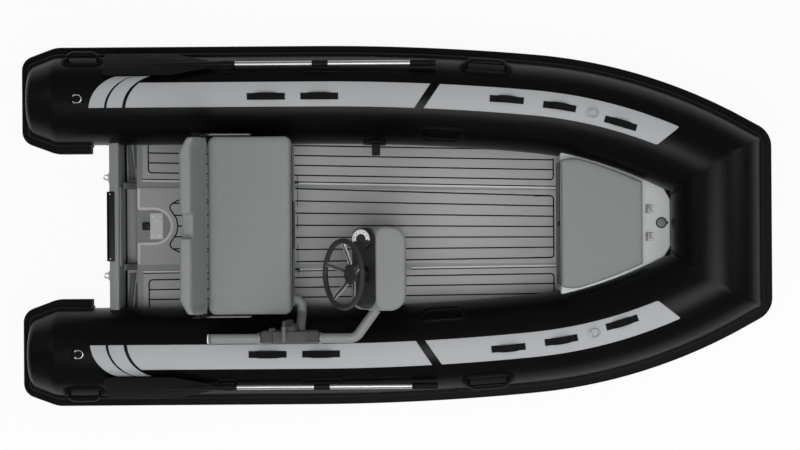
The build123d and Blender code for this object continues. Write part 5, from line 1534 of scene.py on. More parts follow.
@dataclass
class Stern(SubAssembly):
    """Transom, knees, engine pad, towing eyes and what lies in the stern well."""

    back: float = -1.470
    thickness: float = 0.049
    top: float = 0.380
    keel_z: float = -0.130
    chine: Point = (0.560, 0.052)
    pad_half: float = 0.178
    pad: float = 0.011
    pad_foot: float = 0.090
    eye_y: float = 0.252
    eye_z: float = 0.330
    knee_y: float = 0.211
    knee_half: float = 0.0165

    def build(self) -> None:
        """Build the board, what is bolted to it and the well's fittings."""
        self.board()
        self.knees()
        self.engine_pad()
        self.towing_eyes()
        self.well()

    def board(self) -> None:
        """The transom board with its rounded top edge and a drip ledge inside."""
        outline = rounded(mirrored_halves([
            (0.0, self.keel_z, 0.0), (self.chine[0], self.chine[1], 0.0), (self.chine[0] + 0.020, 0.092, 0.0),
            (0.586, 0.34, 0.0), (0.560, self.top, 0.020),
        ]), 0.0, 5)
        body = plate("board", outline, crosswise(self.back), 0.0, self.thickness, 0.006, 0.008)
        ledge = plate(
            "ledge", rectangle(-0.205, 0.205, 0.20, 0.352, 0.012, 4),
            crosswise(self.back), self.thickness - 0.001, self.thickness + 0.006, 0, 0.003,
        )
        self.add(joined("transom_board", [body, ledge]), TRANSOM_COAT, "transom")

    def knees(self) -> None:
        """Two gussets from the transom to the deck, with rounded edges."""
        front = self.back + self.thickness
        outline = rounded([
            (front, 0.121), (-1.356, 0.121), (-1.356, 0.199), (-1.370, 0.214, 0.02), (front, 0.329, 0.02),
        ], 0.0, 4)
        parts = []
        for y in (self.knee_y, -self.knee_y):
            parts.append(plate("knee", outline, beside(y), -self.knee_half, self.knee_half, 0.004, 0.004))
        self.add(joined("transom_gussets", parts), WELL_COAT, "transom_knees")

    def engine_pad(self) -> None:
        """Ribbed wear plate with a cap over the board's edge and two bolts."""
        face = plate(
            "face", rectangle(-self.pad_half, self.pad_half, self.pad_foot, self.top + self.pad, 0.010, 4),
            crosswise(self.back, -1), 0.0, self.pad, 0, 0.003,
        )
        cap = plate(
            "cap",
            rectangle(self.back - self.pad, self.back + 0.028, -self.pad_half, self.pad_half, 0.004, 3),
            level, self.top + 0.0004, self.top + self.pad, 0, 0.003,
        )
        ribs = []
        for k in range(9):
            z = self.pad_foot + 0.035 + k * 0.028
            ribs.append(plate(
                "rib", oval(2 * self.pad_half - 0.05, 0.008, 4), lambda a, b, c,
                z=z: Vector((self.back - c, a, z + b)),
                self.pad - 0.002, self.pad, 0, 0.0008, 2,
            ))
        self.add(joined("engine_wear_plate", [face, cap, *ribs]), BLACK_PLASTIC, "engine_pad")
        top = self.top + self.pad - 0.001
        bolts = [(Vector((self.back + 0.006, y, top)), UP) for y in (-0.165, 0.165)]
        bolts += [(Vector((self.back - self.pad + 0.001, y, z)), -AHEAD)
                  for y in (-0.165, 0.165) for z in (0.110, 0.355)]
        self.add(self.grower.studs("engine_plate_bolts", STEEL, bolts, 0.0048), STEEL)

    def towing_eyes(self) -> None:
        """Two horizontal eyes: a ring on a tapered web, with a bolted flange."""
        parts, bolts = [], []
        x = self.back - 0.023
        for y in (self.eye_y, -self.eye_y):
            ring = [Vector((x + 0.0120 * math.cos(t), y + 0.0120 * math.sin(t),
                            self.eye_z)) for t in turns(24)]
            parts.append(self.grower.bar("ring", STEEL, [ring], 0.0034, closed=True, sides=12))
            web = rounded([
                (self.back - 0.001, y - 0.037, 0.002), (self.back - 0.012, y - 0.022, 0.02),
                (x + 0.004, y - 0.0125, 0.0),
                (x + 0.0125, y - 0.002, 0.01), (x + 0.0125, y + 0.002, 0.01), (x + 0.004, y + 0.0125, 0.0),
                (self.back - 0.012, y + 0.022, 0.02), (self.back - 0.001, y + 0.037, 0.002),
            ], 0.0, 4)
            parts.append(plate("web", web, level, self.eye_z - 0.004, self.eye_z + 0.004, 0.0015, 0.0015, 2))
            flange = rectangle(y - 0.037, y + 0.037, self.eye_z - 0.025, self.eye_z + 0.025, 0.010, 5)
            parts.append(plate("flange", flange, crosswise(self.back, -1), 0.0, 0.004, 0, 0.0015))
            bolts += [(Vector((self.back - 0.004, y + dy, self.eye_z + dz)), -AHEAD)
                      for dy in (-0.026, 0.026) for dz in (-0.015, 0.015)]
        self.add(joined("towing_eye_pair", parts), STEEL, "towing_eyes")
        self.add(self.grower.studs("towing_eye_bolts", STEEL, bolts, 0.0032), STEEL)

    def well(self) -> None:
        """Bilge plate, drain knob, and the moulded steps of the well's ends."""
        plan = rectangle(-1.288, -1.221, -0.068, 0.068, 0.003, 3)
        self.add(plate("bilge_plate", plan, level, 0.200, 0.205, 0, 0.0012), PALE_RUBBER_AND_HIGHLIGHT, "well_plate")
        screws = [(Vector((x, y, 0.2050)), UP) for x, y in (
            (-1.271, 0.050), (-1.238, 0.050), (-1.256, 0.030), (-1.271, -0.050), (-1.238, -0.050))]
        self.add(self.grower.studs("bilge_plate_screws", STEEL, screws, 0.0028), STEEL)
        base = plate("base", rectangle(-1.329, -1.288, -0.021, 0.021, 0.006, 4),
                     level, 0.200, 0.205, 0, 0.002)
        axes = Axes(Vector((-1.308, 0, 0)), AHEAD, PORT, UP)
        knob = lathe("knob", [(0.0, 0.205), (0.010, 0.205), (0.010, 0.214), (0.0172, 0.217), (0.018, 0.222),
                              (0.018, 0.230), (0.0165, 0.2345), (0.009, 0.235), (0.0, 0.235)], axes, 28)
        self.add(joined("drain_plug_knob", [base, knob]), BLACK_PLASTIC, "drain_knob")
        steps = []
        for side in (1, -1):
            for corners, top in (
                ([(-1.405, 0.245), (-1.388, 0.245), (-1.376, 0.245), (-1.398, 0.440), (-1.416, 0.440)],
                 0.138),
                ([(-1.372, 0.300), (-1.358, 0.300), (-1.358, 0.445), (-1.382, 0.445)], 0.152),
            ):
                outline = rounded([(x, y * side) for x, y in corners], 0.003, 3)
                steps.append(plate("step", outline, level, 0.120, top, 0, 0.003))
        self.add(joined("well_steps", steps), WELL_COAT)


def mirrored_halves(half: Sequence[tuple]) -> list[tuple]:
    """A section outline of (y, z) points closed by its mirror image."""
    return [*half, *[(-a, b, *rest) for a, b, *rest in reversed(half) if abs(a) > 1e-6]]


# ------------------------------------------------------------------ deck
@dataclass
class Deck(SubAssembly):
    """Deck plate, three foam mats with dark seams, the ridges and gutters between them."""

    top: float = 0.200
    mat: float = 0.006
    seam: float = 0.0070
    aft: float = -1.327
    centre_aft: float = -1.354
    front: float = 0.836
    gutter_aft: float = 0.238
    gutter_front: tuple[float, float] = (0.186, 0.219)
    gutter_aft_w: float = 0.032
    gutter_front_w: float = 0.008
    ridge: float = 0.010
    notch_half: float = 0.084
    notch_front: float = -1.182
    side_outer: float = 0.430
    side_taper: float = 0.050
    side_taper_x: float = 0.300
    border: float = 0.032
    end_border: float = 0.020
    side_pitch: float = 0.0515
    centre_pitch: tuple[float, float] = (0.0635, 0.0536)
    seat_front: float = -0.520
    corner: float = 0.018

    def gutter(self, x: float, side: int) -> float:
        """Signed distance of the ridge beside a gutter from the centreline."""
        share = (x - self.aft) / (self.front - self.aft)
        front = self.gutter_front[0 if side > 0 else 1]
        return side * (self.gutter_aft + share * (front - self.gutter_aft))

    def skin_y(self, x: float, z: float) -> float:
        """Where the tube's inner side is at height z."""
        axes = PATH.axes(PATH.at_x(x))
        reach = math.sqrt(max(0.0, PATH.radius ** 2 - (z - axes.origin.z) ** 2))
        return axes.origin.y - reach / max(0.5, axes.x.x)

    def build(self) -> None:
        """Build the mats, their seams and the ridges."""
        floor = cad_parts["deck_plate"].data.materials
        floor.clear()
        floor.append(DECK_COAT.material())
        mats = [self.centre_mat(), *[self.side_mat(side) for side in (1, -1)]]
        names = ("deck_mat_centre", "deck_mat_port", "deck_mat_starboard")
        for piece, node in zip(mats, names):
            self.add(piece, DECK_FOAM, node)
        seams = [*self.centre_seams(), *self.side_seams(1), *self.side_seams(-1)]
        source = self.grower.lines(seams)
        strips = self.grower.grow("seam", source, "deck_mat_seams", SEAMS_AND_PAINTED_SHADE, Width=self.seam,
                                  Thickness=0.0012)
        self.add(strips, SEAMS_AND_PAINTED_SHADE)
        self.ridges()
        self.platform_painted_highlight()

    def centre_edge(self, x: float, side: int, width: float) -> float:
        """Edge of the centre mat beside a gutter of that width."""
        return self.gutter(x, side) - side * (width + self.ridge / 2)

    def plank_y(self, x: float, side: int, out: float) -> float:
        """A line on a side mat, at a distance outboard of its border."""
        return self.gutter(x, side) + side * (self.ridge + self.border + out)

    def centre_outline(self) -> list[Point]:
        """The centre mat with its notch round the bilge plate."""
        hub = self.notch_front - self.notch_half
        arc = [(hub + self.notch_half * math.cos(t), self.notch_half * math.sin(t))
               for t in [math.pi / 2 - math.pi * k / 24 for k in range(25)]]
        port = [(self.front, self.centre_edge(self.front, 1, self.gutter_front_w), 0.004),
                (self.centre_aft, self.centre_edge(self.centre_aft, 1, self.gutter_aft_w), 0.012),
                (self.centre_aft, self.notch_half, 0.004)]
        starboard = [(self.centre_aft, -self.notch_half, 0.004),
                     (self.centre_aft, self.centre_edge(self.centre_aft, -1, self.gutter_aft_w), 0.012),
                     (self.front, self.centre_edge(self.front, -1, self.gutter_front_w), 0.004)]
        return rounded([*port, *[(a, b, 0.0) for a, b in arc], *starboard], 0.0, 5)

    def centre_mat(self) -> Solid:
        """The centre mat, with a soft upper edge."""
        return plate("foam_mat_centre", self.centre_outline(), level, self.top, self.top + self.mat, 0, 0.002,
                     3)

    def side_outline(self, side: int) -> list[Point]:
        """A side mat, out to the tube."""
        outer = []
        for share in shares(16):
            x = self.aft + (self.front - self.aft) * share
            outer.append((x, side * self.side_limit(x), 0.0))
        inner = [(self.front, self.gutter(self.front, side) + side * self.ridge, 0.004),
                 (self.aft, self.gutter(self.aft, side) + side * self.ridge, 0.008)]
        return rounded([*outer, *inner], 0.0, 4)

    def side_mat(self, side: int) -> Solid:
        """A side mat, with a soft upper edge."""
        name = "foam_mat_port" if side > 0 else "foam_mat_starboard"
        return plate(name, self.side_outline(side), level, self.top, self.top + self.mat, 0, 0.002, 3)

    def lay(self, points: Sequence[Point]) -> Ring:
        """Seam points on the mat's top."""
        return [Vector((a, b, self.top + self.mat - 0.0002)) for a, b in points]

    def centre_seams(self) -> list[Ring]:
        """Planks ahead of the seat, their front border, and the waisted border at the notch."""
        front = self.front - self.end_border
        shift = (self.gutter(self.front, 1) + self.gutter(self.front, -1)) / 2
        lines = []
        for i in range(7):
            row = 3 - i
            aft_y, front_y = row * self.centre_pitch[0], shift + row * self.centre_pitch[1]
            ahead = front - (self.corner if row in (3, -3) else 0.0)
            lines.append(self.lay([(self.seat_front - 0.010, aft_y), (ahead, front_y)]))
        outer = [shift + sign * 3 * self.centre_pitch[1] for sign in (1, -1)]
        border = rounded([(front - 0.10, outer[0]), (front, outer[0]), (front, outer[1]),
                          (front - 0.10, outer[1])],
                         self.corner, 6, closed=False)
        lines.append(self.lay(border))
        waist = [(-1.100, 0.135), (-1.140, 0.135), (-1.180, 0.112), (-1.186, 0.095), (-1.168, 0.066),
                 (-1.150, 0.040), (-1.143, 0.0)]
        waist = [*waist, *[(a, -b) for a, b in reversed(waist[:-1])]]
        lines.append(self.lay(rounded(waist, 0.035, 5, closed=False)))
        for y, x in ((0.119, -1.172), (0.056, -1.161), (0.0, -1.143), (-0.056, -1.161), (-0.119, -1.172)):
            lines.append(self.lay([(x, y), (-0.950, y)]))
        lines.append(self.lay([(-1.100, 0.135), (-0.950, 0.135)]))
        lines.append(self.lay([(-1.100, -0.135), (-0.950, -0.135)]))
        return lines

    def side_seams(self, side: int) -> list[Ring]:
        """A side mat's border and its plank seams."""
        aft, front = self.aft + self.border, self.front - self.end_border
        lines = []
        reach = 3.2 * self.side_pitch
        corners = [(x, self.plank_y(x, side, out)) for x,
                   out in ((aft, reach), (aft, 0), (front, 0), (front, 0.11))]
        border = rounded(corners, self.corner, 6, closed=False)
        lines.append(self.lay([(a, side * min(abs(b), self.side_limit(a) - 0.004)) for a, b in border]))
        for i in range(1, 4):
            row = []
            for share in shares(12):
                x = aft + (front - aft) * share
                y = self.plank_y(x, side, i * self.side_pitch)
                if abs(y) < self.side_limit(x) - 0.006:
                    row.append((x, y))
            if len(row) > 1:
                lines.append(self.lay(row))
        return lines

    def side_limit(self, x: float) -> float:
        """How far out the side mat reaches at x."""
        taper = max(0.0, (x - self.side_taper_x) / (self.front - self.side_taper_x)) * self.side_taper
        return min(self.side_outer - taper, self.skin_y(x, self.top + self.mat) - 0.0005)

    def ridges(self) -> None:
        """Raised ridges beside the gutters, cut where the seat and the console stand; their near-white is a
        painted highlight of their lit edges, and a dark strip beside each is painted shadow.
        """
        parts, lines = [], []
        for side in (1, -1):
            spans = [(self.aft, -0.935), (-0.520, self.front)] if side > 0 else [
                (self.aft, -0.935), (-0.520, -0.222), (0.074, self.front)]
            for x0, x1 in spans:
                y0, y1 = self.gutter(x0, side), self.gutter(x1, side)
                half = self.ridge / 2
                outline = [(x0, y0 - half), (x1, y1 - half), (x1, y1 + half), (x0, y0 + half)]
                parts.append(plate("ridge", outline, level, self.top, self.top + self.ridge, 0, 0.003, 3))
                # The dark strip beside each ridge is painted shadow.
                dark = side * (half + 0.0025)
                lines.append([Vector((x0, y0 + dark, self.top + 0.0004)),
                              Vector((x1, y1 + dark, self.top + 0.0004))])
        # The ridges' near-white is a painted highlight of their lit edges.
        self.add(joined("deck_ridge_strips", parts), PALE_RUBBER_AND_HIGHLIGHT, "deck_ridges")
        source = self.grower.lines(lines)
        shadow = self.grower.grow("seam", source, "ridge_painted_shadow", SEAMS_AND_PAINTED_SHADE, Width=0.0045, Thickness=0.0010)
        self.add(shadow, SEAMS_AND_PAINTED_SHADE)

    def platform_painted_highlight(self) -> None:
        """Near-white bevelled edge of the raised centre part behind the seat: a painted highlight of its lit
        edge.
        """
        ring = self.centre_outline()
        top = self.top + self.mat
        keep = [i for i, (a, _) in enumerate(ring) if a < -0.95]
        first = next(i for i in keep if i - 1 not in keep)
        order = [ring[(first + k) % len(ring)] for k in range(len(keep))]
        inner_all = inset(ring, 0.014)
        inner = [inner_all[(first + k) % len(ring)] for k in range(len(keep))]
        rows = [
            [Vector((a, b, top + 0.0008)) for a, b in inner],
            [Vector((a, b, top - 0.0002)) for a, b in order],
            [Vector((a, b, self.top + 0.001)) for a, b in order],
        ]
        # The near-white rim is a painted highlight.
        self.add(TubePanels.outward(loft("platform_painted_highlight", rows, False, False, 30)), PALE_RUBBER_AND_HIGHLIGHT)


# ------------------------------------------------------------------ soft pads
def remeshed(piece: Solid, voxel: float) -> Solid:
    """Give a piece one even skin of small squares."""
    remesh = piece.modifiers.new("Remesh", "REMESH")
    remesh.mode, remesh.voxel_size = "VOXEL", voxel
    return applied(piece)


def stuffed(piece: Solid, voxel: float = 0.006, cap: float = 0.008, pressure: float = 4.0) -> Solid:
    """Swell a closed form like a filled cover by a short cloth simulation.

    Args:
        piece: the closed form, slightly smaller than the finished pad.
        voxel: size of the remesh.
        cap: how far a point may move.
        pressure: of the filling.

    Returns:
        The piece, with its mesh replaced by the swollen one.
    """
    remeshed(piece, voxel)
    rest = [vert.co.copy() for vert in piece.data.vertices]
    cloth = piece.modifiers.new("Cloth", "CLOTH")
    cloth.settings.quality = 4
    cloth.settings.mass = 0.3
    cloth.settings.tension_stiffness = cloth.settings.compression_stiffness = 12
    cloth.settings.bending_stiffness = 0.8
    cloth.settings.use_pressure = True
    cloth.settings.uniform_pressure_force = pressure
    cloth.settings.effector_weights.gravity = 0.0
    cloth.point_cache.frame_start, cloth.point_cache.frame_end = 1, 20
    scene = bpy.context.scene
    for step in range(1, 21):
        scene.frame_set(step)
    graph = bpy.context.evaluated_depsgraph_get()
    swollen = piece.evaluated_get(graph).to_mesh()
    moved = [vert.co.copy() for vert in swollen.vertices]
    piece.evaluated_get(graph).to_mesh_clear()
    piece.modifiers.clear()
    scene.frame_set(1)
    for vert, before, after in zip(piece.data.vertices, rest, moved):
        step_out = after - before
        if step_out.length > cap:
            step_out *= cap / step_out.length
        vert.co = before + step_out
    smooth = piece.modifiers.new("Relax", "SMOOTH")
    smooth.factor, smooth.iterations = 0.5, 4
    subdivided(piece)
    piece.data.shade_smooth()
    return piece


def on_surface(piece: Solid, points: Sequence[Vector], lift: float) -> Ring:
    """Points moved to the nearest place on a piece's skin, and off it by lift."""
    graph = bpy.context.evaluated_depsgraph_get()
    tree = BVHTree.FromObject(piece, graph)
    found = []
    for point in points:
        spot, normal, _, _ = tree.find_nearest(point)
        found.append(spot + normal * lift)
    return found


def open_box(
    name: str, outer: Sequence[Point], inner: Sequence[Point], low: float, floor: float, top: float,
    soft: float
) -> Solid:
    """A box open at the top.

    Args:
        name: the piece's name.
        outer: its outline.
        inner: the hollow's outline.
        low: its foot.
        floor: the hollow's floor.
        top: its rim.
        soft: radius of the rim's outer edge.

    Returns:
        The closed shell.
    """
    work = bmesh.new()
    wall = plate_rings(outer, level, low, top, 0, soft)
    add_loft(work, wall, True, False)
    hollow = [[level(a, b, z) for a, b in inset(inner, back)] for back, z in (
        (-0.002, top), (0.0, top - 0.002), (0.0, floor + 0.006), (0.006, floor))]
    add_loft(work, hollow, True, False)
    work.faces.new([work.verts.new(point) for point in wall[0]])
    work.faces.new([work.verts.new(point) for point in hollow[-1]])
    bmesh.ops.remove_doubles(work, verts=work.verts, dist=1e-6)
    rim = [edge for edge in work.edges if edge.is_boundary and abs(edge.verts[0].co.z - top) < 1e-5]
    bmesh.ops.triangle_fill(work, edges=rim, use_beauty=True)
    return make(name, work, 30)


@dataclass
class HelmSeat(SubAssembly):
    """Seat box, strip hinge, lid, cushion, backrest and its brackets."""

    back: float = -0.935
    front: float = -0.520
    half: float = 0.441
    base_half: float = 0.405
    base_top: float = 0.552
    lid: float = 0.012
    top: float = 0.652
    foot: float = 0.206
    wall: float = 0.014
    rest_gap: float = 0.006
    rest_t: float = 0.052
    rest_half: float = 0.432
    rest_taper: float = 0.010
    rest_foot: float = 0.634
    rest_top: float = 1.030
    lean: float = 0.034
    wing: Point = (0.016, 0.040)
    wing_z: float = 0.760
    bevel: Point = (0.038, 0.073)
    dip_half: float = 0.057
    dip: float = 0.058
    body_lid: str = "seat_lid_body"

    def build(self) -> None:
        """Build the box first, then what is soft."""
        self.box()
        self.lid_board()
        self.cushion()
        self.backrest()
        self.brackets()
        self.hinge()

    def box(self) -> None:
        """Open-topped box with a brow at its top front and a hatch outline on its face."""
        face, ledge = self.front - 0.026, 0.440
        outer = oblong(self.back + 0.006, face, self.base_half, 0.012, 5)
        inner = oblong(self.back + 0.006 + self.wall, face - self.wall, self.base_half - self.wall, 0.010, 5)
        shell = open_box("box", outer, inner, self.foot, self.foot + self.wall, self.base_top, 0.003)
        recess = plate(
            "panel", rectangle(-0.33, 0.33, 0.26, 0.42, 0.02, 5),
            crosswise(face), -0.001, 0.0016, 0, 0.0012,
        )
        brow = plate("brow", oblong(face - 0.004, self.front, self.base_half, 0.003, 3), level, ledge,
                     self.base_top - 0.0002, 0.004, 0.002)
        self.add(joined("seat_box", [shell, recess, brow], 30), DECK_COAT, "seat_base")
        source = self.grower.lines([
            [Vector((self.front + 0.002, y0, self.foot + 0.0004)),
             Vector((self.front + 0.002, y1, self.foot + 0.0004))]
            for y0, y1 in ((0.235, 0.262), (0.10, 0.205), (-0.02, 0.05), (-0.205, -0.10), (-0.262, -0.235))
        ])
        self.add(self.grower.grow("seam", source, "seat_foot_seam", SEAMS_AND_PAINTED_SHADE, Width=0.003,
                                  Thickness=0.001),
                 SEAMS_AND_PAINTED_SHADE)
        blocks = []
        for y in (0.2236, -0.2295):
            blocks.append(plate("block", oblong(self.front - 0.012, self.front + 0.012, 0.0055, 0.002, 3),
                                lambda a, b, c, y=y: Vector((a, y + b, c)), 0.2095, 0.2145, 0, 0.002))
        self.add(joined("ridge_end_blocks", blocks), BLACK_PLASTIC)

    def lid_board(self) -> None:
        """The board under the cushion."""
        plan = rectangle(self.back + 0.010, self.front - 0.001, -self.half + 0.008, self.half - 0.008, 0.030,
                         6)
        board = plate("seat_board", plan, level, self.base_top + 0.0004, self.base_top + self.lid, 0.002,
                      0.002, 2)
        self.add(board, BLACK_PLASTIC, "seat_lid", body=self.body_lid)

    def cushion(self) -> None:
        """The seat cushion: crowned, with a welt low round its side."""
        low = self.base_top + self.lid + 0.0006
        plan = oblong(self.back - 0.004, self.front - 0.003, self.half + 0.005, 0.036, 8)
        start = plate("seat_cushion_pad", plan, level, low, self.top - 0.006, 0.006, 0.016, 6, domed=5,
                      rise=0.002)
        self.upholster(start, plan, low, 0.0065, 0.005, 0.8, Piping(0.014, 0.007, 0.0022, 0.0004),
                       self.body_lid)

    def rest_place(self, x: float, y: float, z: float) -> Vector:
        """A point of the leaning backrest, given where it would be upright."""
        share = (z - self.rest_foot) / (self.rest_top - self.rest_foot)
        return Vector((x - share * self.lean, y, z))

    def rest_outline(self, z: float) -> list[Point]:
        """Plan outline of the backrest at a height, bevelled aft and winged forward."""
        front = self.back - self.rest_gap
        back = front - self.rest_t
        reach = self.wing[0] * min(1.0, max(0.14, (z - self.wing_z + 0.02) / 0.03))
        share = (z - self.rest_foot) / (self.rest_top - self.rest_foot)
        half, side = self.rest_half + self.rest_taper * (1 - 2 * share), self.wing[1]
        return rounded([
            (back, -half + self.bevel[1], 0.03), (back, half - self.bevel[1], 0.03),
            (back + self.bevel[0], half, 0.012), (front + reach, half, 0.005),
            (front, half - side - 0.004, 0.03), (front, -half + side + 0.004, 0.03),
            (front + reach, -half, 0.005), (back + self.bevel[0], -half, 0.012),
        ], 0.01, 4)

    def backrest(self) -> None:
        """The backrest pad with its hand dip, and a welt with stitches low across its face."""
        soft = 0.012
        levels = [(self.rest_foot + soft * (1 - math.cos(t)) / 2, soft * (1 - math.sin(t)) / 2)
                  for t in [k * math.pi / 8 for k in range(5)]]
        levels += [(self.rest_foot + (self.rest_top - self.rest_foot) * share,
                    0.0) for share in (0.2, 0.26, 0.28, 0.32, 0.6)]
        levels += [(self.rest_top - soft * (1 - math.sin(t)), soft * (1 - math.cos(t)))
                   for t in [k * math.pi / 8 for k in range(5)]]
        rings = [[self.rest_place(a, b, z) for a, b in inset(self.rest_outline(z), back)] for z,
                 back in levels]
        board = loft("backrest_pad", rings)
        cut = rounded([(-self.dip_half, self.rest_top - self.dip), (self.dip_half, self.rest_top - self.dip),
                       (self.dip_half + 0.006, self.rest_top + 0.03),
                       (-self.dip_half - 0.006, self.rest_top + 0.03)],
                      0.026, 6)
        tool = plate("cutter", cut, lambda a, b, c: Vector((c, a, b)), -1.10, -0.90)
        remeshed(board, 0.0055)
        boolean = board.modifiers.new("Dip", "BOOLEAN")
        boolean.object, boolean.operation, boolean.solver = tool, "DIFFERENCE", "EXACT"
        applied(board)
        bpy.data.objects.remove(tool)
        pad = stuffed(board, 0.0055, 0.003)
        self.add(pad, VINYL, "backrest")
        front = self.back - self.rest_gap
        low = [self.rest_place(front + 0.01, -self.rest_half + 0.02 + (2 * self.rest_half - 0.04) * k / 80,
                               self.rest_foot + 0.03) for k in range(81)]
        welts = self.grower.bar("backrest_welts", VINYL, [on_surface(pad, low, 0.0002)], 0.0018, sides=8)
        self.add(welts, VINYL)
        rows = self.grower.stitches("backrest_stitches", THREAD_BLACK, [
            on_surface(pad, [point + Vector((0, 0, 0.006)) for point in low], 0.0002)])
        self.add(rows, THREAD_BLACK)

    def brackets(self) -> None:
        """Side plates with rounded corners, their lugs and bolt heads."""
        parts, bolts = [], []
        foot = self.back - self.rest_gap
        inner, low, high = self.half + 0.0075, self.top - 0.084, self.top + 0.130
        outline = rounded([
            (-0.726, low, 0.006), (-0.726, low + 0.054, 0.016), (foot + 0.014, low + 0.062, 0.01),
            (foot - 0.044, low + 0.062, 0.01), (foot - 0.048, low, 0.02),
        ], 0.01, 5)
        post = rounded([
            (foot - 0.044, low + 0.050), (foot + 0.010, low + 0.050), (foot + 0.014, low + 0.072),
            (foot - 0.016, high), (foot - 0.062, high),
        ], 0.008, 4)
        lug_x, lug_z = self.back + 0.060, self.base_top - 0.024
        posts = []
        for side in (1, -1):
            parts.append(plate("side", outline, beside(inner, side),
                               0.0, 0.008, 0.0015, 0.0015, 2))
            posts.append(plate("post", post, beside(inner, side),
                               -0.001, 0.0028, 0.001, 0.001, 2))
            for x0, x1, y0, y1, z0, z1 in (
                (lug_x, lug_x + 0.050, self.base_half, inner + 0.010, lug_z, lug_z + 0.012),
                (lug_x, lug_x + 0.050, inner, inner + 0.010, lug_z, low + 0.012),
            ):
                plan = [(x0, side * y0), (x1, side * y0), (x1, side * y1), (x0, side * y1)]
                parts.append(plate("lug", plan, level, z0, z1, 0.001, 0.001, 1))
            out = Vector((0, side, 0))
            bolts += [(Vector((x, side * (inner + 0.008), z)), out) for x, z in (
                (-0.915, low + 0.030), (-0.752, low + 0.028))]
            x0, x1 = foot - 0.046, foot - 0.024
            plan = [(x0, side * (self.rest_half - 0.004)), (x1, side * (self.rest_half - 0.004)),
                    (x1, side * (inner + 0.001)), (x0, side * (inner + 0.001))]
            posts.append(plate("stay", plan, level, high - 0.090, high - 0.030, 0.001, 0.001, 1))
        self.add(joined("backrest_side_plates", parts), BRACKET_PAINT, "backrest_brackets")
        self.add(joined("backrest_posts", posts), BLACK_PLASTIC)
        self.add(self.grower.studs("backrest_plate_bolts", STEEL, bolts, 0.0055), STEEL)

    def hinge(self) -> None:
        """Strip hinge with knuckles along the front of the box."""
        z, x = self.base_top + self.lid / 2, self.front + 0.005
        parts = [plate("leaf", rectangle(-0.118, 0.118, z - 0.050, z, 0.003, 3),
                       crosswise(self.front), 0.0002, 0.0022, 0, 0.0005, 2)]
        count = 12
        for k in range(count):
            y0, y1 = -0.118 + k * 0.236 / count + 0.0006, -0.118 + (k + 1) * 0.236 / count - 0.0006
            axes = Axes(Vector((x, 0, z)), UP, AHEAD, PORT)
            parts.append(lathe("knuckle",
                               [(0.0, y0), (0.0046, y0), (0.005, y0 + 0.0004), (0.005, y1 - 0.0004),
                                (0.0046, y1), (0.0, y1)], axes, 16))
        self.add(joined("strip_hinge", parts), HINGE_DARK, "seat_hinge")
        screws = [(Vector((self.front + 0.0022, -0.10 + k * 0.04, z - 0.028)), AHEAD) for k in range(6)]
        self.add(self.grower.studs("strip_hinge_screws", STEEL, screws, 0.0026), STEEL)


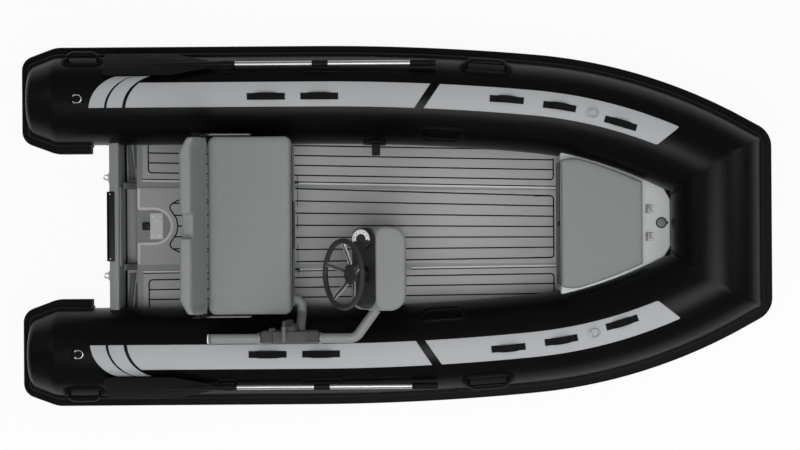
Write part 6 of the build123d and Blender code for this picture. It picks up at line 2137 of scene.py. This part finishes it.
# ------------------------------------------------------------------ console
@dataclass
class Console(SubAssembly):
    """Moulded console, its dark sloped dash and the gauge."""

    y: float = -0.210
    half: float = 0.202
    front: float = 0.042
    flare: float = 0.002
    front_corner: float = 0.092
    top: float = 0.950
    foot: float = 0.206
    dash_top: Point = (-0.100, 0.950)
    dash_foot: Point = (-0.220, 0.780)
    tuck: float = 0.040
    corner: float = 0.046
    edge: float = 0.016
    dash_half: Point = (0.1965, 0.100)
    dash_end: float = 0.056
    gauge_y: float = -0.069
    gauge_up: float = 0.026
    gauge_r: float = 0.050
    gauge_lean: float = math.radians(35)
    gauge_edge: float = 0.007

    @property
    def dash(self) -> Axes:
        """The dash's plane: x to starboard, y up the slope, z out."""
        (x0, z0), (x1, z1) = self.dash_foot, self.dash_top
        out = Vector((-(z1 - z0), 0, x1 - x0)).normalized()
        x_dir = -PORT
        return Axes(Vector(((x0 + x1) / 2, self.y, (z0 + z1) / 2)), x_dir, out.cross(x_dir), out)

    def build(self) -> None:
        """Build shell, dash and gauge."""
        self.shell()
        self.panel()
        self.gauge()

    def back_line(self) -> list[Point]:
        """Aft side outline (x, z), from the deck up to the top, with its corners eased."""
        return rounded([
            (self.dash_foot[0] + self.tuck, self.foot), (*self.dash_foot, 0.020), (*self.dash_top, 0.012),
            (self.dash_top[0] + 0.03, self.top),
        ], 0.02, 6, closed=False)

    def shell(self) -> None:
        """Horizontal slices from the deck to the top."""
        line = self.back_line()
        rings = []
        levels = sorted({*[z for _, z in line if z < self.top - 1e-4], *[
            self.foot + (self.top - self.foot - 0.001) * share for share in shares(30)]})
        for z in levels:
            back = next(x0 + (x1 - x0) * (z - z0) / (z1 - z0) for (x0, z0), (x1, z1) in zip(line, line[1:])
                        if z0 - 1e-9 <= z <= z1 + 1e-9 and z1 > z0)
            ahead = self.front + self.flare * (self.top - z) / (self.top - self.foot)
            drop = max(0.0, z - (self.top - self.edge)) / self.edge
            pull = self.edge * (1 - math.sqrt(max(0.0, 1 - min(1.0, drop) ** 2)))
            rings.append(self.slice(back, ahead - pull, self.half - pull, z, self.corner - pull * 0.5))
        flat = self.slice(self.dash_top[0] + 0.008, self.front - self.edge - 0.004,
                          self.half - self.edge - 0.004,
                          self.top, self.corner - self.edge)
        rings.append(flat)
        self.moulding = loft("console_moulding", rings, crease=50)
        self.add(self.moulding, CONSOLE_COAT, "console_shell")

    def slice(self, back: float, front: float, half: float, z: float, corner: float) -> Ring:
        """One horizontal slice with rounded corners."""
        wide = self.front_corner - self.corner + corner
        plan = rounded([(back, -half), (front, -half, wide), (front, half, wide), (back, half)], corner, 10)
        return [Vector((a, self.y + b, z)) for a, b in plan]

    def panel(self) -> None:
        """Dark lens of the dash, with a raised rim and a switch block."""
        place = self.over_shell()
        half_a, half_b, end = *self.dash_half, self.dash_end
        lens = []
        for t in turns(96):
            shift = (half_a - end) * (1 if math.cos(t) > 0 else -1)
            lens.append((shift + end * math.cos(t), half_b * math.sin(t)))
        face = plate("face", lens, place, -0.006, 0.0022, 0, 0.0015, domed=10)
        rim = loft("rim", [[place(a, b, up) for a, b in inset(lens, back)] for back, up in (
            (0.0, -0.004), (0.0, 0.003), (0.0015, 0.004), (0.004, 0.004), (0.0055, 0.002))],
                   caps=False, crease=50)
        switches = []
        for k in range(2):
            block = rectangle(0.090 + k * 0.024, 0.108 + k * 0.024, -0.052, -0.028, 0.003, 3)
            switches.append(plate("switch", block, place, 0.002, 0.0040, 0, 0.0015))
        self.add(joined("dash_lens", [face, rim, *switches], 40), DASH_FACE, "dash_panel")

    def over_shell(self) -> Place:
        """Dash coordinates laid on the moulding, which falls away at its corners."""
        tree = BVHTree.FromObject(self.moulding, bpy.context.evaluated_depsgraph_get())
        dash = self.dash

        def place(a: float, b: float, c: float) -> Vector:
            """The point at height c over the moulding."""
            spot, _, _, _ = tree.ray_cast(dash(a, b, 0.05), -dash.z)
            return (dash(a, b, 0.0) if spot is None else spot) + dash.z * c

        return place

    def gauge(self) -> None:
        """White scale ring with generic ticks, a dark middle and a bezel."""
        seat, radius = self.dash, self.gauge_r
        cos_l, sin_l = math.cos(self.gauge_lean), math.sin(self.gauge_lean)
        middle = seat(self.y - self.gauge_y, self.gauge_up, radius * sin_l + self.gauge_edge)
        hub = Axes(middle, seat.x, seat.y * cos_l - seat.z * sin_l, seat.z * cos_l + seat.y * sin_l)
        pod = lathe("gauge_pod", [
            (0.0, -0.100), (radius - 0.002, -0.100), (radius - 0.0005, -0.004), (radius - 0.0015, -0.0008),
            (radius - 0.0025, -0.0004), (radius - 0.0035, -0.003), (0.0, -0.0032)], hub, 64)
        self.add(pod, POD_FACE, "gauge")
        start, stop = math.radians(-8), math.radians(200)
        sweep_to = [start + (stop - start) * share for share in shares(40)]
        crescent = [((radius - 0.0038) * math.cos(t), (radius - 0.0038) * math.sin(t)) for t in sweep_to]
        crescent += [((radius - 0.025) * math.cos(t),
                      (radius - 0.025) * math.sin(t)) for t in reversed(sweep_to)]
        # the scale's middle faces port
        turned = Axes(hub.origin, hub.y, hub.x * -1, hub.z)
        self.add(plate("gauge_scale", crescent, turned, -0.0034, -0.0018, 0, 0.0004, 1), DIAL_AND_HIGHLIGHT)
        spans = (("gauge_ticks", [(-0.0008, 0.0400), (0.0008, 0.0400), (0.0008, 0.0455), (-0.0008, 0.0455)],
                  21),
                 ("gauge_figures", [(-0.0020, 0.0310), (0.0020, 0.0310), (0.0020, 0.0365), (-0.0020, 0.0365)],
                  7))
        for name, outline, count in spans:
            mark = plate("mark", outline, level, -0.0019, -0.0012, 0, 0.0002, 1)
            arc = (stop - start - 0.12) * count / (count - 1)
            marks = self.grower.grow("turned", mark, name, SEAMS_AND_PAINTED_SHADE, Count=count, Arc=arc)
            marks.data.transform(turned.matrix() @ Matrix.Rotation(start + 0.06 - math.pi / 2, 4, "Z"))
            self.add(marks, SEAMS_AND_PAINTED_SHADE)


@dataclass
class SteeringWheel(SubAssembly):
    """Shaft cover, dished spokes with painted highlights along their edges, hub and grip."""

    dash: Axes
    y: float = -0.236
    up: float = 0.008
    radius: float = 0.1595
    rim: float = 0.013
    standoff: float = 0.124
    dish: float = 0.046
    hub_r: float = 0.054
    hub_t: float = 0.022
    cover: float = 0.040
    spokes: int = 5
    turn: float = math.radians(18)
    body: str = "steering_wheel"

    def build(self) -> None:
        """Build the cover on the boat, and the wheel on its own body."""
        seat = self.dash
        across = (seat.origin.y - self.y)
        hub = Axes(seat(across, self.up, 0.0), seat.x, seat.y, seat.z)
        low = self.standoff - self.dish - self.hub_t / 2
        cover = lathe("shaft_cover",
                      [(0.0, -0.004), (self.cover, -0.004), (self.cover, 0.010), (0.038, 0.016),
                       (0.037, low - 0.006), (0.034, low - 0.0006), (0.0, low - 0.0005)], hub, 48)
        self.add(cover, BLACK_PLASTIC, "steering_hub")
        rings = []
        for turn in turns(120):
            out = hub.x * math.cos(turn) + hub.y * math.sin(turn)
            centre = hub.origin + out * self.radius + hub.z * self.standoff
            wave = 1 - 0.05 * max(0.0, math.cos(turn * 24))
            rings.append([centre + (out * math.cos(t) + hub.z * math.sin(t)) * self.rim * wave
                          for t in turns(20)])
        rings.append(rings[0])
        grip = loft("wheel_grip_ring", rings, caps=False, crease=60)
        self.add(grip, GRIP, "wheel_rim", body=self.body)
        height = self.standoff - self.dish
        line = rounded([(0.020, height + 0.004), (0.060, height + 0.008), (0.120, self.standoff - 0.012),
                        (self.radius - self.rim + 0.002, self.standoff - 0.001)], 0.05, 5, closed=False)
        # Each spoke is a dark bar; the two bright strips along its sides are painted highlights.
        dark, bright = [], []
        for half0, half1, thick, off, store in (
            (0.012, 0.0085, 0.0035, 0.0, dark), (0.0024, 0.0024, 0.0042, 1.0, bright),
            (0.0024, 0.0024, 0.0042, -1.0, bright),
        ):
            rings = []
            for k, (a, c) in enumerate(line):
                share = k / (len(line) - 1)
                half = half0 + (half1 - half0) * share
                shift = off * (0.0118 - 0.0033 * share)
                edge = 0.6 * half
                rings.append([Vector((shift + b, a, c + h)) for b, h in (
                    (-half, -thick * 0.5), (-edge, -thick), (edge, -thick), (half, -thick * 0.5),
                    (half, thick * 0.5),
                    (edge, thick), (-edge, thick), (-half, thick * 0.5))])
            store.append(loft("bar", rings, crease=45))
        spokes = self.grower.grow("turned", joined("spoke", dark), "wheel_spoke_bars", SPOKE,
                                  Count=self.spokes)
        placing = hub.matrix() @ Matrix.Rotation(self.turn, 4, "Z")
        spokes.data.transform(placing)
        self.add(spokes, SPOKE, "wheel_spokes", body=self.body)
        boss = lathe("wheel_boss", [
            (0.0, low), (0.038, low), (self.hub_r - 0.002, low + 0.006), (self.hub_r, height + 0.002),
            (self.hub_r - 0.002, height + 0.008), (0.040, height + 0.013), (0.030, height + 0.0145),
            (0.0285, height + 0.0132), (0.0, height + 0.0138)], hub, 48)
        self.add(boss, GRIP, body=self.body)
        # Painted highlights along the spokes' sides.
        edges = self.grower.grow("turned", joined("edges", bright), "wheel_spoke_painted_highlights", SPOKE_HIGHLIGHT,
                                 Count=self.spokes)
        edges.data.transform(placing)
        self.add(edges, SPOKE_HIGHLIGHT, body=self.body)


@dataclass
class RailAndThrottle(SubAssembly):
    """Side rail with its leg and flange, the control box, its dome and lever."""

    radius: float = 0.024
    y: float = -0.557
    z: float = 0.700
    back: float = -0.934
    bend_x: float = -0.207
    flange: Point = (-0.104, -0.412)
    leg: tuple[float, float, float] = (-0.520, -0.372, 0.490)
    leg_x: float = -0.482
    leg_out: float = -0.446
    box: tuple[float, float, float, float] = (-0.683, -0.376, -0.575, -0.517)
    box_z: Point = (0.650, 0.758)
    boss_x: float = -0.530
    boss_r: float = 0.046
    boss_t: float = 0.037
    lever_h: float = 0.140
    rake: float = 0.020

    def build(self) -> None:
        """Build the rail, then the control on it."""
        self.rail()
        self.control()
        self.lever()

    def rail(self) -> None:
        """Bent tube, its leg, end cap with a painted highlight round it, and bolted flange."""
        main = [Vector((self.back + 0.004, self.y, self.z)), Vector((self.bend_x, self.y, self.z)),
                Vector((self.flange[0], self.flange[1] - 0.004, self.z))]
        leg = [Vector(self.leg), Vector((self.leg_x, self.leg[1], self.leg[2])),
               Vector((self.leg_x, self.leg_out, self.leg[2])), Vector((self.leg_x, self.y, self.z))]
        run = self.grower.bar("run", RAIL_PAINT, [main], self.radius, 0.062, 32)
        post = self.grower.bar("post", RAIL_PAINT, [leg], self.radius - 0.0004, 0.042, 28)
        ahead = Axes(Vector((self.back, self.y, self.z)), PORT, UP, AHEAD)
        cap = lathe("cap", [(0.0, 0.0), (self.radius - 0.004, 0.0), (self.radius - 0.0005, 0.003),
                            (self.radius, 0.006), (self.radius, 0.02), (0.0, 0.02)], ahead, 32)
        turned = Axes(Vector((self.flange[0], self.flange[1], self.z)), AHEAD, UP,
                      -PORT)
        disc = lathe("flange", [(0.0, 0.0), (0.042, 0.0), (0.042, 0.006), (0.040, 0.0095), (0.030, 0.010),
                                (0.0, 0.010)],
                     turned, 48)
        self.add(joined("side_rail_tube", [run, post, cap, disc], 45), RAIL_PAINT, "side_rail")
        # The near-white band round the end cap is a painted highlight on its edge.
        rim = lathe("rail_end_painted_highlight",
                    [(0.0, -0.001), (self.radius - 0.001, -0.001), (self.radius + 0.0006, 0.0005),
                     (self.radius + 0.0006, 0.005), (self.radius - 0.001, 0.0055), (0.0, 0.0055)],
                    ahead, 32)
        self.add(rim, DIAL_AND_HIGHLIGHT)
        bolts = [(turned(0.034 * math.cos(t), 0.034 * math.sin(t), 0.009), turned.z) for t in
                 [math.pi / 4 + k * math.pi / 2 for k in range(4)]]
        self.add(self.grower.studs("rail_flange_bolts", STEEL, bolts, 0.0032), STEEL)
        foot = Axes(Vector((self.leg[0], self.leg[1], self.leg[2])), PORT, UP,
                    AHEAD)
        collar = lathe("leg_collar",
                       [(0.024, 0.0), (0.034, 0.0), (0.034, 0.004), (0.030, 0.006), (0.024, 0.006),
                        (0.024, 0.0)], foot, 40)
        self.add(collar, RAIL_PAINT)

    def control(self) -> None:
        """Chamfered control box in three facets, with its dome, clamps and a side block."""
        x0, x1, y0, y1 = self.box
        low, high = self.box_z
        rings = []
        for x, wide, tall in (
            (x0, 0.66, 0.62), (x0 + 0.002, 0.70, 0.66), (x0 + 0.018, 0.97, 0.78), (x0 + 0.021, 1.0, 0.80),
            (x0 + 0.068, 1.0, 0.86), (x0 + 0.071, 1.0, 0.98), (x0 + 0.074, 1.0, 1.0), (x1 - 0.074, 1.0, 1.0),
            (x1 - 0.070, 1.0, 0.98), (x1 - 0.020, 1.0, 0.82), (x1 - 0.017, 0.97, 0.80),
            (x1 - 0.002, 0.70, 0.68),
            (x1, 0.66, 0.64),
        ):
            inner, crown = y0 + (y1 - y0) * wide, low + (high - low) * tall
            section = rounded([(y0, low), (inner, low), (inner, crown, 0.007), (y0, crown, 0.003)], 0.004, 4)
            rings.append([Vector((x, a, b)) for a, b in section])
        body = loft("body", rings, crease=22)
        side = Axes(Vector((self.boss_x, y1, (low + high) / 2)), AHEAD, -UP, PORT)
        dome = lathe("dome", [(0.0, -0.002), (self.boss_r, -0.002), (self.boss_r, 0.010), (0.044, 0.020),
                              (0.036, 0.030),
                              (0.022, 0.0375), (0.008, self.boss_t), (0.0, self.boss_t)], side, 48)
        block = plate("block", rectangle(x0 + 0.052, x0 + 0.084, y1 - 0.004, y1 + 0.012, 0.003, 3), level,
                      low + 0.03, high - 0.02, 0, 0.003)
        self.add(joined("throttle_housing", [body, dome, block], 26), THROTTLE_PAINT, "throttle_box")
        rings = []
        for x, reach in ((x0 - 0.006, 0.016), (x1 - 0.010, 0.016)):
            axes = Axes(Vector((x, self.y, self.z)), PORT, UP, AHEAD)
            rings.append(lathe("clamp",
                               [(0.0242, 0.0), (0.027, 0.0), (0.0285, 0.0015), (0.0285, reach - 0.0015),
                                (0.027, reach), (0.0242, reach), (0.0242, 0.0)], axes, 40))
        self.add(joined("rail_clamps", rings), RAIL_PAINT)

    def lever(self) -> None:
        """Throttle arm with its pivot and cross grip."""
        y = self.box[3] + self.boss_t + 0.007
        foot = Vector((self.boss_x, y, (self.box_z[0] + self.box_z[1]) / 2))
        top = Vector((self.boss_x - self.rake, y, foot.z + self.lever_h))
        axes = axes_along(foot, top - foot, PORT)
        length = (top - foot).length
        blade = rounded([(-0.016, -0.016, 0.014), (0.02, -0.015, 0.02), (length, -0.009, 0.006),
                         (length, 0.009, 0.006),
                         (0.02, 0.015, 0.02), (-0.016, 0.016, 0.014)], 0.01, 5)
        arm = plate("arm", blade, axes, -0.0085, 0.0085, 0.003, 0.003)
        pivot = lathe("pivot",
                      [(0.0, -0.0098), (0.018, -0.0098), (0.018, 0.006), (0.013, 0.0098), (0.0, 0.0098)],
                      Axes(foot, AHEAD, -UP, PORT), 32)
        across = Axes(top, AHEAD, -UP, PORT)
        neck = lathe("neck", [(0.0, -0.030), (0.007, -0.030), (0.007, 0.007), (0.0, 0.008)], across, 20)
        self.add(joined("throttle_arm", [arm, pivot, neck], 45), THROTTLE_PAINT, "throttle_lever")
        profile = [(0.0, -0.090), (0.007, -0.090), (0.0105, -0.086), (0.0112, -0.060), (0.0100, -0.045),
                   (0.0108, -0.030), (0.0100, -0.019), (0.007, -0.0172), (0.0, -0.017)]
        self.add(lathe("throttle_grip", profile, across, 28), LEVER_PAINT)


# ------------------------------------------------------------------ bow locker
@dataclass
class BowLocker(SubAssembly):
    """Locker in the bow with its lid, cushion, hinges, latch and light socket."""

    deck: Deck
    back: float = 0.829
    top: float = 0.440
    foot: float = 0.206
    nose: float = 1.3864
    shoulder: float = 1.3544
    nose_half: float = 0.118
    corner: float = 0.026
    lid_front: float = 1.2434
    lid_t: float = 0.012
    lid_gap: float = 0.016
    rim: float = 0.045
    wall: float = 0.012
    pad_t: float = 0.050
    pad_gap: tuple[float, float] = (0.009, 0.018)
    pad_aft: float = 0.325
    hinge_y: float = 0.070
    hinge_x: float = 1.2654
    light_x: float = 1.3404
    body_lid: str = "locker_lid_body"

    def beside(self, x0: float, x1: float, gap0: float, gap1: float, z: float | None = None) -> list[Point]:
        """Half outline beside the port tube's inner side, from aft to front."""
        height = self.top if z is None else z
        return [(x0 + (x1 - x0) * share, self.deck.skin_y(x0 + (x1 - x0) * share, height)
                 - gap0 - share * (gap1 - gap0)) for share in shares(14)]

    def build(self) -> None:
        """Build the box, the lid and what is on them."""
        self.box()
        self.lid()
        self.cushion()
        self.hinges()
        self.fittings()

    def box(self) -> None:
        """Moulded locker, open under its lid, with a raised lip, and painted shade on its aft face."""
        half = [(a, b + 0.002, 0.0) for a, b in self.beside(self.back, self.shoulder, 0, 0)]
        half[0] = (self.back, half[0][1], 0.010)
        half[-1] = (*half[-1][:2], self.corner)
        outer = rounded(mirrored_plan([*half, (self.nose, self.nose_half, self.corner)]), 0.0, 6)
        inner_half = [(a, b, 0.0) for a, b in self.beside(
            self.back + self.wall, self.lid_front - self.rim, self.rim, self.rim)]
        inner = rounded(mirrored_plan(inner_half), 0.0, 4)
        shell = open_box("locker_moulding", outer, inner, self.foot, self.foot + self.wall, self.top, 0.006)
        self.add(shell, LOCKER_COAT, "bow_locker")
        # Painted shade on the aft face: a mid-grey panel, and a near-black strip along its top, where the
        # face is darkest.
        for name, half_width, low, high, finish in (
                ("locker_aft_painted_shade", 0.312, 0.222, 0.398, LOCKER_PAINTED_SHADE),
                ("locker_aft_seal", 0.318, 0.403, 0.430, SEAMS_AND_PAINTED_SHADE)):
            face = plate(name, rectangle(-half_width, half_width, low, high, 0.008, 4),
                         crosswise(self.back, -1), -0.001, 0.0016, 0, 0.0012)
            self.add(face, finish)

    def lid(self) -> None:
        """The lid board, with a soft upper edge."""
        half = [(a, b, 0.0) for a,
                b in self.beside(self.back + 0.002, self.lid_front, self.lid_gap, self.lid_gap)]
        half[0] = (*half[0][:2], 0.015)
        plan = rounded(mirrored_plan(half), 0.0, 5)
        board = plate("locker_lid_board", plan, level, self.top + 0.0004, self.top + self.lid_t, 0.001, 0.003,
                      3)
        self.add(board, LOCKER_COAT, "locker_lid", body=self.body_lid)

    def cushion_plan(self, back: float) -> list[Point]:
        """The cushion's outline, moved inwards by back."""
        half = [(a, min(b, self.pad_aft + 0.10 * (a - self.back)), 0.0) for a, b in self.beside(
            self.back - 0.002, self.lid_front - 0.001, self.pad_gap[0], self.pad_gap[1])]
        half[0] = (*half[0][:2], 0.016)
        half[-1] = (*half[-1][:2], 0.008)
        return inset(rounded(mirrored_plan(half), 0.0, 6), back)

    def cushion(self) -> None:
        """The locker cushion: crowned, with a welt and stitches low round its side."""
        low = self.top + self.lid_t + 0.0006
        plan = self.cushion_plan(-0.001)
        start = plate("locker_cushion_pad", plan, level, low, self.top + self.pad_t - 0.004, 0.003, 0.008, 5,
                      domed=5,
                      rise=0.001)
        self.upholster(start, plan, low, 0.0055, 0.004, 0.85, Piping(0.008, 0.006, 0.0018, 0.0),
                       self.body_lid)

    def hinges(self) -> None:
        """Two butt hinges: a barrel between two bars and a C-shaped leaf ahead of it."""
        parts, screws = [], []
        z = self.top + 0.008
        for y in (self.hinge_y, -self.hinge_y):
            axes = Axes(Vector((self.hinge_x, y, z)), UP, AHEAD, PORT)
            for y0, y1 in ((-0.022, -0.0085), (-0.0075, 0.0075), (0.0085, 0.022)):
                parts.append(lathe("knuckle", [(0.0, y0), (0.0048, y0), (0.0048, y1), (0.0, y1)], axes, 16))
            leaf = rounded([
                (self.hinge_x - 0.004, y - 0.022), (self.hinge_x + 0.033, y - 0.022),
                (self.hinge_x + 0.033, y - 0.008),
                (self.hinge_x + 0.024, y - 0.008), (self.hinge_x + 0.024, y + 0.008),
                (self.hinge_x + 0.033, y + 0.008),
                (self.hinge_x + 0.033, y + 0.022), (self.hinge_x - 0.004, y + 0.022)], 0.0025, 3)
            parts.append(plate("leaf", leaf, level, self.top + 0.0002, self.top + 0.0034, 0, 0.001, 2))
            for x in (0.009, 0.017):
                bar = rectangle(self.hinge_x + x - 0.002, self.hinge_x + x + 0.002, y - 0.021, y + 0.021,
                                0.001, 2)
                parts.append(plate("bar", bar, level, self.top + 0.002, self.top + 0.0048, 0, 0.001, 2))
            screws += [(Vector((self.hinge_x + 0.0275, y + dy, self.top + 0.0034)), UP)
                       for dy in (-0.015, 0.015)]
        self.add(joined("locker_hinge_pair", parts), HINGE_GREY, "locker_hinges")
        self.add(self.grower.studs("locker_hinge_screws", STEEL, screws, 0.0022), STEEL)

    def fittings(self) -> None:
        """Light socket with its cover and nub, and the latch on the aft face."""
        axes = Axes(Vector((self.light_x, 0, self.top)), AHEAD, PORT, UP)
        ring = lathe("socket_ring",
                     [(0.0, 0.0), (0.028, 0.0), (0.028, 0.003), (0.026, 0.006), (0.0235, 0.0065),
                      (0.0225, 0.004), (0.0, 0.004)], axes, 48)
        nub = plate("nub", oval(0.016, 0.012, 5), lambda a, b, c: axes(a + 0.028, b, c), 0.0, 0.005, 0, 0.002)
        self.add(joined("light_socket_ring", [ring, nub]), BLACK_PLASTIC, "light_socket")
        cover = lathe("light_socket_cover", [(0.0, 0.0075), (0.010, 0.0078), (0.018, 0.0074), (0.0222, 0.006),
                                             (0.0224, 0.0042), (0.0, 0.0041)], axes, 40)
        self.add(cover, SOCKET_GREY)
        place = crosswise(self.back, -1)
        body = plate("latch", rectangle(-0.013, 0.013, 0.382, 0.428, 0.004, 4),
                     place, 0.0002, 0.0085, 0, 0.003)
        tongue = plate("tongue", rectangle(-0.008, 0.008, 0.390, 0.415, 0.003, 4),
                       place, 0.008, 0.012, 0, 0.002)
        self.add(joined("locker_latch_body", [body, tongue]), BLACK_PLASTIC, "locker_latch")


# ------------------------------------------------------------------ studio
@dataclass
class Studio:
    """Pale floor at the waterline, soft lamps and the camera."""

    camera_at: tuple[float, float, float] = (0.0149, -0.0026, 8.82)
    lens: float = 74.35
    roll: float = math.radians(-0.4)
    floor_half: float = 30.0
    floor_glow: float = 0.93
    # place, aim, size, power
    lamps: tuple[tuple[tuple, tuple, tuple, float], ...] = (
        ((0.3, -1.5, 6.8), (0.0, 0.0, 0.3), (4.2, 3.6), 232.0),
        ((5.0, 1.6, 4.6), (0.4, 0.0, 0.3), (3.0, 3.0), 52.0),
        ((-5.0, 1.6, 4.6), (-0.4, 0.0, 0.3), (3.0, 3.0), 18.0),
        ((-0.3, -5.2, 3.4), (0.0, 0.0, 0.4), (3.0, 2.4), 72.0),
    )
    sky: float = 0.25
    bounce_z: float = 4.0

    def build(self) -> None:
        """Build the floor, the lamps, the world and the camera."""
        self.floor()
        for number, (place, aim, size, power) in enumerate(self.lamps):
            self.lamp(f"soft_lamp_{number + 1}", Vector(place), Vector(aim), size, power)
        self.world()
        self.camera()
        view = bpy.context.scene.view_settings
        view.view_transform = "Standard"

    def floor(self) -> None:
        """A plane that the camera sees as white with the boat's soft shadow."""
        half = self.floor_half
        mesh = bpy.data.meshes.new("floor")
        mesh.from_pydata([(-half, -half, 0), (half, -half, 0), (half, half, 0), (-half, half, 0)], [],
                         [(0, 1, 2, 3)])
        plane = placed("floor", mesh)
        material = bpy.data.materials.new("pale floor")
        material.use_nodes = True
        tree = material.node_tree
        tree.nodes.remove(tree.nodes["Principled BSDF"])
        paint = add_node(tree, "ShaderNodeBsdfDiffuse", {"Color": (0.9, 0.9, 0.9, 1)})
        glow = add_node(tree, "ShaderNodeEmission")
        rays = add_node(tree, "ShaderNodeLightPath").outputs
        mirrored = add_node(tree, "ShaderNodeMath",
                            {0: rays["Is Glossy Ray"], 1: rays["Is Transmission Ray"]},
                            operation="MAXIMUM")
        seen = add_node(tree, "ShaderNodeMath", {0: rays["Is Camera Ray"], 1: mirrored.outputs[0]},
                        operation="MAXIMUM")
        share = add_node(tree, "ShaderNodeMath", {0: seen.outputs[0], 1: self.floor_glow},
                         operation="MULTIPLY")
        mix = add_node(tree, "ShaderNodeMixShader",
                       {"Fac": share.outputs[0], 1: paint.outputs[0], 2: glow.outputs[0]})
        tree.links.new(mix.outputs[0], tree.nodes["Material Output"].inputs["Surface"])
        mesh.materials.append(material)

    def lamp(self, name: str, place: Vector, aim: Vector, size: tuple[float, float], power: float) -> None:
        """A soft rectangular lamp turned towards aim."""
        data = bpy.data.lights.new(name, "AREA")
        data.shape = "RECTANGLE"
        data.size, data.size_y = size
        data.energy = power
        lamp = placed(name, data)
        lamp.location = place
        lamp.rotation_euler = (aim - place).to_track_quat("-Z", "Y").to_euler()
        lamp.visible_glossy = place.z > self.bounce_z

    def world(self) -> None:
        """An even pale sky, white to the camera and dimmer for every other ray."""
        world = bpy.data.worlds.new("pale sky")
        world.use_nodes = True
        tree = world.node_tree
        back = tree.nodes["Background"]
        back.inputs["Color"].default_value = (1, 1, 1, 1)
        ray = add_node(tree, "ShaderNodeLightPath").outputs["Is Camera Ray"]
        seen = add_node(tree, "ShaderNodeMapRange", {"Value": ray, "To Min": self.sky, "To Max": 1.0})
        tree.links.new(seen.outputs["Result"], back.inputs["Strength"])
        bpy.context.scene.world = world

    def camera(self) -> None:
        """The camera, looking straight down."""
        data = bpy.data.cameras.new("camera")
        data.type = "PERSP"
        data.lens = self.lens
        data.sensor_width = 36.0
        data.clip_end = 200.0
        data.dof.use_dof = False
        camera = placed("camera", data)
        camera.location = self.camera_at
        camera.rotation_euler = (0.0, 0.0, self.roll)
        bpy.context.scene.camera = camera


def main() -> None:
    """Build every sub-assembly in order, then the studio."""
    logging.basicConfig(level=logging.INFO, format="%(message)s")
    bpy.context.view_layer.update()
    bpy.context.scene.frame_set(1)
    Studio().build()
    grower = Grower()
    deck, console = Deck(grower), Console(grower)
    for part in (
        Tubes(grower), Strake(grower), TubePanels(grower), TubeFittings(grower), Paddles(grower),
        Hull(grower),
        Stern(grower), deck, HelmSeat(grower), console, SteeringWheel(grower, console.dash),
        RailAndThrottle(grower), BowLocker(grower, deck),
    ):
        part.build()
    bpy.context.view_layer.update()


if __name__ == "__main__":
    main()
